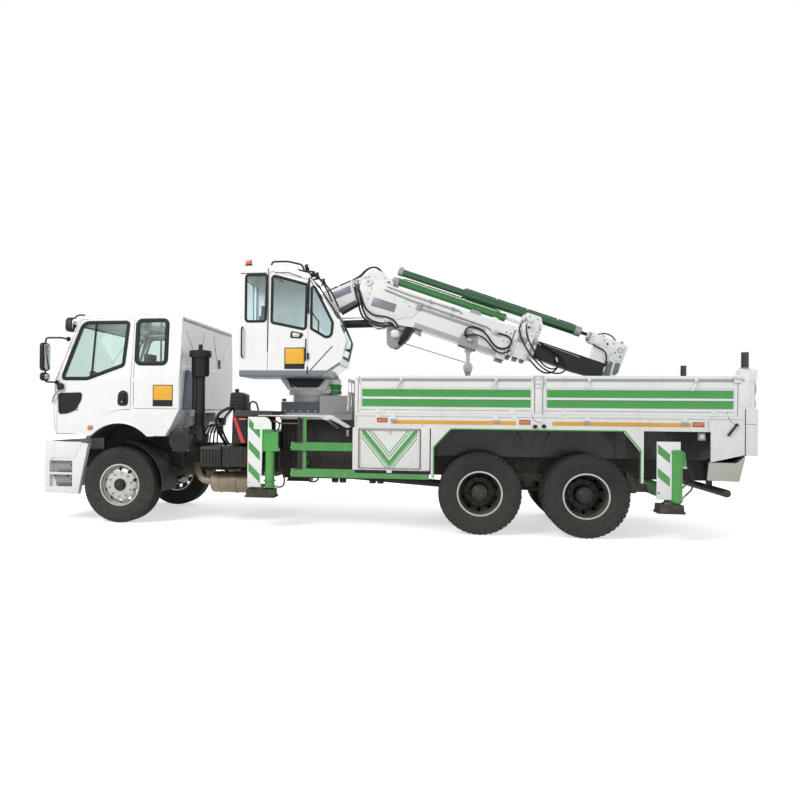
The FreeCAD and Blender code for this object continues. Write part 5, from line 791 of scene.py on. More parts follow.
def flowing(points, samples=12):
    """Points read along a smooth NURBS line through the middle of the given route."""
    curve = bpy.data.curves.new("route", "CURVE")
    curve.dimensions = "3D"
    spline = curve.splines.new("NURBS")
    spline.points.add(len(points) - 1)
    for item, point in zip(spline.points, points):
        item.co = (*point, 1.0)
    spline.order_u = 3
    spline.use_endpoint_u = True
    spline.resolution_u = samples
    holder = bpy.data.objects.new("route", curve)
    scene.collection.objects.link(holder)
    bpy.context.view_layer.update()
    mesh = bpy.data.meshes.new_from_object(holder.evaluated_get(bpy.context.evaluated_depsgraph_get()))
    line = [v.co.copy() for v in mesh.vertices]
    bpy.data.objects.remove(holder)
    return line


def hose(piece, points, radius, finish_name="hose rubber", ends=True, steps=8):
    """A hydraulic hose on its route, with a crimped fitting at each end."""
    line = flowing(points)
    section = [(radius * math.cos(2 * math.pi * i / steps), radius * math.sin(2 * math.pi * i / steps))
               for i in range(steps)]
    piece.sweep(line, section, finish_name)
    if ends:
        for tip, inner in ((line[0], line[2]), (line[-1], line[-3])):
            way = (inner - tip).normalized()
            piece.rod(tip - way * 0.012, tip + way * 0.045, radius * 1.35, "zinc", 10, 0.003)
            piece.rod(tip - way * 0.026, tip - way * 0.010, radius * 1.75, "zinc", 6, 0.002)


class Skin:
    """The outside of some CAD nodes, to lay trim on."""

    def __init__(self, *names):
        vertices, faces = [], []
        for name in names:
            mesh = NODES[name].data
            start = len(vertices)
            vertices.extend([v.co.copy() for v in mesh.vertices])
            faces.extend([[start + i for i in p.vertices] for p in mesh.polygons])
        self.tree = BVHTree.FromPolygons(vertices, faces)

    def touch(self, start, way):
        """Where a straight line first meets the skin, and the way that the skin faces there."""
        spot, normal, _, _ = self.tree.ray_cast(Vector(start), Vector(way))
        if spot is None:
            spot, normal, _, _ = self.tree.find_nearest(Vector(start))
        if normal.dot(Vector(way)) > 0:
            normal = -normal
        return spot, normal


LOOK = {"left": (0, 1, 0), "front": (1, 0, 0), "back": (-1, 0, 0), "top": (0, 0, -1)}


def cast_from(view, a, b):
    """A start outside the truck for a line that looks along a view at (a, b)."""
    return {
        "left": Vector((a, -1.6, b)),
        "front": Vector((AXLE - 2.2, a, b)),
        "back": Vector((AXLE + 1.6, a, b)),
        "top": Vector((a, b, 4.6)),
    }[view]


def laid(skin, view, points, closed=True, step=0.03):
    """Close points along an outline, laid on the skin, with the way that each faces."""
    corners = [Vector(p) for p in points]
    pairs = list(zip(corners, corners[1:])) + ([(corners[-1], corners[0])] if closed else [])
    line = []
    for a, b in pairs:
        count = max(1, int((b - a).length / step))
        line.extend([a.lerp(b, i / count) for i in range(count)])
    if not closed:
        line.append(corners[-1])
    return [skin.touch(cast_from(view, p[0], p[1]), LOOK[view]) for p in line]


def strip(piece, skin, view, points, width, height, finish_name, closed=True, sink=0.002, shift=0.0, step=0.03):
    """A strip of rubber or metal that follows an outline on the skin."""
    spots = laid(skin, view, points, closed, step)
    path = [spot + normal * shift for spot, normal in spots]
    ups = [normal for _, normal in spots]
    half = width / 2
    section = [(-half, -sink), (-half, height * 0.6), (-half * 0.6, height), (half * 0.6, height),
               (half, height * 0.6), (half, -sink)]
    piece.sweep(path, section, finish_name, closed, ups)


def shifted(points, offset):
    """The outline grown outwards by an offset."""
    count = len(points)
    area = sum(points[i - 1][0] * points[i][1] - points[i][0] * points[i - 1][1] for i in range(count))
    sign = 1 if area > 0 else -1
    result = []
    for i in range(count):
        before, here, after = Vector(points[i - 1]), Vector(points[i]), Vector(points[(i + 1) % count])
        a, b = (here - before).normalized(), (after - here).normalized()
        normal = (Vector((a.y, -a.x)) + Vector((b.y, -b.x)))
        if normal.length < 1e-6:
            normal = Vector((a.y, -a.x))
        normal.normalize()
        stretch = 1 / max(0.5, normal.dot(Vector((a.y, -a.x))))
        result.append(here + normal * offset * sign * stretch)
    return result


# ---------------------------------------------------------------- repeated parts

def geometry_tree(name, inputs):
    """A Geometry Nodes tree with named inputs, its helper, and the sockets of its inputs."""
    kinds = {float: "NodeSocketFloat", int: "NodeSocketInt", tuple: "NodeSocketVector"}
    tree = bpy.data.node_groups.new(name, "GeometryNodeTree")
    tree.interface.new_socket("Geometry", in_out="INPUT", socket_type="NodeSocketGeometry")
    for title, value in inputs.items():
        if isinstance(value, str):
            tree.interface.new_socket(title, in_out="INPUT", socket_type=value)
            continue
        socket = tree.interface.new_socket(title, in_out="INPUT", socket_type=kinds[type(value)])
        socket.default_value = value
    tree.interface.new_socket("Geometry", in_out="OUTPUT", socket_type="NodeSocketGeometry")
    t = Tree(tree)
    source = t.add("NodeGroupInput").outputs
    return tree, t, source


def close_tree(t, geometry, source):
    real = t.add("GeometryNodeRealizeInstances", {"Geometry": geometry}).outputs[0]
    dressed = t.add("GeometryNodeSetMaterial", {"Geometry": real, "Material": source["Material"]}).outputs[0]
    t.add("NodeGroupOutput", {"Geometry": dressed})


def ring_tree():
    """A shape repeated round the Y axis, then moved to its centre."""
    tree, t, source = geometry_tree(
        "Ring of parts",
        {"Shape": "NodeSocketObject", "Material": "NodeSocketMaterial", "Count": 10, "Centre": (0.0, 0.0, 0.0),
         "First": 0.0, "Axis": (0.0, 1.0, 0.0)},
    )
    shape = t.add("GeometryNodeObjectInfo", {"Object": source["Shape"]}).outputs["Geometry"]
    points = t.add("GeometryNodePoints", {"Count": source["Count"]}).outputs[0]
    index = t.add("GeometryNodeInputIndex").outputs[0]
    turn = t.math("DIVIDE", t.math("MULTIPLY", index, 2 * math.pi), source["Count"])
    turn = t.math("ADD", turn, source["First"])
    spin = t.add("FunctionNodeAxisAngleToRotation", {"Axis": source["Axis"], "Angle": turn}).outputs[0]
    placed = t.add("GeometryNodeInstanceOnPoints", {"Points": points, "Instance": shape,
                                                    "Rotation": spin}).outputs[0]
    moved = t.add("GeometryNodeTransform", {"Geometry": placed, "Translation": source["Centre"]}).outputs[0]
    close_tree(t, moved, source)
    return tree


def row_tree():
    """A shape repeated in a straight row, one step after another."""
    tree, t, source = geometry_tree(
        "Row of parts",
        {"Shape": "NodeSocketObject", "Material": "NodeSocketMaterial", "Count": 10, "Start": (0.0, 0.0, 0.0),
         "Step": (0.1, 0.0, 0.0)},
    )
    shape = t.add("GeometryNodeObjectInfo", {"Object": source["Shape"]}).outputs["Geometry"]
    index = t.add("GeometryNodeInputIndex").outputs[0]
    reach = t.add("ShaderNodeVectorMath", {0: source["Step"], "Scale": index}, operation="SCALE").outputs[0]
    place = t.add("ShaderNodeVectorMath", {0: source["Start"], 1: reach}, operation="ADD").outputs[0]
    points = t.add("GeometryNodePoints", {"Count": source["Count"], "Position": place}).outputs[0]
    placed = t.add("GeometryNodeInstanceOnPoints", {"Points": points, "Instance": shape}).outputs[0]
    close_tree(t, placed, source)
    return tree


def spots_tree():
    """A shape set at each vertex of a mesh."""
    tree, t, source = geometry_tree(
        "Parts at spots",
        {"Shape": "NodeSocketObject", "Material": "NodeSocketMaterial", "Turn": (0.0, 0.0, 0.0)},
    )
    shape = t.add("GeometryNodeObjectInfo", {"Object": source["Shape"]}).outputs["Geometry"]
    placed = t.add(
        "GeometryNodeInstanceOnPoints",
        {"Points": source["Geometry"], "Instance": shape, "Rotation": source["Turn"]},
    ).outputs[0]
    close_tree(t, placed, source)
    return tree


REPEATS = {"ring": ring_tree(), "row": row_tree(), "spots": spots_tree()}


def repeated(kind, shape, finish_name, spots=(), **values):
    """The plain mesh that a repeating tree makes of a shape, which is a Piece."""
    mesh = bpy.data.meshes.new("shape")
    mesh.from_pydata(shape.vertices, [], shape.faces)
    holder = bpy.data.objects.new("shape", mesh)
    base = bpy.data.meshes.new("spots")
    base.from_pydata([tuple(s) for s in spots], [], [])
    item = bpy.data.objects.new("repeated", base)
    scene.collection.objects.link(holder)
    scene.collection.objects.link(item)
    modifier = item.modifiers.new("Repeat", "NODES")
    modifier.node_group = REPEATS[kind]
    wanted = {"Shape": holder, "Material": FINISHES[finish_name], **values}
    for socket in REPEATS[kind].interface.items_tree:
        if socket.in_out == "INPUT" and socket.name in wanted:
            modifier[socket.identifier] = wanted[socket.name]
    bpy.context.view_layer.update()
    graph = bpy.context.evaluated_depsgraph_get()
    result = bpy.data.meshes.new_from_object(item.evaluated_get(graph))
    for thing in (item, holder):
        bpy.data.objects.remove(thing)
    return result


def ring(piece, shape, finish_name, count, centre, first=0.0, axis=(0.0, 1.0, 0.0)):
    piece.take_mesh(
        repeated("ring", shape, finish_name, Count=count, Centre=tuple(centre), First=first, Axis=axis),
        finish_name
    )


def row(piece, shape, finish_name, count, start, step):
    piece.take_mesh(repeated("row", shape, finish_name, Count=count, Start=tuple(start), Step=tuple(step)),
                    finish_name)


def studs(piece, spots, way, finish_name="zinc", size=0.014, washer=True):
    """Bolt heads on a face that looks along way."""
    head = Piece("head", "", "")
    if washer:
        head.rod((0, 0, -0.002), (0, 0, size * 0.22), size * 1.25, finish_name, 12)
    head.rod((0, 0, size * 0.2), (0, 0, size * 0.95), size * 0.9, finish_name, 6, size * 0.12)
    turn = Vector((0, 0, 1)).rotation_difference(Vector(way)).to_euler()
    piece.take_mesh(repeated("spots", head, finish_name, spots=spots, Turn=tuple(turn)), finish_name)


# ---------------------------------------------------------------- wheels

def tyre_profile(radius, half, tread, depth):
    """Half-way round a tyre's section, from bead to bead, as (along, radius)."""
    wall = [
        (half * 0.76, 0.290),
        (half * 0.84, 0.300),
        (half * 0.90, 0.325),
        (half * 0.965, 0.365),
        (half * 0.995, 0.405),
        (half * 1.0, 0.432),
        (half * 0.985, 0.462),
        (half * 0.985, 0.470),
        (half * 0.955, 0.480),
        (half * 0.925, radius - 0.030),
        (half * 0.88, radius - 0.016),
        (tread, radius - depth * 0.8),
    ]
    left = [(-a, r) for a, r in wall]
    right = wall[::-1]
    floor = [(-tread * 0.5, radius - depth), (0, radius - depth), (tread * 0.5, radius - depth)]
    inner = [(half * 0.62, 0.312), (0, 0.33), (-half * 0.62, 0.312)]
    return left + floor + right + inner + left[:1]


def block(width, length, foot, top, skew=0.0, y=0.0):
    """One tread block standing on the casing at the top of the wheel."""
    shape = Piece("block", "", "")
    ease = 0.004
    low, high = foot, top
    x0, x1, y0, y1 = -length / 2, length / 2, y - width / 2, y + width / 2
    bottom = [(x0 - skew, y0), (x1 - skew, y0), (x1 + skew, y1), (x0 + skew, y1)]
    upper = [(x0 - skew + ease, y0 + ease), (x1 - skew - ease, y0 + ease), (x1 + skew - ease, y1 - ease),
             (x0 + skew + ease, y1 - ease)]
    vertices = [(*p, low) for p in bottom] + [(*p, high) for p in upper]
    faces = [[4, 5, 6, 7], [0, 1, 5, 4], [1, 2, 6, 5], [2, 3, 7, 6], [3, 0, 4, 7]]
    shape.take(vertices, faces, "seal rubber")
    return shape


def tyre(piece, centre, radius, look, lugs):
    """A tyre with a rib tread for steering or a block tread for traction."""
    half, tread, depth = 0.150, 0.122, 0.015
    piece.turned(tyre_profile(radius, half, tread, depth), centre, "y", look, 96)
    arc = 2 * math.pi * radius
    foot, top = radius - depth - 0.006, radius - 0.0006
    if lugs:
        count = 46
        length = arc / count
        for y, width, skew, share, first in (
            (-0.093, 0.060, 0.010, 0.66, 0.0),
            (0.093, 0.060, 0.010, 0.66, 0.5),
            (-0.030, 0.048, -0.012, 0.70, 0.25),
            (0.030, 0.048, -0.012, 0.70, 0.75),
        ):
            ring(piece, block(width, length * share, foot, top, skew, y), look, count, centre,
                 first * 2 * math.pi / count)
        shoulder = Piece("shoulder", "", "")
        shoulder.prism("side", [(-length * 0.28, radius - 0.075), (length * 0.28, radius - 0.075),
                                (length * 0.34, radius - 0.006), (-length * 0.34, radius - 0.006)],
                       0.120, 0.1445, look, 0.003, cuts=1)
        shoulder.prism("side", [(-length * 0.28, radius - 0.075), (length * 0.28, radius - 0.075),
                                (length * 0.34, radius - 0.006), (-length * 0.34, radius - 0.006)],
                       -0.1445, -0.120, look, 0.003, cuts=1)
        ring(piece, shoulder, look, count, centre)
    else:
        count = 64
        length = arc / count
        for y, width in ((-0.102, 0.036), (-0.052, 0.040), (0.0, 0.040), (0.052, 0.040), (0.102, 0.036)):
            ring(piece, block(width, length * 0.93, foot, top, 0.003, y), look, count, centre)
        nick = Piece("nick", "", "")
        nick.box((-length * 0.36, length * 0.36), (0.116, 0.140), (radius - 0.034, radius - 0.010), look, 0.003)
        nick.box((-length * 0.36, length * 0.36), (-0.140, -0.116), (radius - 0.034, radius - 0.010), look, 0.003)
        ring(piece, nick, look, count, centre)
    for side in (-1, 1):
        band = [(side * 0.1485, 0.392), (side * 0.1515, 0.394), (side * 0.1515, 0.3975), (side * 0.1485, 0.3995)]
        piece.turned(band + band[:1], centre, "y", look, 72)


def rim_from_cad(piece, node, centre, bright):
    """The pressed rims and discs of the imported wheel, without its plain tyres."""
    shape = bmesh.new()
    shape.from_mesh(NODES[node].data)
    bmesh.ops.remove_doubles(shape, verts=shape.verts, dist=1e-5)
    shape.verts.index_update()
    seen = set()
    keep = []
    for start in shape.faces:
        if start in seen:
            continue
        island, edge = [], [start]
        seen.add(start)
        while edge:
            face = edge.pop()
            island.append(face)
            for side in face.edges:
                for other in side.link_faces:
                    if other not in seen:
                        seen.add(other)
                        edge.append(other)
        reach = max(math.hypot(v.co.x - centre.x, v.co.z - centre.z) for f in island for v in f.verts)
        if reach < 0.40:
            keep.extend(island)
    kept = set(keep)
    gone = [f for f in shape.faces if f not in kept]
    bmesh.ops.delete(shape, geom=gone, context="FACES")
    shape.verts.index_update()
    looks = []
    for face in shape.faces:
        spot = face.calc_center_median()
        away = math.hypot(spot.x - centre.x, spot.z - centre.z)
        lip = away > 0.262 and abs(abs(spot.y) - 1.20) < 0.09
        hub = away < 0.11
        looks.append("dark rim" if hub or not (bright or lip) else "bright rim")
    piece.take([v.co for v in shape.verts], [[v.index for v in f.verts] for f in shape.faces], looks)
    shape.free()


def wheel_dressing(piece, centre, side, face, hub_face, hub_radius, bright):
    """Nuts, hub bolts, cap and valve. The faces say how far out the disc and the hub stand."""
    look = "bright rim" if bright else "dark rim"
    nut = Piece("nut", "", "")
    nut.rod((0, 0, 0.168), (0, side * 0.007, 0.168), 0.021, "zinc", 16)
    nut.rod((0, side * 0.006, 0.168), (0, side * 0.026, 0.168), 0.016, "zinc", 6, 0.002)
    nut.rod((0, side * 0.025, 0.168), (0, side * 0.040, 0.168), 0.009, "zinc", 8, 0.002)
    ring(piece, nut, look, 10, (centre.x, side * face, centre.z), 0.1)
    stud = Piece("stud", "", "")
    stud.rod((0, 0, hub_radius - 0.016), (0, side * 0.012, hub_radius - 0.016), 0.008, "zinc", 6, 0.002)
    ring(piece, stud, "dark rim", 10, (centre.x, side * hub_face, centre.z), 0.3)
    dome = [(-0.004, hub_radius - 0.034), (0.008, hub_radius - 0.036), (0.018, hub_radius - 0.05), (0.020, 0.0)]
    piece.turned([(side * a, r) for a, r in dome], (centre.x, side * hub_face, centre.z), "y", "dark rim", 36)
    valve = (centre.x + 0.240, side * (face - 0.03), centre.z + 0.105)
    piece.rod(valve, (valve[0] + 0.006, valve[1] + side * 0.05, valve[2] + 0.003), 0.006, "brass", 8)


def wheels():
    for end, radius, lugs in (("front", 0.538, False), ("first_rear", 0.545, True), ("last_rear", 0.545, True)):
        for side, name in ((-1, "left"), (1, "right")):
            node = f"{end}_{name}_wheel"
            centre = middle(node)
            look = end.split("_")[0] + " tyre"
            piece = Piece(f"{node}_dressed", node, "tyre")
            rim_from_cad(piece, node, centre, not lugs)
            outer = Vector((centre.x, side * 1.05, centre.z))
            tyre(piece, outer, radius, look, lugs)
            if lugs:
                tyre(piece, Vector((centre.x, side * 0.70, centre.z)), radius, look, True)
            faces = (0.889, 1.070, 0.108) if lugs else (1.155, 1.201, 0.070)
            wheel_dressing(piece, centre, side, *faces, not lugs)
            piece.done(node, smooth=32)


# ---------------------------------------------------------------- camera, lamps and floor

def camera():
    place = Vector((AXLE + 4.7293, -10.6537, 1.5759))
    yaw, pitch, roll = math.radians(8.52), math.radians(0.314), math.radians(0.577)
    ahead = Vector((-math.sin(yaw) * math.cos(pitch), math.cos(yaw) * math.cos(pitch), math.sin(pitch)))
    right = Vector((math.cos(yaw), math.sin(yaw), 0))
    up = right.cross(ahead)
    right, up = (right * math.cos(roll) + up * math.sin(roll)), (up * math.cos(roll) - right * math.sin(roll))
    data = bpy.data.cameras.new("camera")
    data.sensor_width = 36
    data.lens = 31.78
    data.shift_x = 0.0628
    data.shift_y = 0.0131
    data.clip_end = 200
    item = bpy.data.objects.new("camera", data)
    item.matrix_world = Matrix((right, up, -ahead)).transposed().to_4x4()
    item.matrix_world.translation = place
    scene.collection.objects.link(item)
    scene.camera = item


def lamp(name, place, aim, size, power, colour=(1, 1, 1)):
    """An area lamp at a place, aimed at a point."""
    data = bpy.data.lights.new(name, "AREA")
    data.shape = "RECTANGLE"
    data.size, data.size_y = size
    data.energy = power
    data.color = colour
    item = bpy.data.objects.new(name, data)
    item.location = place
    item.rotation_euler = (Vector(aim) - Vector(place)).to_track_quat("-Z", "Y").to_euler()
    scene.collection.objects.link(item)


def seen_rays(t):
    """One for the rays of the camera, of mirrors and of glass, and none for every other ray."""
    path = t.add("ShaderNodeLightPath").outputs
    seen = t.math("MAXIMUM", path["Is Camera Ray"], path["Is Glossy Ray"])
    seen = t.math("MAXIMUM", seen, path["Is Transmission Ray"])
    return seen


def studio():
    """The white world, three lamps and the floor."""
    world = bpy.data.worlds.new("studio")
    scene.world = world
    world.use_nodes = True
    world.node_tree.nodes.clear()
    t = Tree(world.node_tree)
    seen = seen_rays(t)
    soft = t.add("ShaderNodeBackground", {"Color": (0.93, 0.96, 1.0, 1), "Strength": 0.5})
    white = t.add("ShaderNodeBackground", {"Color": (1, 1, 1, 1), "Strength": 1.0})
    mix = t.add("ShaderNodeMixShader", {0: seen, 1: soft.outputs[0], 2: white.outputs[0]})
    t.add("ShaderNodeOutputWorld", {"Surface": mix.outputs[0]})
    lamp("key", (-7.5, -11.0, 10.5), (0, 0, 1.2), (6, 6), 1500, (1.0, 0.98, 0.95))
    lamp("fill", (9.0, -9.0, 6.0), (0.5, 0, 1.2), (7, 5), 260)
    lamp("back", (1.0, 11.0, 8.0), (0, 0, 1.4), (9, 5), 500)
    scene.view_settings.view_transform = "Standard"

    mesh = bpy.data.meshes.new("floor")
    reach = 60
    mesh.from_pydata(oblong((-reach, reach), (-reach, reach), 0), [], [(0, 1, 2, 3)])
    floor = bpy.data.objects.new("floor", mesh)
    scene.collection.objects.link(floor)
    material, t = empty_material("floor")
    plain = t.add("ShaderNodeBsdfDiffuse", {"Color": (0.72, 0.72, 0.72, 1)})
    place = t.xyz()
    squares = [t.math("MULTIPLY", place[axis], place[axis]) for axis in ("X", "Y")]
    away = t.math("SQRT", t.math("ADD", *squares))
    glow = t.add("ShaderNodeEmission", {"Color": (1, 1, 1, 1), "Strength": t.spread(away, 5.0, 18.0, 0.60, 1.0)})
    lift = t.add("ShaderNodeAddShader", {0: plain.outputs[0], 1: glow.outputs[0]})
    seen = seen_rays(t)
    mix = t.add("ShaderNodeMixShader", {0: seen, 1: plain.outputs[0], 2: lift.outputs[0]})
    t.add("ShaderNodeOutputMaterial", {"Surface": mix.outputs[0]})
    mesh.materials.append(material)


CAD_FINISHES = {
    "frame": "chassis black", "engine": "cast iron", "front_axle": "cast iron", "rear_axles": "cast iron",
    "front_bumper": "white paint", "chassis_boxes": "guard plastic", "silencer": "tan steel",
    "air_intake": "black plastic", "mudguards": "guard plastic", "side_guards": "guard green",
    "crane_base": "base white", "platform": "platform paint", "rear_stabilizers": "rear stabilizer paint",
    "toolbox": "bed white", "cab_shell": "white paint", "cab_glass": "window glass",
    "cab_interior": "cab trim grey", "cab_mirrors": "black plastic", "left_door": "white paint",
    "left_door_glass": "window glass", "right_door": "white paint", "right_door_glass": "window glass",
    "left_knuckle": "cast iron", "right_knuckle": "cast iron", "crane_column": "crane white",
    "crane_cab": "white paint", "crane_cab_glass": "crane glass", "crane_seat": "seat cloth",
    "crane_cab_door": "white paint", "crane_cab_door_glass": "crane glass", "inner_boom": "crane white",
    "lift_barrel": "cylinder black", "lift_rod": "chrome rod", "fold_barrel": "cylinder black",
    "fold_rod": "chrome rod", "outer_boom": "outer boom paint", "extension_cylinder_1": "boom green",
    "winch": "steel", "extension_1": "crane white", "extension_cylinder_2": "boom green",
    "extension_2": "boom end paint", "hook": "steel", "front_left_beam": "front stabilizer paint",
    "front_right_beam": "front stabilizer paint", "front_left_leg": "chassis black",
    "front_right_leg": "chassis black", "rear_left_leg": "chassis black", "rear_right_leg": "chassis black",
    "front_left_board": "front board paint", "front_right_board": "front board paint",
    "rear_left_board": "rear board paint", "rear_right_board": "rear board paint",
    "tailgate": "bed white", "toolbox_door": "toolbox paint",
}


def dress_cad():
    for node, look in CAD_FINISHES.items():
        slots = NODES[node].material_slots
        for slot in slots:
            slot.material = FINISHES[look]



# ---------------------------------------------------------------- the truck's cab

QUARTER = oblong((at(0.252), at(0.665)), (2.281, 2.876))
DOOR_PANE = [(at(-0.868), 2.062, 0.03), (at(-0.499), 2.062, 0.12), (at(0.033), 2.254, 0.03),
             (at(0.083), 2.852, 0.025), (at(-0.588), 2.852, 0.11)]
SCREEN = [(-1.105, 2.04, 0.06), (1.105, 2.04, 0.06), (1.02, 2.83, 0.07), (-1.02, 2.83, 0.07)]


def round_corners(points, radius):
    return rounded([(*p[:2], radius) for p in points], 5)


def louvres(piece, low, high, y, count, look, depth=0.012):
    """Slanting blades inside a vent, between two (x, z) corners."""
    blade = Piece("blade", "", "")
    blade.prism("side", oblong((low[0], high[0]), (0, 0.006)), y - depth, y + 0.004, look, 0.0015)
    row(piece, blade, look, count, (0, 0, low[1]), (0, 0, (high[1] - low[1]) / (count - 1)))


def doors():
    """Window seal, divider, vent, handle and seams of the left door, and the same on the right one."""
    skin = Skin("left_door", "left_door_glass")
    piece = Piece("left_door_trim", "left_door", "black_plastic")
    strip(piece, skin, "left", shifted(rounded(DOOR_PANE), 0.010), 0.052, 0.010, "seal rubber", step=0.04)
    strip(piece, skin, "left", [(at(-0.43), 2.085), (at(-0.40), 2.835)], 0.030, 0.010, "seal rubber", closed=False,
          shift=0.018)
    vent = [(at(-0.935), 1.835, 0.03), (at(-0.575), 1.848, 0.03), (at(-0.592), 1.74, 0.10),
            (at(-0.68), 1.60, 0.12), (at(-0.80), 1.555, 0.08), (at(-0.925), 1.545, 0.03)]
    y = skin.touch(cast_from("left", at(-0.75), 1.7), LOOK["left"])[0].y
    piece.prism("side", vent, y - 0.008, y + 0.004, "grille black", 0.004)
    strip(piece, skin, "left", rounded(vent), 0.014, 0.014, "black plastic", step=0.03)
    louvres(piece, (at(-0.92), 1.60), (at(-0.63), 1.80), y - 0.002, 7, "black plastic")
    bowl = [(at(-0.035), 1.665, 0.05), (at(0.128), 1.665, 0.05), (at(0.128), 1.885, 0.08),
            (at(-0.02), 1.885, 0.08)]
    y = skin.touch(cast_from("left", at(0.05), 1.76), LOOK["left"])[0].y
    piece.prism("side", bowl, y - 0.009, y + 0.004, "black plastic", 0.005)
    grip = [(at(0.012), 1.70, 0.02), (at(0.080), 1.70, 0.02), (at(0.085), 1.86, 0.03), (at(0.005), 1.86, 0.03)]
    piece.prism("side", grip, y - 0.026, y - 0.006, "grille black", 0.007)
    piece.rod((at(0.045), y - 0.028, 1.722), (at(0.045), y - 0.024, 1.722), 0.012, "steel", 14, 0.001)
    strip(piece, skin, "left", [(at(-0.87), 2.040), (at(-0.50), 2.040), (at(0.03), 2.222)], 0.016, 0.012,
          "seal rubber", closed=False)
    strip(piece, skin, "left", [(at(-0.93), 1.36), (at(-0.52), 1.36)], 0.012, 0.003, "white paint", closed=False)
    piece.flipped("right_door_trim", "right_door").done()
    piece.done()


def mirrors():
    """Main and lower mirrors on a bent tube, the kerb mirror and the wide one over the screen."""
    piece = Piece("mirrors", "cab", "black_plastic")
    front, out = at(-1.061), -1.340
    piece.tube([(at(-0.963), -1.19, 1.995), (at(-0.975), out, 1.995), (front, out, 1.995), (front, out, 2.625),
                (at(-0.835), out, 2.625), (at(-0.823), -1.135, 2.625)], 0.0125, "black plastic", 12, 0.05)
    for x, z, y in ((at(-0.963), 1.995, -1.203), (at(-0.823), 2.625, -1.148)):
        piece.rod((x, y - 0.012, z), (x, y + 0.012, z), 0.034, "black plastic", 20, 0.006)
    for low, high, half in ((2.152, 2.553, 0.094), (2.010, 2.130, 0.088)):
        shell = oblong((out - half, out + half), (low, high), 0.055)
        piece.prism("front", shell, front - 0.040, front + 0.018, "black plastic", 0.020, steps=6, cuts=4)
        face = shifted(rounded(shell, 6), -0.014)
        piece.prism("front", [tuple(p) for p in face], front + 0.016, front + 0.026, "seal rubber", 0.002)
        face = shifted(rounded(shell, 6), -0.020)
        piece.prism("front", [tuple(p) for p in face], front + 0.024, front + 0.029, "mirror glass", 0.001)
    piece.mirrored()
    kerb = Piece("kerb_mirrors", "cab", "black_plastic")
    kerb.prism("front", [(-1.16, 2.74, 0.06), (-0.96, 2.74, 0.06), (-0.97, 2.95, 0.08), (-1.14, 2.95, 0.08)],
               at(-0.885), at(-0.78), "black plastic", 0.030, steps=6, cuts=4)
    kerb.prism("front", [(-1.14, 2.76, 0.05), (-0.98, 2.76, 0.05), (-0.985, 2.925, 0.06), (-1.125, 2.925, 0.06)],
               at(-0.782), at(-0.776), "mirror glass", 0.001)
    kerb.tube([(at(-0.80), -1.05, 2.93), (at(-0.74), -1.04, 2.99), (at(-0.64), -1.03, 2.985)], 0.012,
              "black plastic")
    kerb.prism("side", [(at(-0.93), 1.875, 0.03), (at(-0.845), 1.90, 0.04), (at(-0.835), 1.985, 0.04),
                        (at(-0.935), 1.99, 0.03)], -1.265, -1.215, "black plastic", 0.016, cuts=3)
    kerb.tube([(at(-0.90), -1.24, 1.89), (at(-0.985), -1.25, 1.80), (at(-1.03), -1.20, 1.70)], 0.011,
              "grey plastic")
    piece.done("cab_mirrors")
    kerb.done()


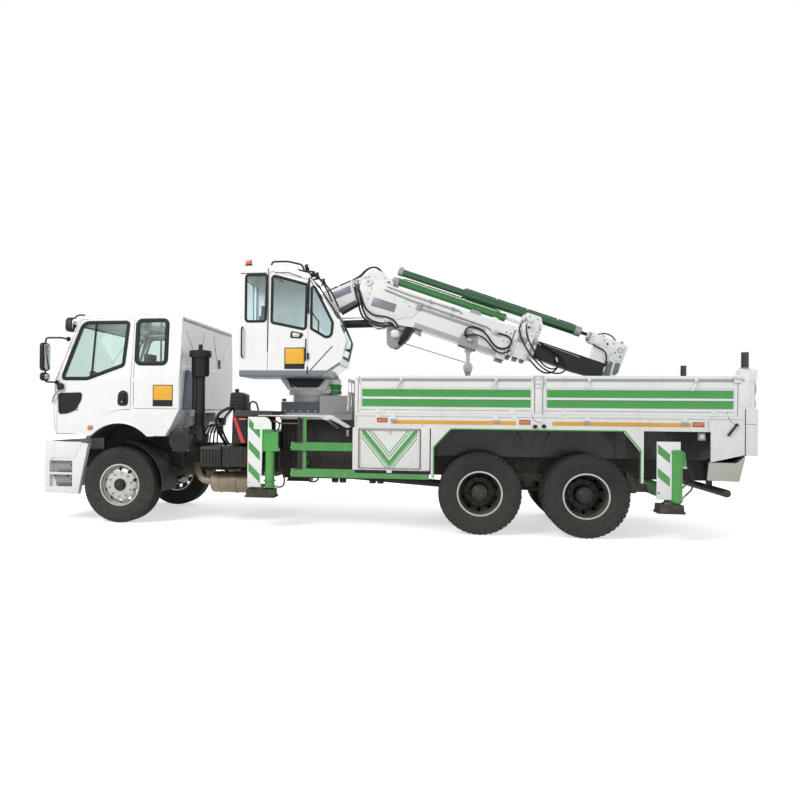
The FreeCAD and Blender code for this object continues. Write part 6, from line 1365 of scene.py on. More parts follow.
def front_face():
    """Screen seal, wipers, grille with its bars, bonnet seams and marker lamps."""
    skin = Skin("cab_shell", "cab_glass")
    piece = Piece("cab_front", "cab", "black_plastic")
    strip(piece, skin, "front", shifted(rounded(SCREEN), 0.008), 0.060, 0.008, "seal rubber", step=0.05)
    lower = [(-0.98, 1.30, 0.05), (0.98, 1.30, 0.05), (0.98, 1.66, 0.06), (-0.98, 1.66, 0.06)]
    strip(piece, skin, "front", rounded(lower), 0.020, 0.004, "seam shadow", step=0.06)
    for z in (1.36, 1.43, 1.50, 1.57):
        strip(piece, skin, "front", [(-0.92, z), (0.92, z)], 0.044, 0.014, "grille black", closed=False, step=0.12)
        strip(piece, skin, "front", [(-0.90, z + 0.026), (0.90, z + 0.026)], 0.008, 0.018, "black plastic",
              closed=False, step=0.12)
    strip(piece, skin, "front", [(-1.02, 1.99), (1.02, 1.99)], 0.050, 0.022, "black plastic", closed=False,
          step=0.1)
    strip(piece, skin, "front", [(-1.04, 1.72), (1.04, 1.72)], 0.006, 0.002, "seam shadow", closed=False, step=0.1)
    for root, tip in (((-0.62, 1.99), (0.10, 2.06)), ((0.12, 1.99), (0.86, 2.06))):
        foot, normal = skin.touch(cast_from("front", *root), LOOK["front"])
        piece.rod(foot - normal * 0.01, foot + normal * 0.05, 0.022, "black plastic", 16, 0.005)
        strip(piece, skin, "front", [root, tip], 0.020, 0.012, "black plastic", closed=False, shift=0.035)
        strip(piece, skin, "front", [(root[0] + 0.04, root[1] + 0.075), tip, (tip[0] + 0.05, tip[1] + 0.01)],
              0.012, 0.022, "seal rubber", closed=False, shift=0.010)
    for y in (-0.72, -0.36, 0.0, 0.36, 0.72):
        spot, normal = skin.touch(cast_from("top", at(-0.60), y), LOOK["top"])
        lens = [(spot.x - 0.045, spot.z - 0.01, 0.01), (spot.x + 0.045, spot.z - 0.004, 0.01),
                (spot.x + 0.035, spot.z + 0.030, 0.016), (spot.x - 0.035, spot.z + 0.022, 0.016)]
        piece.prism("side", lens, y - 0.055, y + 0.055, "amber lens", 0.008)
    horn, _ = skin.touch(cast_from("top", at(-0.33), -0.62), LOOK["top"])
    piece.prism("side", [(horn.x - 0.17, horn.z - 0.01), (horn.x + 0.17, horn.z - 0.01),
                         (horn.x + 0.14, horn.z + 0.040, 0.02),
                         (horn.x - 0.10, horn.z + 0.046, 0.02)], -0.74, -0.50, "black plastic", 0.010)
    hatch = oblong((at(-0.30), at(0.38)), (-0.33, 0.33), 0.06)
    strip(piece, skin, "top", rounded(hatch), 0.030, 0.014, "seal rubber", step=0.08)
    piece.prism("plan", [tuple(p) for p in shifted(rounded(hatch), -0.02)], 3.004, 3.028, "white paint", 0.008)
    piece.done()


def cab_sides():
    """Window seals, seams, plates, lamps, drip rails and the arch liners of the cab."""
    skin = Skin("cab_shell", "cab_glass")
    piece = Piece("cab_side_trim", "cab", "black_plastic")
    strip(piece, skin, "left", shifted(round_corners(QUARTER, 0.05), 0.012), 0.060, 0.010, "seal rubber",
          step=0.05)
    strip(piece, skin, "left", [(at(0.205), 1.66), (at(0.205), 2.95)], 0.007, 0.0015, "seam shadow",
          closed=False, step=0.1)
    strip(piece, skin, "left", [(at(0.21), 1.628), (at(0.86), 1.628)], 0.006, 0.0015, "seam shadow", closed=False,
          step=0.1)
    strip(piece, skin, "left", [(at(-0.66), 2.955), (at(0.20), 2.985), (at(0.84), 2.965)], 0.020, 0.010,
          "white paint", closed=False, step=0.08)
    strip(piece, skin, "left", [(at(-0.985), 1.30), (at(-1.03), 1.62), (at(-0.985), 1.99), (at(-0.66), 2.90)],
          0.006, 0.0015, "seam shadow", closed=False, step=0.08)
    arch = []
    for degree in range(28, 153, 4):
        turn = math.radians(degree)
        arch.append((AXLE + 0.590 * math.cos(turn), 0.837 + 0.590 * math.sin(turn)))
    strip(piece, skin, "left", arch, 0.020, 0.006, "white paint", closed=False, step=0.05)
    liner = [(AXLE + 0.585 * math.cos(math.radians(d)), 0.837 + 0.585 * math.sin(math.radians(d)))
             for d in range(38, 143, 5)]
    liner += [(AXLE + 0.575 * math.cos(math.radians(d)), 0.837 + 0.575 * math.sin(math.radians(d)))
              for d in range(142, 37, -5)]
    piece.prism("side", liner, -1.19, -0.62, "guard plastic")
    plate = oblong((at(0.496), at(0.793)), (1.662, 1.966), 0.006)
    piece.prism("side", plate, -1.2025, -1.199, "black plastic", 0.0006)
    piece.box((at(0.508), at(0.781)), (-1.2040, -1.2010), (1.752, 1.954), "yellow plate", 0.0006)
    lamp_at, _ = skin.touch(cast_from("left", at(-0.431), 1.335), LOOK["left"])
    piece.prism("side", [(at(-0.482), 1.322, 0.02), (at(-0.40), 1.322, 0.02), (at(-0.392), 1.372, 0.02),
                         (at(-0.45), 1.378, 0.03)], lamp_at.y - 0.020, lamp_at.y + 0.01, "amber lens", 0.006)
    piece.prism("side", [(at(-0.488), 1.316, 0.02), (at(-0.394), 1.316, 0.02), (at(-0.384), 1.378, 0.02),
                         (at(-0.452), 1.386, 0.03)], lamp_at.y - 0.008, lamp_at.y + 0.01, "grey plastic", 0.003)
    piece.mirrored()
    piece.done()


def cab_back():
    """Drip rail, pressed creases, vent, splash shields and the catch on the cab's rear wall."""
    skin = Skin("cab_shell")
    piece = Piece("cab_back_trim", "cab", "cab_white")
    strip(piece, skin, "back", [(-1.06, 2.905), (1.06, 2.905)], 0.034, 0.018, "grey plastic", closed=False,
          step=0.1)
    for a, b in (((-0.96, 2.76), (-0.46, 2.32)), ((-0.20, 2.80), (-0.42, 2.32)), ((0.20, 2.80), (0.42, 2.32)),
                 ((0.96, 2.76), (0.46, 2.32))):
        strip(piece, skin, "back", [a, b], 0.022, 0.007, "white paint", closed=False)
    strip(piece, skin, "back", [(-1.12, 2.235), (1.12, 2.235)], 0.016, 0.005, "white paint", closed=False,
          step=0.1)
    strip(piece, skin, "back", [(-1.12, 1.63), (1.12, 1.63)], 0.010, 0.004, "seam shadow", closed=False, step=0.1)
    for y in (-0.18, 0.42):
        piece.box((at(0.884), at(0.902)), (y, y + 0.10), (2.30, 2.44), "black plastic", 0.005)
        blade = Piece("blade", "", "")
        blade.box((at(0.896), at(0.907)), (y + 0.012, y + 0.088), (0.0, 0.008), "grille black", 0.002)
        row(piece, blade, "grille black", 6, (0, 0, 2.318), (0, 0, 0.02))
    for y, lean in ((-1.10, 0.05), (-0.72, -0.05)):
        fin = [(y, 1.62, 0.03), (y + 0.27, 1.62, 0.03), (y + 0.22 + lean, 2.17, 0.09),
               (y + 0.06 + lean, 2.21, 0.09)]
        piece.prism("front", fin, at(0.892), at(0.930), "slate plastic", 0.014, cuts=3)
    piece.box((at(0.885), at(0.99)), (-0.56, -0.46), (1.38, 1.50), "chassis black", 0.01)
    piece.box((at(0.885), at(0.99)), (0.46, 0.56), (1.38, 1.50), "chassis black", 0.01)
    piece.done()


def bumper():
    """Lamps, grille, plate, pockets and step treads of the bumper."""
    skin = Skin("front_bumper")
    piece = Piece("bumper_trim", "chassis", "black_plastic")
    intake = [(-0.60, 0.63, 0.05), (0.60, 0.63, 0.05), (0.66, 0.95, 0.06), (-0.66, 0.95, 0.06)]
    x = skin.touch(cast_from("front", 0.0, 0.8), LOOK["front"])[0].x
    piece.prism("front", intake, x - 0.006, x + 0.02, "grille black", 0.004)
    bar = Piece("bar", "", "")
    bar.box((x - 0.016, x), (-0.58, 0.58), (0.0, 0.016), "black plastic", 0.004)
    row(piece, bar, "black plastic", 6, (0, 0, 0.665), (0, 0, 0.048))
    piece.box((x - 0.012, x + 0.01), (-0.27, 0.27), (0.475, 0.60), "white lens", 0.004)
    piece.box((x - 0.009, x + 0.012), (-0.285, 0.285), (0.462, 0.613), "black plastic", 0.004)
    for way in (-1, 1):
        out = [(way * 0.70, 0.66, 0.04), (way * 1.06, 0.68, 0.05), (way * 1.08, 0.90, 0.06),
               (way * 0.72, 0.93, 0.05)]
        x1 = skin.touch(cast_from("front", way * 0.88, 0.8), LOOK["front"])[0].x
        piece.prism("front", out, x1 - 0.004, x1 + 0.03, "grille black", 0.006)
        for y, z, radius in ((0.80, 0.80, 0.078), (0.965, 0.80, 0.070)):
            bowl = [(0.0, radius), (-0.010, radius), (-0.010, radius - 0.010), (0.016, radius * 0.72),
                    (0.026, radius * 0.3), (0.028, 0.0)]
            piece.turned([(a, r) for a, r in bowl], (x1 - 0.006, way * y, z), "x", "chrome rod", 28)
            piece.turned([(0.0, radius * 0.98), (-0.008, radius * 0.86), (-0.014, radius * 0.5), (-0.016, 0.0)],
                         (x1 - 0.016, way * y, z), "x", "lamp glass", 28)
        piece.box((x1 - 0.014, x1 + 0.01), (way * 0.74, way * 1.04) if way > 0 else (-1.04, -0.74), (0.695, 0.722),
                  "amber lens", 0.004)
        x2 = skin.touch(cast_from("front", way * 0.86, 0.52), LOOK["front"])[0].x
        piece.rod((x2 - 0.010, way * 0.86, 0.53), (x2 + 0.02, way * 0.86, 0.53), 0.055, "white lens", 24, 0.006)
        piece.rod((x2 - 0.014, way * 0.86, 0.53), (x2 + 0.012, way * 0.86, 0.53), 0.064, "black plastic", 24,
                  0.004)
    side = Piece("bumper_side", "chassis", "black_plastic")
    side.prism("side", [(at(-0.981), 0.906, 0.02), (at(-0.671), 0.906, 0.02), (at(-0.60), 1.05, 0.03),
                        (at(-0.545), 1.143, 0.02),
                        (at(-0.981), 1.147, 0.02)], -1.222, -1.212, "white paint", 0.004)
    pocket = [(at(-1.052), 0.868, 0.02), (at(-0.708), 0.868, 0.02), (at(-0.712), 0.506, 0.03),
              (at(-0.975), 0.506, 0.03)]
    strip(side, skin, "left", rounded(pocket), 0.010, 0.003, "seam shadow", step=0.05)
    inner = -1.1525
    side.prism("side", [(at(-1.05), 0.87), (at(-0.71), 0.87), (at(-0.71), 0.504), (at(-0.97), 0.504)],
               inner - 0.004, inner + 0.004, "grey plastic")
    rib = Piece("rib", "", "")
    rib.box((at(-0.96), at(-0.72)), (-1.212, -1.155), (0.0, 0.007), "grey plastic", 0.002)
    row(side, rib, "grey plastic", 3, (0, 0, 0.515), (0, 0, 0.018))
    row(side, rib, "grey plastic", 3, (0, 0, 0.702), (0, 0, 0.018))
    studs(side, [(at(-0.80), inner - 0.004, 0.655), (at(-0.80), inner - 0.004, 0.735),
                 (at(-0.74), inner - 0.004, 0.60),
                 (at(-0.74), inner - 0.004, 0.80)], (0, -1, 0), "black plastic", 0.014)
    strip(side, skin, "left", [(at(-0.981), 1.14), (at(-0.981), 0.91), (at(-1.045), 0.88)], 0.007, 0.002,
          "seam shadow", closed=False, step=0.04)
    side.mirrored()
    side.done()
    piece.done()


def intake_trim():
    """Ribs, clamps, bellows and the rain cap of the raised air intake."""
    x, z = at(0.893), 1.186
    piece = Piece("intake_trim", "chassis", "black_plastic")
    for y in (-1.13, -1.06, -0.72, -0.65):
        piece.turned([(0, 0.170), (0.004, 0.178), (0.020, 0.178), (0.024, 0.170)], (x, y, z), "y",
                     "black plastic", 48)
    piece.turned([(0, 0.165), (-0.012, 0.160), (-0.022, 0.140), (-0.022, 0.085), (-0.012, 0.075), (-0.010, 0.040),
                  (-0.018, 0.030), (-0.018, 0.0)], (x, -1.15, z), "y", "black plastic", 48)
    clip = Piece("clip", "", "")
    clip.box((-0.012, 0.012), (-0.045, 0.0), (0.166, 0.178), "zinc", 0.003)
    ring(piece, clip, "zinc", 5, (x, -1.10, z))
    tube_x, tube_y = at(1.103), -0.95
    for height in (1.36, 1.60, 2.06):
        piece.turned([(0, 0.069), (0.003, 0.075), (0.021, 0.075), (0.024, 0.069)], (tube_x, tube_y, height), "z",
                     "black plastic", 32)
    bellow = [(i * 0.012, 0.079 if i % 2 else 0.071) for i in range(17)]
    piece.turned(bellow, (tube_x, tube_y, 1.39), "z", "seal rubber", 32)
    fin = Piece("fin", "", "")
    fin.box((0.112, 0.126), (-0.004, 0.004), (0.0, 0.24), "black plastic", 0.002)
    ring(piece, fin, "black plastic", 24, (tube_x, tube_y, 2.12), axis=(0.0, 0.0, 1.0))
    piece.turned([(0, 0.150), (0.004, 0.160), (0.030, 0.160), (0.055, 0.140), (0.075, 0.090), (0.085, 0.032)],
                 (tube_x, tube_y, 2.398), "z", "black plastic", 40)
    piece.tube([(x + 0.02, -0.90, z + 0.10), (x + 0.13, -0.93, z + 0.16), (tube_x, tube_y, z + 0.21),
                (tube_x, tube_y, 1.40)],
               0.066, "seal rubber", 20, 0.12)
    piece.done()


# ---------------------------------------------------------------- the crane

def sl(x):
    """The X of a station, measured rearwards from the slewing axis."""
    return SLEW + x


CRANE_SIDE = [(sl(-0.740), 2.855), (sl(-0.470), 2.855), (sl(-0.452), 3.488), (sl(-0.740), 3.488)]
CRANE_NOSE = [(sl(0.186), 2.744, 0.02), (sl(0.450), 2.590, 0.06), (sl(0.470), 2.820, 0.06),
              (sl(0.186), 3.372, 0.02)]
CRANE_DOOR_PANE = [(sl(-0.372), 2.835, 0.03), (sl(0.096), 2.738, 0.03), (sl(0.110), 3.340, 0.03),
                   (sl(-0.365), 3.474, 0.03)]


# The section of a flat seal round the panes of the crane's cab.
SEAL_BAR = [(-0.018, -0.004), (-0.018, 0.010), (0.018, 0.010), (0.018, -0.004)]


def crane_cab_trim():
    """Seals, seams, lamps, rails, beacon and the grey chin of the crane's cab."""
    skin = Skin("crane_cab", "crane_cab_glass", "crane_cab_door")
    piece = Piece("crane_cab_trim", "crane", "black_plastic")
    strip(piece, skin, "left", shifted(round_corners(CRANE_SIDE, 0.035), 0.006), 0.036, 0.008, "seal rubber",
          step=0.05)
    strip(piece, skin, "left", shifted(rounded(CRANE_NOSE), 0.006), 0.036, 0.008, "seal rubber", step=0.04)
    strip(piece, skin, "left", [(sl(-0.43), 3.585), (sl(-0.435), 2.115)], 0.014, 0.003, "seam shadow",
          closed=False, step=0.1)
    strip(piece, skin, "left", [(sl(0.145), 3.44), (sl(0.130), 2.115)], 0.022, 0.006, "seal rubber",
          closed=False, step=0.1)
    strip(piece, skin, "left", [(sl(-0.825), 3.515), (sl(-0.15), 3.515), (sl(0.16), 3.405), (sl(0.34), 3.15)],
          0.012, 0.004, "seam shadow", closed=False, step=0.06)
    strip(piece, skin, "left", [(sl(0.475), 2.50), (sl(0.16), 2.16)], 0.014, 0.004, "seam shadow",
          closed=False, step=0.06)
    front = []
    for z in [2.36 + 0.06 * i for i in range(19)]:
        spot, normal = skin.tree.ray_cast(Vector((SLEW + 1.4, -0.82, z)), Vector((-1, 0, 0)))[:2]
        front.append((spot, normal if normal.x > 0 else -normal))
    for y in (-1.130, -0.506):
        path = [Vector((spot.x, y, spot.z)) for spot, _ in front]
        piece.sweep(path, SEAL_BAR, "seal rubber", False,
                    [n for _, n in front])
    for i in (0, len(front) - 1):
        spot, normal = front[i]
        piece.sweep([Vector((spot.x, -1.13, spot.z)), Vector((spot.x, -0.506, spot.z))],
                    SEAL_BAR, "seal rubber", False, [normal, normal])
    wiper, way = front[2]
    piece.rod(Vector((wiper.x, -0.82, wiper.z)) - way * 0.01, Vector((wiper.x, -0.82, wiper.z)) + way * 0.05, 0.02,
              "black plastic", 14, 0.004)
    arm = [Vector((spot.x, -0.80 + 0.012 * i, spot.z)) + normal * 0.030
           for i, (spot, normal) in enumerate(front[2:12])]
    piece.sweep(arm, [(-0.006, 0), (-0.006, 0.01), (0.006, 0.01), (0.006, 0)], "black plastic", False,
                [n for _, n in front[2:12]])
    back = oblong((-1.11, -0.526), (2.90, 3.47))
    xb = sl(-0.834)
    ringed = [Vector((xb - 0.001, p[0], p[1])) for p in shifted(round_corners(back, 0.04), 0.008)]
    piece.sweep(ringed, [(-0.018, -0.002), (-0.018, 0.010), (0.018, 0.010), (0.018, -0.002)], "seal rubber", True,
                [Vector((-1, 0, 0))] * len(ringed))
    chin = [(sl(-0.834), 2.098), (sl(0.355), 2.098, 0.04), (sl(0.60), 2.262, 0.05), (sl(0.575), 2.285),
            (sl(0.40), 2.172, 0.04), (sl(-0.834), 2.172)]
    piece.prism("side", chin, -1.2035, -1.195, "blue grey steel", 0.002)
    piece.box((sl(-0.834), sl(0.33)), (-1.19, -0.44), (2.085, 2.101), "blue grey steel", 0.006)
    base = (sl(-0.735), -1.11, 3.630)
    piece.turned([(0, 0.062), (0.010, 0.062), (0.016, 0.052), (0.024, 0.050)], base, "z", "black plastic", 32)
    piece.turned([(0.018, 0.046), (0.030, 0.049), (0.060, 0.047), (0.088, 0.040), (0.101, 0.026),
                  (0.106, 0.0)], base, "z",
                 "beacon orange", 32)
    for i in range(4):
        piece.turned([(0, 0.0485), (0.002, 0.0505), (0.004, 0.0485)],
                     (base[0], base[1], base[2] + 0.034 + 0.013 * i), "z", "amber lens", 32)
    for y in (-1.10, -0.56):
        piece.tube([(sl(-0.42), y, 3.625), (sl(-0.40), y, 3.690), (sl(-0.18), y, 3.690), (sl(0.02), y, 3.640),
                    (sl(0.05), y, 3.565)], 0.013, "black plastic", 10, 0.05)
        piece.tube([(sl(0.07), y, 3.54), (sl(0.17), y, 3.55), (sl(0.34), y, 3.36), (sl(0.45), y, 3.12)], 0.012,
                   "black plastic", 10, 0.10)
    for x, z in ((sl(0.07), 3.60), (sl(0.22), 3.485)):
        for y in (-1.06, -0.60):
            piece.rod((x - 0.02, y, z - 0.055), (x + 0.012, y, z + 0.01), 0.010, "black plastic", 8)
            piece.rod((x - 0.012, y, z + 0.002), (x + 0.038, y, z + 0.014), 0.046, "black plastic", 24, 0.010)
            piece.rod((x + 0.036, y, z + 0.012), (x + 0.042, y, z + 0.015), 0.040, "lamp glass", 24, 0.002)
    hatch = oblong((sl(-0.66), sl(-0.26)), (-1.04, -0.62), 0.05)
    piece.prism("plan", hatch, 3.63, 3.652, "white paint", 0.008)
    grab = [(sl(-0.79), -1.196, 2.35), (sl(-0.79), -1.245, 2.37), (sl(-0.79), -1.245, 2.75),
            (sl(-0.79), -1.196, 2.77)]
    piece.tube(grab, 0.012, "black plastic", 10, 0.03)
    piece.box((sl(-0.842), sl(-0.832)), (-1.02, -0.62), (2.35, 2.75), "grille black", 0.004)
    slat = Piece("slat", "", "")
    slat.box((sl(-0.850), sl(-0.838)), (-1.0, -0.64), (0, 0.01), "black plastic", 0.003)
    row(piece, slat, "black plastic", 12, (0, 0, 2.375), (0, 0, 0.0318))
    piece.done()

    door_skin = Skin("crane_cab_door", "crane_cab_door_glass")
    leaf = Piece("crane_door_trim", "crane_door", "black_plastic")
    strip(leaf, door_skin, "left", shifted(rounded(CRANE_DOOR_PANE), 0.006), 0.038, 0.008, "seal rubber",
          step=0.05)
    handle = [(sl(-0.105), 2.715, 0.02), (sl(0.085), 2.675, 0.02), (sl(0.035), 2.605, 0.03),
              (sl(-0.115), 2.615, 0.02)]
    leaf.prism("side", handle, -1.206, -1.198, "black plastic", 0.003)
    leaf.prism("side", [(sl(-0.080), 2.690, 0.02), (sl(0.035), 2.668, 0.02), (sl(0.005), 2.625, 0.02),
                        (sl(-0.085), 2.630, 0.02)],
               -1.212, -1.204, "zinc", 0.003)
    leaf.box((sl(-0.192), sl(0.093)), (-1.2035, -1.199), (2.189, 2.484), "black plastic", 0.0006)
    leaf.box((sl(-0.178), sl(0.079)), (-1.2050, -1.202), (2.262, 2.470), "yellow plate", 0.0006)
    leaf.rod((sl(0.105), -1.208, 2.30), (sl(0.105), -1.208, 2.60), 0.008, "black plastic", 8)
    for z in (2.32, 2.95, 3.30):
        leaf.rod((sl(0.138), -1.212, z), (sl(0.138), -1.212, z + 0.09), 0.014, "black plastic", 12, 0.003)
    leaf.done()


def crane_seats():
    """Padded cushions over the seats' hard shells, in both cabs."""
    def pad(name, body, x, y, z, size, tilt, crown):
        wide, deep, thick = size
        shape = bmesh.new()
        n = 10
        grid = {}
        for i in range(n + 1):
            for j in range(n + 1):
                u, v = i / n * 2 - 1, j / n * 2 - 1
                puff = (1 - abs(u) ** 3.2) * (1 - abs(v) ** 3.2)
                pinch = 0.035 * (1 - abs(u) ** 2) * abs(v) ** 4 + 0.0
                side = 0.035 * (1 - abs(v) ** 2) * abs(u) ** 4
                seam = 0.010 * math.exp(-((abs(v) - 0.52) / 0.07) ** 2) * (1 - abs(u) ** 6)
                px, py = deep / 2 * u * (1 - pinch), wide / 2 * v * (1 - side)
                grid[i, j, 1] = shape.verts.new((px, py, thick * 0.5 + crown * puff - seam))
                grid[i, j, 0] = shape.verts.new((px, py, -thick * 0.5))
        for i in range(n):
            for j in range(n):
                shape.faces.new((grid[i, j, 1], grid[i + 1, j, 1], grid[i + 1, j + 1, 1], grid[i, j + 1, 1]))
                shape.faces.new((grid[i, j, 0], grid[i, j + 1, 0], grid[i + 1, j + 1, 0], grid[i + 1, j, 0]))
        for i in range(n):
            shape.faces.new((grid[i, 0, 0], grid[i + 1, 0, 0], grid[i + 1, 0, 1], grid[i, 0, 1]))
            shape.faces.new((grid[i + 1, n, 0], grid[i, n, 0], grid[i, n, 1], grid[i + 1, n, 1]))
            shape.faces.new((grid[0, i + 1, 0], grid[0, i, 0], grid[0, i, 1], grid[0, i + 1, 1]))
            shape.faces.new((grid[n, i, 0], grid[n, i + 1, 0], grid[n, i + 1, 1], grid[n, i, 1]))
        rims = [e for e in shape.edges if len(e.link_faces) == 2 and e.calc_face_angle(0) > 1.0]
        bmesh.ops.bevel(shape, geom=rims, offset=thick * 0.28, segments=3, profile=0.6, affect="EDGES",
                        clamp_overlap=True)
        place = Matrix.Translation((x, y, z)) @ Matrix.Rotation(math.radians(tilt), 4, "Y")
        bmesh.ops.transform(shape, matrix=place, verts=shape.verts)
        piece = Piece(name, body, "trim")
        piece.take_bmesh(shape, "seat cloth")
        piece.done()

    for name, y in (("driver", -0.72), ("mate", 0.72)):
        x, z = at(0.150), 1.470
        pad(f"{name}_cushion", "cab", x - 0.245, y, z + 0.372, (0.50, 0.46, 0.07), 2, 0.03)
        pad(f"{name}_backrest", "cab", x + 0.052, y, z + 0.60, (0.46, 0.44, 0.05), -80, 0.028)
    x, z = sl(-0.470), 2.1403
    pad("operator_cushion", "crane", x + 0.235, -0.818, z + 0.372, (0.46, 0.44, 0.07), -2, 0.03)
    pad("operator_backrest", "crane", x - 0.052, -0.818, z + 0.60, (0.42, 0.44, 0.05), 80, 0.028)


def pin_head(piece, x, z, y, radius, finish_name="crane white", way=-1):
    """A pin's end with its keeper plate, on a side face."""
    piece.rod((x, y - way * 0.012, z), (x, y + way * 0.022, z), radius, finish_name, 32, 0.006)
    piece.rod((x, y + way * 0.018, z), (x, y + way * 0.026, z), radius * 0.42, "steel", 20, 0.002)
    keeper = [(x - radius * 1.5, z + radius * 0.7, 0.008), (x + radius * 0.2, z + radius * 1.35, 0.008),
              (x + radius * 0.05, z + radius * 1.75, 0.008), (x - radius * 1.7, z + radius * 1.1, 0.008)]
    piece.prism("side", keeper, *sorted((y, y + way * 0.012)), finish_name, 0.002)


def column_trim():
    """Ring bolts, slewing motor, hoses and cables at the foot of the column."""
    piece = Piece("column_trim", "crane", "cab_white")
    bolt = Piece("bolt", "", "")
    bolt.rod((0.355, 0, 0), (0.355, 0, 0.012), 0.019, "zinc", 12)
    bolt.rod((0.355, 0, 0.011), (0.355, 0, 0.028), 0.014, "zinc", 6, 0.002)
    ring(piece, bolt, "zinc", 24, (SLEW, 0, 1.924), 0.05, (0.0, 0.0, 1.0))
    motor = (sl(0.38), -0.33, 1.872)
    piece.turned([(0.0, 0.086), (0.02, 0.090), (0.04, 0.086), (0.05, 0.080), (0.10, 0.082), (0.11, 0.092),
                  (0.135, 0.092),
                  (0.145, 0.080), (0.20, 0.078), (0.228, 0.060), (0.240, 0.0)], motor, "z", "green paint", 32)
    studs(piece, [(motor[0] + 0.07 * math.cos(a), motor[1] + 0.07 * math.sin(a), 2.008)
                  for a in (0.4, 1.97, 3.54, 5.11)],
          (0, 0, 1), "zinc", 0.012)
    for i, (dx, dy) in enumerate(((-0.03, -0.02), (0.03, -0.01), (0.0, 0.04))):
        hose(piece, [(motor[0] + dx, motor[1] + dy, 2.10), (motor[0] + dx, motor[1] + dy, 2.22),
                     (sl(0.26), -0.24 + 0.02 * i, 2.34), (sl(0.12), -0.215 - 0.012 * i, 2.30 + 0.05 * i),
                     (sl(0.05), -0.205, 2.15)], 0.014)
    for i in range(4):
        y = -0.205 - 0.002 * i
        x = sl(-0.10 + 0.045 * i)
        hose(piece, [(x, y, 2.02), (x, y - 0.012, 2.20), (x + 0.02, y - 0.008, 2.50), (x - 0.04, y - 0.010, 2.75),
                     (x - 0.16, y - 0.006, 2.95), (x - 0.22, y, 3.05)], 0.012)
        piece.rod((x, y, 2.0), (x, y, 2.03), 0.018, "zinc", 6, 0.002)
    for z in (2.28, 2.60):
        piece.box((sl(-0.14), sl(0.07)), (-0.232, -0.188), (z, z + 0.03), "steel", 0.005)
    piece.prism("side", [(sl(-0.30), 2.085), (sl(-0.16), 1.965), (sl(0.16), 1.965), (sl(0.26), 2.085)], -0.68,
                -0.52, "chassis black", 0.01)
    for i in range(5):
        hose(piece, [(sl(-0.26 + 0.09 * i), -0.63, 2.06), (sl(-0.25 + 0.09 * i), -0.57, 1.985),
                     (sl(-0.22 + 0.08 * i), -0.44, 1.96), (sl(-0.12 + 0.05 * i), -0.30, 1.955)], 0.013, ends=False)
    for way in (-1, 1):
        pin_head(piece, sl(-0.32), 3.10, way * 0.205, 0.055, "crane white", way)
        pin_head(piece, sl(0.20), 2.15, way * 0.082, 0.040, "crane white", way)
    piece.done()


def base_trim():
    """The bolted blue-grey plate, the white block and the filler cap on the crane's base. The blue-grey plate is
    painted shadow, where the crane's cab shades the base's chamfered side.
    """
    piece = Piece("base_trim", "chassis", "cab_white")
    y = -0.430
    # Painted shadow: the blue-grey plate stands for the cab's shade on the chamfered side of the base.
    piece.prism("side", [(sl(-0.42), 1.592), (sl(0.155), 1.592), (sl(0.26), 1.754), (sl(-0.42), 1.754)],
                y - 0.008, y + 0.004, "blue grey steel", 0.004)
    piece.box((sl(0.16), sl(0.62)), (y - 0.012, y), (1.590, 1.848), "base white", 0.006)
    studs(piece, [(sl(-0.36 + 0.115 * i), y - 0.008, 1.615) for i in range(5)], (0, -1, 0), "zinc", 0.012)
    piece.rod((sl(-0.395), -0.36, 1.76), (sl(-0.395), -0.36, 1.80), 0.03, "black plastic", 20, 0.006)
    piece.done()


# ---------------------------------------------------------------- the booms

def ob(u, w, y=0.0):
    """A point of the outer boom: u along it from the elbow's pin and w above that line."""
    return Vector((ELBOW.x + u * COSINE + w * SINE, y, ELBOW.z - u * SINE + w * COSINE))


def ob_slab(piece, points, y, finish_name, bevel=0.003):
    """An outline in the boom's own lengths, carried between two distances from the truck's middle."""
    outline = []
    for point in points:
        place = ob(point[0], point[1])
        outline.append((place.x, place.z, *point[2:]))
    piece.prism("side", outline, *sorted(y), finish_name, bevel)


def ob_block(piece, u, w, y, finish_name, bevel=0.004):
    """A block on the outer boom, between two lengths, two heights and two sides."""
    ob_slab(piece, oblong((u[0], u[1]), (w[0], w[1])), y, finish_name, bevel)


def ob_studs(piece, spots, y, size=0.012):
    """Bolt heads on a side face of the outer boom."""
    way = 1 if y > 0 else -1
    studs(piece, [ob(u, w, y) for u, w in spots], (0, way, 0), "zinc", size)


def name_plate(piece, outline, y, way):
    """A blank name plate on the outer boom's side."""
    ob_slab(piece, outline, (y, y + way * 0.004), "name plate grey", 0.0015)


def first_cylinder_sleeve():
    """The first extension cylinder's painted barrel and its end caps."""
    piece = Piece("first_cylinder_trim", "outer_boom", "cylinder_green")
    piece.rod(ob(0.360, 0.166), ob(2.078, 0.166), 0.055, "first cylinder green", 36, 0.004)
    for u in (0.352, 2.010):
        piece.rod(ob(u, 0.166), ob(u + 0.070, 0.166), 0.060, "first cylinder green", 36, 0.005)
    piece.tube([ob(0.44, 0.226, -0.02), ob(0.50, 0.231, -0.02), ob(1.90, 0.231, -0.02),
                ob(1.96, 0.224, -0.02)], 0.008,
               "first cylinder green", 8, 0.03)
    for u in (0.80, 1.40):
        ob_block(piece, (u, u + 0.03), (0.214, 0.240), (-0.036, -0.004), "zinc", 0.003)
    piece.done()


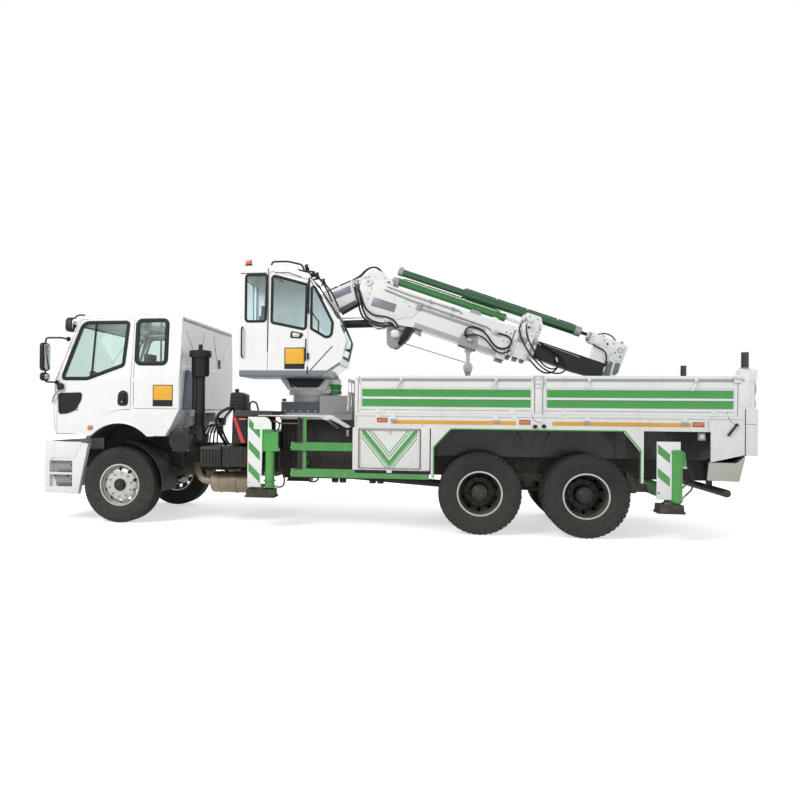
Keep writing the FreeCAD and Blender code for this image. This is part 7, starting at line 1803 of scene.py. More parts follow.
def outer_boom_trim():
    """Side plates, pipes, clamps, winch cheeks and hose loops of the outer boom."""
    piece = Piece("outer_boom_trim", "outer_boom", "boom_white")
    cheek = [(-0.09, 0.050, 0.03), (0.30, 0.048, 0.03), (0.56, -0.02, 0.08), (0.845, -0.180, 0.02),
             (0.80, -0.30, 0.05),
             (0.70, -0.325, 0.08), (0.60, -0.395, 0.06), (0.30, -0.412, 0.04), (0.03, -0.405, 0.04),
             (-0.10, -0.24, 0.06)]
    for way in (-1, 1):
        side = way * 0.175
        ob_slab(piece, cheek, (side - way * 0.004, side + way * 0.010), "crane white", 0.004)
        name_plate(piece, [(0.145, -0.190), (0.510, -0.183), (0.515, -0.308), (0.150, -0.325)],
                   side + way * 0.010, way)
        near = side + way * 0.010
        pin_head(piece, ELBOW.x, ELBOW.z, near, 0.062, "crane white", way)
        ob_studs(piece, [(0.07, -0.08), (0.07, -0.16), (0.07, -0.24), (0.62, -0.10), (0.70, -0.15)], near)
        eye = Vector((at(3.684), near, 2.965))
        piece.rod(eye - Vector((0, way * 0.02, 0)), eye + Vector((0, way * 0.016, 0)), 0.050, "crane white",
                  28, 0.005)
        piece.rod(eye + Vector((0, way * 0.012, 0)), eye + Vector((0, way * 0.022, 0)), 0.022, "steel", 18, 0.003)
        for a, b, c, radius in (((0.29, 0.020), (0.62, 0.010), (1.42, 0.022), 0.0085),
                                ((0.27, -0.035), (0.80, -0.062), (1.90, -0.072), 0.011)):
            far = side + way * 0.024
            piece.tube([ob(*a, far), ob(*b, far), ob(*c, far), ob(c[0] + 0.05, c[1] - 0.03, side + way * 0.004)],
                       radius, "steel", 10, 0.08)
            for u in (0.95, 1.30):
                share = (u - b[0]) / (c[0] - b[0])
                w = b[1] + (c[1] - b[1]) * share
                ob_block(piece, (u, u + 0.035), (w - 0.020, w + 0.020), (side, far + way * 0.016),
                         "shade grey", 0.004)
        ob_block(piece, (0.86, 1.86), (-0.150, -0.105), (side - way * 0.002, side + way * 0.012),
                 "shade grey", 0.004)
        ob_block(piece, (0.80, 0.87), (-0.160, -0.040), (side - way * 0.002, side + way * 0.030),
                 "shade grey", 0.006)
        ob_block(piece, (2.125, 2.262), (-0.445, 0.072), (side - way * 0.004, side + way * 0.014),
                 "crane white", 0.004)
        ob_studs(piece, [(2.16, -0.05), (2.16, -0.18), (2.16, -0.31), (2.225, -0.05), (2.225, -0.18),
                         (2.225, -0.31)],
                 side + way * 0.014)
        hanger = [(1.55, -0.335, 0.03), (1.60, -0.20, 0.06), (1.76, -0.20, 0.06), (1.83, -0.335, 0.03),
                  (1.83, -0.44, 0.02), (1.55, -0.44, 0.02)]
        ob_slab(piece, hanger, (side, side + way * 0.010), "shade grey", 0.003)
        centre = ob(1.68, -0.245, side)
        piece.rod(centre, centre + Vector((0, way * 0.022, 0)), 0.048, "shade grey", 28, 0.004)
        piece.rod(centre, centre + Vector((0, way * 0.032, 0)), 0.020, "steel", 16, 0.003)
    ob_block(piece, (2.125, 2.262), (0.052, 0.074), (-0.180, 0.180), "crane white")
    ob_block(piece, (2.125, 2.262), (-0.450, -0.418), (-0.180, 0.180), "crane white")
    ob_block(piece, (2.13, 2.25), (-0.482, -0.448), (-0.11, 0.11), "shade grey", 0.006)
    for way in (-1, 1):
        lugs = [(1.66, -0.425), (1.80, -0.425), (1.775, -0.500, 0.035), (1.700, -0.500, 0.035)]
        ob_slab(piece, lugs, (way * 0.030, way * 0.042), "shade grey", 0.003)
    piece.rod(ob(1.73, -0.47, -0.055), ob(1.73, -0.47, 0.055), 0.017, "steel", 18, 0.003)

    # The upstanding plates at the root, which carry the hoses over the elbow.
    crest = [(0.02, 0.048), (0.015, 0.165, 0.04), (0.09, 0.212, 0.03), (0.20, 0.190, 0.03), (0.345, 0.118, 0.03),
             (0.36, 0.048)]
    for y in ((-0.168, -0.154), (-0.108, -0.094), (0.154, 0.168)):
        ob_slab(piece, crest, y, "crane white", 0.003)
    for u, w, radius in ((0.085, 0.165, 0.022), (0.205, 0.120, 0.018), (0.130, 0.090, 0.014),
                         (0.285, 0.090, 0.016)):
        piece.rod(ob(u, w, -0.172), ob(u, w, -0.1685), radius, "seam shadow", 20)
    ob_studs(piece, [(0.06, 0.10), (0.25, 0.075), (0.32, 0.075), (0.17, 0.165)], -0.168, 0.011)
    for i in range(4):
        spot = (0.07 + 0.07 * i, 0.075 + 0.012 * (i % 2))
        piece.rod(ob(*spot, -0.150), ob(*spot, -0.112), 0.017, "zinc", 6, 0.002)

    # The first extension cylinder's mountings.
    for way in (-1, 1):
        ob_slab(piece, [(0.27, 0.050), (0.42, 0.050), (0.405, 0.205, 0.03), (0.325, 0.215, 0.03)],
                (way * 0.048, way * 0.064), "shade grey", 0.004)
    piece.rod(ob(0.365, 0.166, -0.078), ob(0.365, 0.166, 0.078), 0.022, "steel", 20, 0.003)
    piece.rod(ob(0.352, 0.166), ob(0.432, 0.166), 0.054, "shade grey", 28, 0.006)
    piece.rod(ob(1.985, 0.166), ob(2.083, 0.166), 0.053, "shade grey", 28, 0.005)
    for u in (0.47, 1.95):
        ob_block(piece, (u, u + 0.045), (0.205, 0.240), (-0.020, 0.020), "zinc", 0.004)
    piece.tube([ob(0.49, 0.236), ob(0.56, 0.243), ob(1.88, 0.243), ob(1.97, 0.236)], 0.007, "steel", 8, 0.03)
    ob_slab(piece, [(1.55, 0.050), (1.74, 0.050), (1.71, 0.128, 0.01), (1.575, 0.128, 0.01)], (-0.062, 0.062),
            "shade grey", 0.004)

    # The winch between its cheeks.
    cheek = [(0.47, -0.395, 0.02), (0.88, -0.415, 0.02), (0.82, -0.610, 0.05), (0.715, -0.805, 0.06),
             (0.575, -0.805, 0.06), (0.500, -0.610, 0.06)]
    for way in (-1, 1):
        ob_slab(piece, cheek, (way * 0.128, way * 0.140), "shade grey", 0.003)
    centre = ob(0.637, -0.600, -0.140)
    out = Vector((0, -1, 0))
    piece.turned([(0.0, 0.072), (0.016, 0.072), (0.020, 0.060), (0.060, 0.058), (0.066, 0.048), (0.070, 0.0)],
                 centre, out, "crane white", 32)
    studs(piece, [centre + out * 0.016 + Vector((0.064 * math.cos(a), 0, 0.064 * math.sin(a)))
                  for a in [math.pi / 3 * i for i in range(6)]], out, "zinc", 0.009)
    ob_slab(piece, [(0.745, -0.43), (0.865, -0.43), (0.835, -0.60, 0.04), (0.755, -0.745, 0.03),
                    (0.715, -0.72)], (-0.152, 0.120),
            "chassis black", 0.008)
    piece.rod(ob(0.60, -0.505, -0.150), ob(0.60, -0.505, -0.205), 0.030, "zinc", 20, 0.004)
    piece.rod(ob(0.70, -0.500, -0.150), ob(0.70, -0.500, -0.190), 0.022, "brass", 6, 0.003)
    cross = ob(0.655, -0.790, 0)
    piece.rod(cross + Vector((0, -0.134, 0)), cross + Vector((0, 0.134, 0)), 0.014, "steel", 16, 0.002)

    # Hose loops on the side, where the extensions need spare length.
    loop = [(1.705, -0.335), (1.610, -0.285), (1.592, -0.205), (1.650, -0.140), (1.780, -0.128), (1.905, -0.175),
            (2.030, -0.280), (2.150, -0.315), (2.262, -0.260), (2.285, -0.160), (2.215, -0.100), (2.100, -0.100),
            (2.010, -0.110)]
    hose(piece, [ob(u, w, -0.212) for u, w in loop], 0.013)
    inner = [(1.60, -0.300), (1.72, -0.235), (1.85, -0.225), (1.95, -0.268), (2.06, -0.345), (2.17, -0.372),
             (2.25, -0.345), (2.300, -0.285)]
    hose(piece, [ob(u, w, -0.226) for u, w in inner], 0.011, ends=False)
    for u, w in ((1.70, -0.33), (2.02, -0.105)):
        ob_block(piece, (u - 0.03, u + 0.03), (w - 0.024, w + 0.024), (-0.19, -0.232), "steel", 0.005)
    for u, w in ((0.905, -0.455), (0.960, -0.470)):
        piece.rod(ob(u, w, -0.10), ob(u, w, 0.10), 0.030, "shade grey", 24, 0.004)
    ob_slab(piece, [(0.885, -0.42), (1.0, -0.42), (0.975, -0.49, 0.01), (0.900, -0.49, 0.01)],
            (-0.115, -0.105), "shade grey", 0.002)
    piece.done()


def winch_rope():
    """The wire rope, drawn tight from the drum to the sheave, and its turns on the drum."""
    drum = ob(0.637, -0.600)
    turns = Piece("winch_rope_turns", "winch_drum", "trim")
    coil = Piece("coil", "", "")
    coil.turned([(-0.0052, 0.0975), (-0.0030, 0.1030), (0.0, 0.1045), (0.0030, 0.1030), (0.0052, 0.0975),
                 (-0.0052, 0.0975)],
                (0, 0, 0), "y", "wire rope", 40)
    row(turns, coil, "wire rope", 17, drum + Vector((0, -0.085, 0)), (0.0, 0.0106, 0.0))
    for way in (-1, 1):
        turns.turned([(0.0, 0.122), (0.004, 0.124), (0.007, 0.122), (0.007, 0.05), (0.0, 0.05), (0.0, 0.122)],
                     drum + Vector((0, way * 0.102 - 0.0035, 0)), "y", "steel", 40)
    turns.done()
    pivot = ob(1.73, -0.47)
    sheave = Vector((pivot.x, 0, pivot.z - 0.255))
    rope = Piece("winch_rope", "outer_boom", "trim")
    start = drum + Vector((0.030, -0.028, -0.100))
    end = sheave + Vector((0.016, -0.012, 0.064))
    rope.rod(start, end, 0.006, "wire rope", 8)
    rope.done(crosses=("hook", tuple(start), tuple(end)))


def hook_trim():
    """Cheeks, latch, nut and falls of rope on the hook block."""
    pivot = ob(1.73, -0.47)
    x, z = pivot.x, pivot.z - 0.255
    piece = Piece("hook_trim", "hook", "trim")
    for way in (-1, 1):
        piece.prism("side", [(x - 0.045, z - 0.085, 0.02), (x + 0.045, z - 0.085, 0.02),
                             (x + 0.075, z + 0.015, 0.06),
                             (x + 0.035, z + 0.085, 0.03), (x - 0.035, z + 0.085, 0.03),
                             (x - 0.075, z + 0.015, 0.06)],
                    *sorted((way * 0.0345, way * 0.042)), "steel", 0.002)
        piece.rod((x, way * 0.040, z), (x, way * 0.056, z), 0.020, "zinc", 6, 0.003)
        piece.rod((x - 0.028, way * 0.026, z - 0.03), (x - 0.028, way * 0.026, z - 0.150), 0.006, "wire rope", 8)
        piece.rod((x + 0.028, way * 0.026, z - 0.03), (x + 0.028, way * 0.026, z - 0.150), 0.006, "wire rope", 8)
    piece.turned([(-0.022, 0.050), (-0.022, 0.066), (-0.012, 0.060), (0.012, 0.060), (0.022, 0.066),
                  (0.022, 0.050), (-0.022, 0.050)], (x, 0, z), "y", "steel", 40)
    piece.rod((x, 0, z - 0.085), (x, 0, z - 0.115), 0.028, "steel", 24, 0.004)
    low = z - 0.110
    piece.rod((x, 0, low - 0.005), (x, 0, low - 0.022), 0.021, "zinc", 6, 0.002)
    piece.tube([(x - 0.006, 0, low - 0.020), (x + 0.020, 0, low - 0.035), (x + 0.034, 0, low - 0.062)], 0.004,
               "steel", 8, 0.01)
    piece.done()


def extension_trim():
    """The first extension's tower, collar and hose loops, and the head of the second."""
    piece = Piece("extension_1_trim", "extension_1", "boom_white")
    tower = [(2.290, 0.062), (2.290, 0.215, 0.02), (2.345, 0.335, 0.03), (2.555, 0.335, 0.03),
             (2.628, 0.225, 0.03), (2.628, 0.062)]
    for way in (-1, 1):
        ob_slab(piece, tower, (way * 0.060, way * 0.074), "crane white", 0.004)
        ob_studs(piece, [(2.33, 0.11), (2.33, 0.19), (2.40, 0.29), (2.52, 0.29), (2.585, 0.20),
                         (2.585, 0.11)], way * 0.074)
        side = way * 0.172
        ob_block(piece, (2.292, 2.345), (-0.352, 0.062), (side, side + way * 0.012), "crane white")
        ob_block(piece, (2.490, 2.556), (-0.330, 0.062), (side, side + way * 0.012), "crane white")
        ob_block(piece, (2.345, 2.490), (-0.120, -0.040), (side, side + way * 0.010), "shade grey")
        ob_studs(piece, [(2.318, 0.02), (2.318, -0.12), (2.318, -0.28), (2.522, 0.02), (2.522, -0.12),
                         (2.522, -0.28)],
                 side + way * 0.012)
        ob_block(piece, (2.585, 2.634), (-0.300, -0.030), (way * 0.120, way * 0.134), "shade grey")
    ob_block(piece, (2.300, 2.460), (0.210, 0.262), (-0.100, 0.100), "crane white", 0.006)
    ob_block(piece, (2.270, 2.330), (-0.405, -0.352), (-0.10, 0.10), "shade grey", 0.006)
    ob_block(piece, (2.370, 2.440), (-0.395, -0.350), (-0.10, 0.10), "shade grey", 0.006)
    ob_block(piece, (2.480, 2.540), (-0.385, -0.348), (-0.10, 0.10), "shade grey", 0.006)
    for u, w, radius in ((2.60, 0.155, 0.013), (2.445, 0.135, 0.020), (2.365, 0.235, 0.012)):
        for way in (-1, 1):
            piece.rod(ob(u, w, way * 0.0735), ob(u, w, way * 0.0755), radius, "seam shadow", 18)
    piece.rod(ob(0.390, 0.318), ob(1.400, 0.318), 0.055, "second cylinder green", 36, 0.003)
    piece.rod(ob(1.396, 0.318), ob(3.150, 0.318), 0.068, "second cylinder green", 40, 0.004)
    piece.rod(ob(0.345, 0.318), ob(0.420, 0.318), 0.062, "shade grey", 28, 0.006)
    ob_block(piece, (0.34, 0.40), (0.360, 0.396), (-0.022, 0.022), "zinc", 0.005)
    piece.rod(ob(0.330, 0.395), ob(0.385, 0.385), 0.012, "zinc", 6, 0.002)
    piece.rod(ob(1.365, 0.318), ob(1.415, 0.318), 0.073, "second cylinder green", 32, 0.006)
    ob_block(piece, (1.38, 1.42), (0.372, 0.402), (-0.018, 0.018), "shade grey", 0.004)
    piece.rod(ob(3.070, 0.318), ob(3.163, 0.318), 0.073, "shade grey", 32, 0.006)
    piece.tube([ob(1.40, 0.396), ob(1.46, 0.394), ob(3.00, 0.394), ob(3.09, 0.386)], 0.0075,
               "second cylinder green", 8, 0.03)
    for u in (1.85, 2.32, 2.78):
        ob_block(piece, (u, u + 0.03), (0.365, 0.396), (-0.020, 0.020), "zinc", 0.003)
    loops = [
        ([(2.345, 0.215), (2.300, 0.130), (2.330, 0.010), (2.440, -0.130), (2.640, -0.285), (2.860, -0.395),
          (3.050, -0.385),
          (3.140, -0.290), (3.090, -0.180), (2.940, -0.110), (2.760, -0.060), (2.600, -0.030)], -0.205, 0.011),
        ([(2.380, 0.190), (2.410, 0.080), (2.470, -0.030), (2.620, -0.180), (2.800, -0.330), (2.960, -0.350),
          (3.040, -0.260), (2.990, -0.150), (2.830, -0.080), (2.640, -0.055)], -0.185, 0.011),
        ([(2.560, -0.300), (2.640, -0.330), (2.760, -0.405), (2.880, -0.430), (2.990, -0.370),
          (3.020, -0.260), (2.960, -0.180)],
         -0.160, 0.012),
    ]
    for line, y, radius in loops:
        hose(piece, [ob(u, w, y) for u, w in line], radius)
    ob_block(piece, (2.575, 2.625), (-0.070, -0.010), (-0.134, -0.212), "steel", 0.005)
    ob_block(piece, (2.945, 2.985), (-0.190, -0.165), (-0.118, -0.170), "steel", 0.004)
    piece.done()

    piece = Piece("extension_2_trim", "extension_2", "boom_white")
    for way in (-1, 1):
        side = way * 0.092
        upper = [(3.300, 0.215, 0.02), (3.300, 0.345, 0.03), (3.520, 0.352, 0.03), (3.800, 0.318, 0.04),
                 (3.822, 0.085, 0.02), (3.700, 0.080, 0.02), (3.600, 0.215, 0.07)]
        ob_slab(piece, upper, (side, side + way * 0.010), "crane white", 0.003)
        lower = [(3.600, -0.180, 0.03), (3.625, 0.035, 0.03), (3.718, 0.055, 0.02), (3.745, -0.170, 0.03)]
        ob_slab(piece, lower, (side, side + way * 0.009), "blue grey steel", 0.003)
        ob_slab(piece, [(3.770, -0.150, 0.02), (3.752, 0.050, 0.01), (3.820, 0.065, 0.01), (3.834, -0.080, 0.02)],
                (side, side + way * 0.009), "blue grey steel", 0.003)
        ob_studs(piece, [(3.34, 0.30), (3.34, 0.25), (3.50, 0.31), (3.64, 0.30), (3.66, 0.15), (3.66, 0.02),
                         (3.64, -0.13)],
                 side + way * 0.010, 0.011)
        for u, w, radius in ((3.560, 0.265, 0.016), (3.785, 0.150, 0.013), (3.700, 0.180, 0.011)):
            piece.rod(ob(u, w, side + way * 0.009), ob(u, w, side + way * 0.0115), radius, "seam shadow", 18)
        boss = [(0.0, 0.040), (0.014, 0.038), (0.014, 0.0262), (0.0, 0.0262), (0.0, 0.040)]
        piece.turned(boss, ob(3.754, 0.242, side + way * 0.008), Vector((0, way, 0)), "steel", 32)
        ob_block(piece, (3.275, 3.310), (0.240, 0.345), (side, side + way * 0.016), "shade grey", 0.004)
    piece.tube([ob(2.72, -0.030, -0.114), ob(2.80, -0.036, -0.116), ob(3.20, -0.044, -0.116),
                ob(3.26, -0.052, -0.108)], 0.008,
               "steel", 8, 0.04)
    piece.rod(ob(3.262, 0.318), ob(3.300, 0.318), 0.050, "shade grey", 28, 0.005)
    hose(piece, [ob(3.330, 0.200, -0.106), ob(3.430, 0.175, -0.130), ob(3.540, 0.165, -0.132),
                 ob(3.600, 0.100, -0.128), ob(3.628, 0.0, -0.122), ob(3.640, -0.100, -0.116)], 0.011)
    arch = [ob(3.400 + 0.09 * i, 0.368 + 0.055 * math.sin(math.pi * i / 3), 0.0) for i in range(4)]
    piece.tube(arch, 0.010, "hose rubber", 10, 0.05)
    for u in (3.46, 3.62, 3.73):
        ob_block(piece, (u, u + 0.04), (0.345, 0.374), (-0.06, 0.02), "shade grey", 0.006)
    piece.done()


def inner_boom_trim():
    """Plates, pins, clamps and the hoses of the inner boom, and those that cross the elbow."""
    skin = Skin("inner_boom")
    piece = Piece("inner_boom_trim", "inner_boom", "boom_white")
    lift_eye, fold_base = (at(2.70), 3.12), (at(2.865), 2.948)
    for way in (-1, 1):
        side = way * 0.115
        piece.prism("side", [(at(2.862), 3.421), (at(3.135), 3.522), (at(3.158), 3.418), (at(2.905), 3.318)],
                    *sorted((side, side + way * 0.004)), "name plate grey", 0.0015)
        piece.prism("side", [(at(3.172), 3.588, 0.01), (at(3.262), 3.618, 0.01), (at(3.318), 3.300, 0.02),
                             (at(3.228), 3.262, 0.02)],
                    *sorted((side - way * 0.002, side + way * 0.012)), "shade grey", 0.003)
        piece.prism("side", [(at(2.960), 3.170, 0.01), (at(3.420), 3.400, 0.01), (at(3.440), 3.352, 0.01),
                             (at(2.985), 3.105, 0.01)],
                    *sorted((side - way * 0.002, side + way * 0.010)), "cab trim grey", 0.002)
        studs(piece, [(at(3.20), side + way * 0.012, 3.56), (at(3.275), side + way * 0.012, 3.32),
                      (at(3.22), side + way * 0.012, 3.44)], (0, way, 0), "zinc", 0.011)
        for spot, radius in ((lift_eye, 0.045), (fold_base, 0.045)):
            face = way * 0.100
            piece.rod((spot[0], face - way * 0.01, spot[1]), (spot[0], face + way * 0.016, spot[1]), radius,
                      "crane white", 28, 0.005)
            piece.rod((spot[0], face + way * 0.012, spot[1]), (spot[0], face + way * 0.022, spot[1]), 0.020,
                      "steel", 18, 0.003)
    for step in range(4):
        x = at(2.56 + 0.20 * step)
        top = skin.touch((x, 0, 4.4), (0, 0, -1))[0].z
        piece.box((x - 0.018, x + 0.018), (-0.098, 0.098), (top - 0.004, top + 0.034), "steel", 0.005)
    piece.done()
    hoses = Piece("elbow_hoses", "inner_boom", "black_plastic")
    for i in range(5):
        y = -0.080 + 0.036 * i
        line = []
        for x in (2.42, 2.62, 2.82, 3.02, 3.16):
            top = skin.touch((at(x), y, 4.4), (0, 0, -1))[0].z
            line.append((at(x), y, top + 0.018))
        line += [(at(3.285), y - 0.004 * i, 3.668 + 0.006 * i), (at(3.375), y - 0.010, 3.765 + 0.008 * i),
                 (at(3.485), y - 0.020, 3.805 + 0.008 * i), (at(3.590), y - 0.030, 3.765),
                 ob(0.185, 0.150, y - 0.040), ob(0.245, 0.112, y - 0.045)]
        hose(hoses, line, 0.012)
    hoses.done(crosses=("outer_boom", (at(3.30), 0, 3.68), (at(3.62), 0, 3.70)))
    hoses = Piece("knee_hoses", "inner_boom", "black_plastic")
    lines = [
        ([(3.235, 3.560), (3.285, 3.450), (3.320, 3.330), (3.360, 3.200), (3.430, 3.105), (3.530, 3.050),
          (3.640, 3.040), (3.740, 3.020), (3.815, 2.975), (3.870, 2.900), (3.895, 2.830)], -0.212, 0.012),
        ([(3.200, 3.520), (3.235, 3.400), (3.275, 3.280), (3.300, 3.140), (3.350, 3.020), (3.440, 2.955),
          (3.550, 2.905), (3.660, 2.885), (3.760, 2.905), (3.830, 2.890), (3.865, 2.820)], -0.224, 0.015),
        ([(3.255, 3.500), (3.290, 3.380), (3.320, 3.260), (3.345, 3.120), (3.420, 3.010), (3.520, 2.960),
          (3.640, 2.930), (3.735, 2.950), (3.800, 2.930), (3.840, 2.860)], -0.196, 0.013),
    ]
    for points, y, radius in lines:
        spots = [(at(x), y if i else -0.150, z) for i, (x, z) in enumerate(points)]
        spots[-1] = (spots[-1][0], -0.165, spots[-1][2])
        hose(hoses, spots, radius)
    hoses.done(crosses=("outer_boom", (at(3.30), -0.2, 3.20), (at(3.68), -0.2, 2.98)))


def ram_trim(name, body, base, eye, radius):
    """Gland, ports and feed pipe of a lift or fold cylinder, on its barrel."""
    base, eye = Vector((at(base[0]), 0, base[1])), Vector((at(eye[0]), 0, eye[1]))
    ahead = (eye - base).normalized()
    above = Vector((-ahead.z, 0, ahead.x))
    end = (eye - base).length - 0.095
    piece = Piece(name, body, "black_plastic")
    gland = [(-0.060, radius + 0.001), (-0.056, radius + 0.008), (-0.006, radius + 0.008), (0.0, radius + 0.004),
             (0.004, radius - 0.010), (-0.060, radius - 0.010), (-0.060, radius + 0.001)]
    piece.turned(gland, base + ahead * (end - 0.002), ahead, "cylinder black", 36)
    for along in (0.115, end - 0.130):
        port = base + ahead * along + above * (radius + 0.010)
        piece.rod(port - above * 0.014, port + above * 0.018, 0.019, "zinc", 6, 0.003)
    start, stop = base + ahead * 0.115, base + ahead * (end - 0.130)
    piece.tube([start + above * (radius + 0.026), start + ahead * 0.04 + above * (radius + 0.030),
                stop - ahead * 0.04 + above * (radius + 0.030), stop + above * (radius + 0.026)], 0.008,
                "steel", 8, 0.03)
    for way in (-1, 1):
        piece.rod(base + Vector((0, way * (radius - 0.004), 0)),
                  base + Vector((0, way * (radius + 0.004), 0)), 0.052, "cylinder black", 28, 0.003)
    piece.done()


BED_FACE = -SIDE


def bar_strip(piece, points, width, depth, y, finish_name, corner=0.03):
    """A flat bar laid on a side face, along a bent line of (x, z) points."""
    path = bent([(at(x), y, z) for x, z in points], corner)
    half = width / 2
    section = [(-half, -0.002), (-half, depth), (half, depth), (half, -0.002)]
    piece.sweep(path, section, finish_name, False, [Vector((0, -1, 0))] * len(path))


def board_trim(place):
    """Rails, stiles, hinge leaves and rope hooks of a pair of drop sides."""
    low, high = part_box(f"{place}_left_board")
    start, end, foot, top = low.x, high.x, low.z, high.z
    y = BED_FACE
    piece = Piece(f"{place}_left_board_trim", f"{place}_left_board", "board_grey")
    piece.box((start, end), (y - 0.014, y + 0.030), (top - 0.016, top + 0.024), "bed white", 0.006)
    # Painted shadow: a grey band on the board's face, just under the top rail that shades it.
    piece.box((start + 0.012, end - 0.012), (y - 0.003, y + 0.004), (top - 0.052, top - 0.014), "shade grey",
              0.002)
    piece.box((start + 0.03, end - 0.03), (y - 0.002, y + 0.004), (foot + 0.046, foot + 0.054), "shade grey",
              0.001)
    piece.box((start + 0.004, end - 0.004), (y - 0.003, y + 0.004), (foot + 0.002, foot + 0.030), "bed white",
              0.005)
    for x in (start + 0.020, end - 0.020):
        piece.box((x - 0.018, x + 0.018), (y - 0.006, y + 0.004), (foot + 0.03, top - 0.02), "bed white", 0.004)
        piece.rod((x, y - 0.012, top - 0.075), (x, y, top - 0.075), 0.010, "zinc", 12, 0.002)
    mid = foot + 0.205
    piece.box((start + 0.042, end - 0.042), (y - 0.004, y + 0.004), (mid - 0.011, mid + 0.011), "bed white", 0.003)
    for x in (start + 0.56, end - 0.50):
        piece.box((x - 0.005, x + 0.033), (y - 0.020, y + 0.004), (top - 0.070, top - 0.006), "bed white", 0.004)
        piece.tube([(x + 0.014, y - 0.020, top - 0.050), (x - 0.006, y - 0.034, top - 0.090),
                    (x - 0.042, y - 0.026, top - 0.165)],
                   0.007, "zinc", 8, 0.02)
        piece.rod((x + 0.014, y - 0.004, top - 0.046), (x + 0.014, y - 0.034, top - 0.046), 0.011, "steel",
                  12, 0.002)
    for x in (start + 0.318, end - 0.262):
        piece.box((x - 0.034, x + 0.034), (y - 0.005, y + 0.004), (foot + 0.004, foot + 0.050), "bed white", 0.004)
        studs(piece, [(x - 0.018, y - 0.004, foot + 0.036), (x + 0.018, y - 0.004, foot + 0.036)], (0, -1, 0),
              "zinc", 0.004)
    for x in (start + 0.006, end - 0.006):
        piece.box((x - 0.010, x + 0.010), (y - 0.018, y + 0.004), (top - 0.060, top + 0.012), "steel", 0.004)
    back = y + 0.034
    for i in range(7):
        x = start + 0.12 + (end - start - 0.24) * i / 6
        piece.box((x - 0.018, x + 0.018), (back - 0.006, back + 0.006), (foot + 0.04, top - 0.03),
                  "bed white", 0.003)
    piece.flipped(f"{place}_right_board_trim", f"{place}_right_board").done()
    piece.done()


ARCH_EDGE = [(4.447, 0.742), (4.447, 1.152), (4.474, 1.186), (4.672, 1.397), (6.862, 1.397), (7.050, 1.168),
             (7.056, 1.140), (7.056, 0.742)]


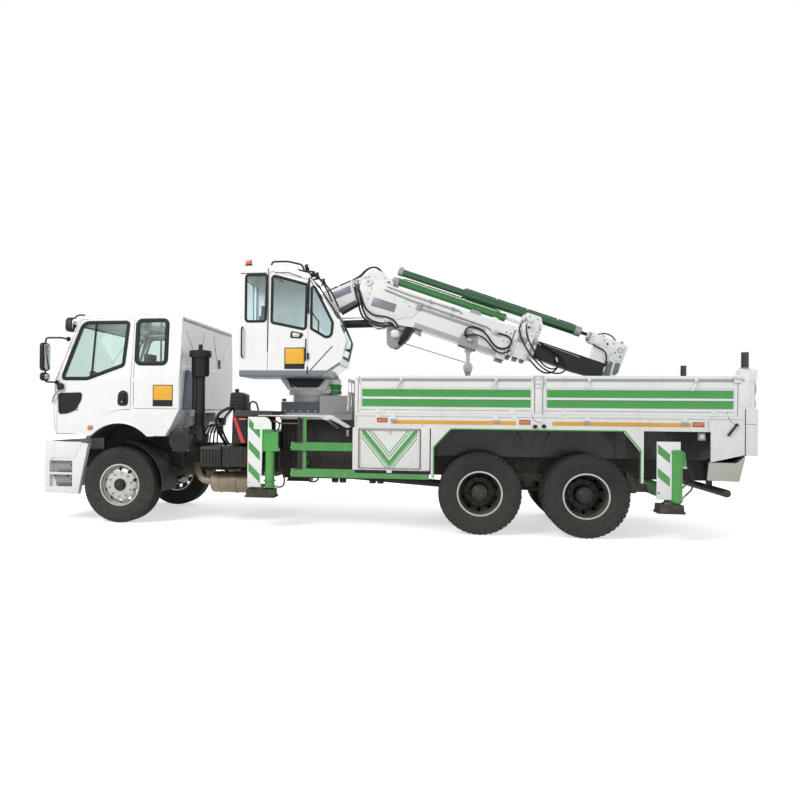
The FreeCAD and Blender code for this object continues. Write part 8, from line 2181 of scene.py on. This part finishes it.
def bed_side_trim():
    """Lamps, reflecting tape, stops, latches and the painted arch edge along the bed's side."""
    piece = Piece("bed_side_trim", "chassis", "cab_white")
    y = BED_FACE
    bar_strip(piece, ARCH_EDGE, 0.016, 0.003, y, "green paint", 0.02)
    for x, z in ((3.70, 1.478), (5.558, 1.470), (7.681, 1.464)):
        piece.box((at(x), at(x + 0.122)), (y - 0.011, y), (z + 0.004, z + 0.048), "amber lens", 0.005)
        piece.box((at(x - 0.007), at(x + 0.129)), (y - 0.007, y), (z - 0.003, z + 0.055), "seal rubber", 0.003)
    for start, end in ((3.885, 5.506), (5.968, 7.655)):
        piece.box((at(start), at(end)), (y - 0.0022, y), (1.456, 1.508), "yellow tape", 0.0008)
    # Stops: a white block with a grey block at its foot, which is painted shadow under the stop, and a white
    # upright.
    for x, way in ((3.91, 1), (5.256, 1), (6.395, -1), (7.58, -1)):
        piece.box((at(x - 0.038), at(x + 0.038)), (y - 0.008, y + 0.002), (1.500, 1.596), "bed white", 0.005)
        piece.box((at(x - 0.038), at(x + 0.038)), (y - 0.014, y - 0.002), (1.480, 1.520), "shade grey", 0.005)
        piece.box((at(x + way * 0.030) - 0.008, at(x + way * 0.030) + 0.008), (y - 0.013, y), (1.490, 1.590),
                  "bed white", 0.004)
    for x in (3.705, 5.490, 6.115, 7.835):
        piece.box((at(x - 0.036), at(x + 0.036)), (y - 0.005, y + 0.002), (1.535, 1.592), "bed white", 0.005)
        studs(piece, [(at(x - 0.018), y - 0.004, 1.552), (at(x + 0.018), y - 0.004, 1.552)], (0, -1, 0),
              "zinc", 0.004)
    for x, z in ((5.749, 1.441), (5.858, 1.446)):
        piece.rod((at(x), y - 0.024, z), (at(x), y + 0.002, z), 0.026, "black plastic", 20, 0.005)
        piece.rod((at(x) - 0.026, y - 0.028, z - 0.012), (at(x) + 0.026, y - 0.028, z + 0.014), 0.009,
                  "black plastic", 10, 0.004)
    bar_strip(piece, [(5.705, 1.612), (5.712, 1.560), (5.752, 1.512), (5.832, 1.485)], 0.007, 0.001, y,
              "seam shadow", 0.03)
    bar_strip(piece, [(8.082, 1.657), (8.088, 1.590), (8.110, 1.545), (8.151, 1.512)], 0.007, 0.001, y,
              "seam shadow", 0.03)
    piece.prism("side", [(at(8.199), 1.492, 0.01), (at(8.176), 1.505, 0.01), (at(8.072), 1.362, 0.012),
                         (at(8.092), 1.342, 0.012)],
                y - 0.030, y - 0.012, "black plastic", 0.005)
    piece.rod((at(8.186), y - 0.034, 1.492), (at(8.186), y + 0.002, 1.492), 0.019, "black plastic", 16, 0.004)
    bar_strip(piece, [(8.292, 1.110), (8.292, 1.690)], 0.012, 0.001, y, "seam shadow")
    bar_strip(piece, [(8.298, 1.503), (8.412, 1.503)], 0.006, 0.001, y, "seam shadow")
    # The grey panel below the white skirt is painted shade of the skirt's chamfered underside.
    skirt = [(at(7.872), 1.020), (at(8.292), 1.124), (at(8.292), 1.060, 0.02), (at(8.228), 0.782, 0.02),
             (at(7.848), 0.792, 0.02)]
    piece.prism("side", skirt, y, y + 0.022, "rear skirt grey", 0.004)
    bar_strip(piece, [(7.876, 1.022), (8.150, 1.022), (8.285, 1.112)], 0.006, 0.001, y - 0.001, "seam shadow",
              0.02)
    piece.box((at(7.761), at(7.850)), (y + 0.06, y + 0.11), (1.290, 1.393), "grey plastic", 0.01)
    piece.rod((at(7.805), y + 0.052, 1.345), (at(7.805), y + 0.065, 1.345), 0.032, "white lens", 24, 0.004)
    for x in (3.415, 4.30, 7.16, 7.86):
        bar_strip(piece, [(x, 1.415), (x, 1.55)], 0.004, 0.0008, y, "seam shadow")
    bar_strip(piece, [(3.40, 1.556), (8.27, 1.556)], 0.004, 0.0008, y, "seam shadow")
    inner = -1.14
    piece.tube([(at(5.528), inner, 1.372), (at(5.678), inner, 1.098), (at(5.836), inner, 1.101),
                (at(5.949), inner, 1.372)],
               0.014, "chassis black", 8, 0.03)
    piece.box((at(5.66), at(5.86)), (inner - 0.01, inner + 0.03), (1.085, 1.112), "chassis black", 0.004)
    post = at(5.746)
    piece.box((post + 0.010, post + 0.084), (y - 0.008, y + 0.004), (1.62, 2.086), "bed white", 0.006)
    piece.box((post - 0.012, post + 0.106), (y - 0.020, y + 0.05), (2.086, 2.112), "bed white", 0.008)
    for z in (1.99, 2.05):
        piece.rod((post - 0.016, y - 0.020, z), (post + 0.110, y - 0.020, z), 0.011, "zinc", 12, 0.003)
    piece.prism("side", [(post + 0.004, 1.94, 0.01), (post + 0.090, 1.94, 0.01), (post + 0.098, 2.072, 0.012),
                         (post - 0.004, 2.072, 0.012)], y - 0.024, y - 0.010, "bed white", 0.005)
    rear = at(8.205)
    piece.box((rear + 0.010, rear + 0.150), (y - 0.010, y + 0.004), (1.72, 2.150), "bed white", 0.006)
    piece.prism("side", [(rear - 0.060, 2.010, 0.012), (rear + 0.034, 2.020, 0.012), (rear + 0.040, 2.104, 0.016),
                         (rear - 0.052, 2.120, 0.016)], y - 0.026, y - 0.006, "bed white", 0.006)
    piece.rod((rear - 0.066, y - 0.024, 2.075), (rear + 0.060, y - 0.024, 2.052), 0.012, "zinc", 12, 0.003)
    piece.prism("side", [(rear + 0.118, 2.032, 0.01), (rear + 0.210, 2.036, 0.014), (rear + 0.216, 2.180, 0.014),
                         (rear + 0.134, 2.186, 0.01)], y - 0.018, y + 0.060, "bed white", 0.007)
    piece.rod((rear + 0.085, y + 0.046, 2.188), (rear + 0.085, y + 0.046, 2.206), 0.058, "shade grey", 28, 0.004)
    piece.mirrored()
    piece.done()


def bed_ends_trim():
    """Lamp bars, under-run bar, blank plate, tailgate ribs and the headboard's frame."""
    low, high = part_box("tailgate")
    gate = Piece("tailgate_trim", "tailgate", "board_grey")
    face = high.x
    for y in (-0.95, -0.475, 0.0, 0.475, 0.95):
        gate.box((face - 0.004, face + 0.004), (y - 0.035, y + 0.035), (low.z + 0.08, high.z - 0.05),
                 "bed white", 0.004)
    for z in (low.z + 0.078, high.z - 0.024):
        gate.box((face - 0.004, face + 0.004), (low.y + 0.02, high.y - 0.02), (z - 0.022, z + 0.022),
                 "bed white", 0.004)
    for z in (low.z + 0.14, low.z + 0.272):
        for y in (-0.7125, -0.2375, 0.2375, 0.7125):
            gate.box((face - 0.004, face + 0.002), (y - 0.195, y + 0.195), (z - 0.046, z + 0.046),
                     "green paint", 0.001)
    for way in (-1, 1):
        gate.rod((face - 0.002, way * 1.13, high.z - 0.10), (face + 0.007, way * 1.13, high.z - 0.10), 0.016,
                 "zinc", 14, 0.003)
        gate.box((face + 0.002, face + 0.009), (way * 1.13 - 0.012, way * 1.13 + 0.012),
                 (high.z - 0.21, high.z - 0.09), "steel", 0.004)
    gate.done()
    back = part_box("platform")[1].x
    piece = Piece("bed_back_trim", "chassis", "cab_white")
    for way in (-1, 1):
        inner, outer = sorted((way * 0.76, way * 1.20))
        piece.box((back - 0.012, back + 0.006), (inner, outer), (1.20, 1.36), "black plastic", 0.008)
        step = (outer - inner) / 4
        for i, look in enumerate(("amber lens", "red lens", "red lens", "white lens")):
            near = inner + step * (i if way < 0 else 3 - i)
            piece.box((back, back + 0.009), (near + 0.006, near + step - 0.006), (1.215, 1.345), look, 0.008)
        piece.box((back - 0.004, back + 0.004), (inner, outer), (1.40, 1.45), "red reflector", 0.002)
        piece.box((back - 0.004, back + 0.0025), (inner, outer), (1.62, 1.665), "yellow tape", 0.001)
    piece.box((back - 0.004, back + 0.006), (-0.27, 0.27), (1.205, 1.335), "white lens", 0.004)
    piece.box((back - 0.004, back + 0.004), (-0.285, 0.285), (1.19, 1.35), "black plastic", 0.003)
    for y in (-0.62, -0.35, 0.35, 0.62):
        piece.box((back - 0.004, back + 0.003), (y - 0.03, y + 0.03), (1.14, 1.60), "bed white", 0.004)
    piece.rod((back - 0.30, -1.10, 0.62), (back - 0.30, 1.10, 0.62), 0.05, "chassis black", 24, 0.006)
    for y in (-0.46, 0.46):
        piece.box((back - 0.34, back - 0.27), (y - 0.03, y + 0.03), (0.60, 1.02), "chassis black", 0.006)
    for way in (-1, 1):
        inner, outer = sorted((way * 0.40, way * 1.00))
        piece.box((back - 0.252, back - 0.246), (inner, outer), (0.59, 0.65), "yellow tape", 0.001)
    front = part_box("platform")[0].x
    for z in (1.66, 1.86, 2.04):
        piece.box((front - 0.014, front + 0.004), (-1.22, 1.22), (z - 0.025, z + 0.025), "bed white", 0.005)
    for i in range(9):
        y = -1.16 + 0.29 * i
        piece.box((front - 0.010, front + 0.004), (y - 0.018, y + 0.018), (1.62, 2.07), "bed white", 0.004)
    piece.done()


def rear_stabilizer_trim():
    """Cylinder, caps, handle, hoses and foot of a rear stabilizer."""
    piece = Piece("rear_stabilizer_trim", "chassis", "cylinder_green")
    x, y = at(7.483), -1.262
    bowl = [(0.0, 0.0), (0.0, 0.060), (0.006, 0.068), (0.028, 0.076), (0.034, 0.070), (0.62, 0.070),
            (0.628, 0.077), (0.652, 0.077), (0.660, 0.066), (0.668, 0.058), (0.672, 0.0)]
    piece.turned(bowl, (x, y, 0.50), "z", "stabilizer green", 36)
    piece.rod((x, y, 1.168), (x, y, 1.196), 0.016, "zinc", 12, 0.003)
    piece.tube([(x - 0.02, y - 0.01, 1.17), (x - 0.02, y - 0.01, 1.235), (x + 0.02, y - 0.01, 1.235),
                (x + 0.02, y - 0.01, 1.17)],
               0.006, "zinc", 8, 0.02)
    for z in (0.655, 1.02):
        piece.box((x - 0.10, x - 0.05), (y - 0.018, y + 0.02), (z - 0.012, z + 0.012), "stabilizer green", 0.004)
    piece.prism("side", [(x + 0.060, 1.149, 0.01), (x + 0.100, 1.140, 0.01), (x + 0.112, 1.020, 0.014),
                         (x + 0.126, 0.930, 0.01),
                         (x + 0.060, 0.945, 0.01)], y - 0.010, y + 0.012, "stabilizer green", 0.004)
    hose(piece, [(x + 0.075, y - 0.012, 0.955), (x + 0.165, y - 0.014, 0.930), (x + 0.196, y - 0.012, 0.80),
                 (x + 0.188, y, 0.675), (x + 0.120, y + 0.01, 0.610), (x + 0.073, y, 0.555)], 0.011)
    hose(piece, [(x + 0.075, y + 0.012, 1.020), (x + 0.150, y + 0.02, 1.000), (x + 0.158, y + 0.03, 0.86),
                 (x + 0.160, y + 0.07, 0.74), (x + 0.115, y + 0.09, 0.700)], 0.010)
    piece.mirrored()
    piece.done()
    foot = Piece("rear_left_foot_trim", "rear_left_leg", "cast")
    low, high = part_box("rear_left_leg")
    foot_trim(foot, low, high, 0.115)
    foot.flipped("rear_right_foot_trim", "rear_right_leg").done()
    foot.done()


def foot_trim(piece, low, high, rise):
    """A raised rim, a ball socket and four bolts on a stabilizer's foot."""
    x, y = (low.x + high.x) / 2, (low.y + high.y) / 2
    top = low.z + rise
    piece.turned([(0.0, 0.085), (0.016, 0.080), (0.030, 0.064), (0.052, 0.060), (0.056, 0.0)],
                 (x, y, top - 0.004), "z", "cast iron", 28)
    for angle in (0.79, 2.36, 3.93, 5.50):
        spot = Vector((x + 0.085 * math.cos(angle), y + 0.085 * math.sin(angle), top + 0.002))
        piece.rod(spot, spot + Vector((0, 0, 0.016)), 0.010, "zinc", 6, 0.002)
    piece.box((low.x + 0.006, high.x - 0.006), (low.y - 0.004, low.y + 0.006), (low.z + 0.012, low.z + 0.034),
              "guard plastic", 0.004)


def front_stabilizer_trim():
    """Lips, bracket, pipe, hose and foot of a front stabilizer."""
    body = "front_left_beam"
    piece = Piece("front_left_beam_trim", body, "cylinder_green")
    x, y, radius = at(2.211), -1.2157, 0.076
    for z in (0.560, 0.645, 1.330):
        piece.turned([(0.0, radius - 0.006), (0.004, radius + 0.008), (0.020, radius + 0.008),
                      (0.024, radius - 0.006), (0.0, radius - 0.006)], (x, y, z), "z", "stabilizer green", 36)
    piece.prism("side", [(x + 0.066, 1.10, 0.01), (x + 0.126, 1.12, 0.01), (x + 0.126, 1.33, 0.012),
                         (x + 0.066, 1.33, 0.01)],
                y - 0.016, y + 0.016, "stabilizer green", 0.004)
    piece.rod((x + 0.096, y - 0.024, 1.215), (x + 0.096, y + 0.024, 1.215), 0.020, "zinc", 14, 0.003)
    hose(piece, [(x + 0.118, y - 0.010, 1.110), (x + 0.160, y - 0.012, 1.00), (x + 0.128, y - 0.012, 0.86),
                 (x + 0.205, y - 0.008, 0.735),
                 (x + 0.212, y, 0.60), (x + 0.130, y + 0.01, 0.555), (x + 0.070, y, 0.590)], 0.011)
    hose(piece, [(x + 0.060, y + 0.05, 1.30), (x + 0.120, y + 0.07, 1.38), (x + 0.100, y + 0.12, 1.46),
                 (x + 0.02, y + 0.16, 1.47)], 0.010)
    studs(piece, [(at(1.945), -1.290, 1.47), (at(2.235), -1.290, 1.47), (at(1.945), -1.290, 0.63),
                  (at(2.075), -1.290, 0.63)],
          (0, -1, 0), "zinc", 0.009)
    piece.flipped("front_right_beam_trim", "front_right_beam").done()
    piece.done()
    foot = Piece("front_left_foot_trim", "front_left_leg", "cast")
    low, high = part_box("front_left_leg")
    foot_trim(foot, low, high, 0.125)
    foot.flipped("front_right_foot_trim", "front_right_leg").done()
    foot.done()


def toolbox_trim():
    """Frame, handle and seal of the toolbox and its door."""
    low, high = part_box("toolbox_door")
    y = low.y
    piece = Piece("toolbox_door_trim", "toolbox_door", "cab_white")
    strip_y = y - 0.001
    for ends in (((low.x + 0.008, low.z + 0.008), (high.x - 0.008, low.z + 0.008)),
                 ((low.x + 0.008, high.z - 0.008), (high.x - 0.008, high.z - 0.008)),
                 ((low.x + 0.008, low.z + 0.008), (low.x + 0.008, high.z - 0.008)),
                 ((high.x - 0.008, low.z + 0.008), (high.x - 0.008, high.z - 0.008))):
        (x0, z0), (x1, z1) = ends
        piece.box((x0 - 0.005, x1 + 0.005), (strip_y - 0.003, y + 0.002), (z0 - 0.005, z1 + 0.005),
                  "shade grey", 0.0015)
    middle_x = (low.x + high.x) / 2
    piece.rod((middle_x, y - 0.018, high.z - 0.010), (middle_x, y + 0.002, high.z - 0.010), 0.016, "steel",
              16, 0.003)
    piece.prism("side", [(middle_x - 0.006, high.z - 0.012), (middle_x + 0.007, high.z - 0.012),
                         (middle_x + 0.003, high.z - 0.058),
                         (middle_x - 0.012, high.z - 0.060)], y - 0.022, y - 0.012, "zinc", 0.003)
    piece.done()
    frame_piece = Piece("toolbox_frame_trim", "chassis", "cab_white")
    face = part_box("toolbox")[0].y
    frame_piece.box((low.x - 0.05, at(4.40)), (face - 0.004, face + 0.05), (0.790, 0.832), "seal rubber", 0.003)
    frame_piece.box((middle_x - 0.035, middle_x + 0.035), (face - 0.010, face), (0.800, 0.838), "bed white", 0.003)
    frame_piece.box((at(4.285), at(4.395)), (face - 0.006, face + 0.004), (0.84, 1.395), "bed white", 0.006)
    frame_piece.done()


def chassis_boxes_trim():
    """Battery box, lidded tool bin, filler and fuel tank hung on the frame, in their true outlines."""
    piece = Piece("chassis_boxes_full", "chassis", "chassis_grey")
    piece.prism("side", [(at(1.191), 0.822, 0.03), (at(1.495), 0.830, 0.03), (at(1.495), 1.107, 0.03),
                         (at(1.191), 1.107, 0.03)],
                -1.165, -0.45, "guard plastic", 0.012)
    rib = Piece("rib", "", "")
    rib.prism("side", oblong((0.0, 0.022), (0.85, 1.075), 0.01), -1.178, -1.15, "guard plastic", 0.004)
    row(piece, rib, "guard plastic", 6, (at(1.215), 0, 0), (0.046, 0, 0))
    piece.box((at(1.20), at(1.486)), (-1.172, -1.15), (1.062, 1.100), "lid grey", 0.006)
    piece.prism("side", oblong((at(1.51), at(1.88)), (0.83, 1.107), 0.03),
                -1.160, -0.45, "guard plastic", 0.012)
    for x in (1.60, 1.79):
        piece.box((at(x) - 0.014, at(x) + 0.014), (-1.166, -0.5), (0.822, 1.114), "chassis black", 0.004)
    piece.prism("side", [(at(1.645), 1.155, 0.02), (at(1.870), 1.155, 0.02), (at(1.862), 1.53, 0.01),
                         (at(1.655), 1.53, 0.01)],
                -1.165, -0.45, "guard plastic", 0.010)
    piece.prism("side", [(at(1.66), 1.530, 0.01), (at(2.243), 1.530, 0.01), (at(2.235), 1.612, 0.03),
                         (at(1.70), 1.620, 0.03)],
                -1.190, -0.47, "lid grey", 0.012)
    piece.prism("side", oblong((at(1.87), at(2.10)), (1.115, 1.535), 0.01),
                -1.00, -0.47, "chassis black", 0.006)
    piece.prism("side", [(at(1.659), 1.527), (at(1.707), 1.528), (at(1.843), 1.164), (at(1.783), 1.170)],
                -1.172, -1.163, "red reflector", 0.002)
    piece.box((at(1.755), at(1.863)), (-1.178, -1.163), (1.483, 1.507), "amber lens", 0.004)
    piece.tube([(at(1.884), -1.10, 1.615), (at(1.886), -1.10, 1.715), (at(1.932), -1.10, 1.750),
                (at(1.985), -1.10, 1.715), (at(2.010), -1.10, 1.615)], 0.012, "hose rubber", 10, 0.05)
    piece.prism("side", [(at(1.546), 1.62, 0.02), (at(1.777), 1.62, 0.02), (at(1.770), 1.845, 0.03),
                         (at(1.700), 1.875, 0.02), (at(1.560), 1.870, 0.03)], -0.98, -0.72, "chassis black", 0.015)
    piece.box((at(1.58), at(1.74)), (-0.92, -0.50), (1.10, 1.63), "chassis black", 0.01)
    for i in range(4):
        piece.box((at(1.566), at(1.76)), (-0.986, -0.97), (1.655 + 0.045 * i, 1.675 + 0.045 * i),
                  "chassis black", 0.003)
    piece.rod((at(1.62), -0.85, 1.868), (at(1.62), -0.85, 1.925), 0.028, "black plastic", 18, 0.004)
    hose(piece, [(at(1.60), -1.0, 1.66), (at(1.45), -1.05, 1.62), (at(1.35), -1.02, 1.45),
                 (at(1.40), -0.90, 1.25), (at(1.45), -0.80, 1.12)],
         0.022, ends=False)
    hose(piece, [(at(1.66), -0.96, 1.70), (at(1.50), -1.02, 1.55), (at(1.42), -1.00, 1.35),
                 (at(1.52), -0.92, 1.15)], 0.016, ends=False)
    for i in range(5):
        hose(piece, [(at(1.14 + 0.05 * i), -0.96 + 0.02 * i, 1.13), (at(1.16 + 0.05 * i), -0.94, 1.32),
                     (at(1.25 + 0.03 * i), -0.80, 1.44), (at(1.30), -0.56, 1.40 - 0.05 * i)], 0.012, ends=False)
    front, rear = at(1.0), at(1.89)
    piece.prism("front", [(0.46, 0.56, 0.07), (1.17, 0.56, 0.11), (1.17, 1.08, 0.11), (0.46, 1.08, 0.04)],
                front, rear, "lid grey", 0.015)
    for x in (1.17, 1.70):
        piece.prism("front", [(0.46, 0.552, 0.07), (1.178, 0.552, 0.115), (1.178, 1.088, 0.115),
                              (0.46, 1.088, 0.04)],
                    at(x) - 0.025, at(x) + 0.025, "steel", 0.003)
    piece.rod((at(1.44), 0.98, 1.07), (at(1.44), 0.98, 1.115), 0.055, "black plastic", 28, 0.008)
    piece.done("chassis_boxes")


def mudguards_trim():
    """The front wheels' guards without their hanging flaps, and the short bracket behind the last axle."""
    piece = Piece("mudguards_full", "chassis", "black_plastic")
    shape = bmesh.new()
    shape.from_mesh(NODES["mudguards"].data)
    bmesh.ops.remove_doubles(shape, verts=shape.verts, dist=1e-5)
    bmesh.ops.delete(shape, geom=[v for v in shape.verts if v.co.x > at(5.0)], context="VERTS")
    everything = shape.verts[:] + shape.edges[:] + shape.faces[:]
    bmesh.ops.bisect_plane(shape, geom=everything, dist=1e-5, plane_co=(0, 0, 0.455), plane_no=(0, 0, 1),
                           clear_inner=True)
    bmesh.ops.holes_fill(shape, edges=[e for e in shape.edges if e.is_boundary])
    piece.take_bmesh(shape, "guard plastic")
    for way in (-1, 1):
        inner, outer = sorted((way * 0.80, way * 1.13))
        piece.prism("side", [(at(6.930), 0.612, 0.01), (at(7.171), 0.615, 0.01), (at(7.170), 0.699, 0.01),
                             (at(7.00), 0.80, 0.02),
                             (at(6.907), 0.883, 0.01)], inner, outer, "guard plastic", 0.006)
    piece.done("mudguards")


def between_trim():
    """Deck strip, ribbed panel, posts, hoses and lamp between the cab and the bed."""
    piece = Piece("between_trim", "chassis", "chassis_grey")
    y = -1.02
    piece.prism("side", [(at(2.30), 1.500), (at(3.02), 1.500), (at(3.25), 1.385), (at(3.31), 1.405),
                         (at(3.04), 1.560), (at(2.30), 1.560)],
                y - 0.012, y + 0.03, "bed white", 0.006)
    piece.box((at(2.271), at(2.57)), (y + 0.005, y + 0.03), (1.432, 1.451), "grey plastic", 0.003)
    rib = Piece("rib", "", "")
    rib.box((0.0, 0.012), (y + 0.01, y + 0.05), (0.70, 1.42), "chassis black", 0.003)
    row(piece, rib, "chassis black", 9, (at(2.345), 0, 0), (0.023, 0, 0))
    piece.box((at(2.335), at(3.36)), (y + 0.04, y + 0.06), (0.68, 1.50), "chassis black", 0.004)
    piece.box((at(2.605), at(2.641)), (-1.235, -1.20), (0.80, 1.514), "chassis black", 0.006)
    piece.rod((at(2.623), -1.218, 1.50), (at(2.623), -1.218, 1.53), 0.024, "chassis black", 16, 0.006)
    piece.box((at(3.243), at(3.278)), (y - 0.01, y + 0.05), (1.267, 1.359), "grey plastic", 0.006)
    piece.tube([(at(2.69), y, 0.70), (at(2.715), y, 0.645), (at(2.78), y, 0.632), (at(2.84), y, 0.650),
                (at(2.86), y, 0.70)],
               0.012, "hose rubber", 10, 0.04)
    for x in (3.02, 3.13, 3.55, 3.66):
        piece.rod((at(x), -0.86, 0.655), (at(x) + 0.09, -0.86, 0.655), 0.040, "chassis black", 20, 0.01)
    piece.rod((at(3.36), -1.255, 1.452), (at(3.36), -1.22, 1.452), 0.028, "black plastic", 20, 0.006)
    for x in (2.52, 3.27, 4.32):
        studs(piece, [(at(x), -1.252, 1.12), (at(x), -1.252, 0.76)], (0, -1, 0), "zinc", 0.008)
    piece.done()
    pipe = Piece("silencer_trim", "chassis", "exhaust")
    pipe.turned([(0.0, 0.150), (-0.004, 0.158), (-0.016, 0.158), (-0.020, 0.150), (0.0, 0.150)],
                (at(1.40), -0.80, 0.585), "x", "tan steel", 40)
    pipe.turned([(0.0, 0.152), (0.0, 0.158), (0.020, 0.158), (0.020, 0.152), (0.0, 0.152)],
                (at(1.62), -0.80, 0.585), "x", "tan steel", 40)
    pipe.turned([(0.0, 0.128), (0.004, 0.128), (0.004, 0.0)], (at(1.873), -0.80, 0.585), "x", "chassis black", 36)
    pipe.tube([(at(1.28), -0.80, 0.585), (at(1.10), -0.80, 0.60), (at(0.98), -0.66, 0.72),
               (at(0.90), -0.50, 0.80)], 0.05, "tan steel", 16, 0.08)
    pipe.done()


camera()
studio()
dress_cad()
wheels()
doors()
mirrors()
front_face()
cab_sides()
cab_back()
bumper()
intake_trim()
crane_cab_trim()
crane_seats()
column_trim()
base_trim()
outer_boom_trim()
first_cylinder_sleeve()
winch_rope()
hook_trim()
extension_trim()
inner_boom_trim()
ram_trim("lift_cylinder_trim", "lift_barrel", (2.79, 2.15), (2.70, 3.12), 0.066)
ram_trim("fold_cylinder_trim", "fold_barrel", (2.865, 2.948), (3.684, 2.965), 0.062)
chassis_boxes_trim()
between_trim()
mudguards_trim()
board_trim("front")
board_trim("rear")
bed_side_trim()
bed_ends_trim()
front_stabilizer_trim()
rear_stabilizer_trim()
toolbox_trim()
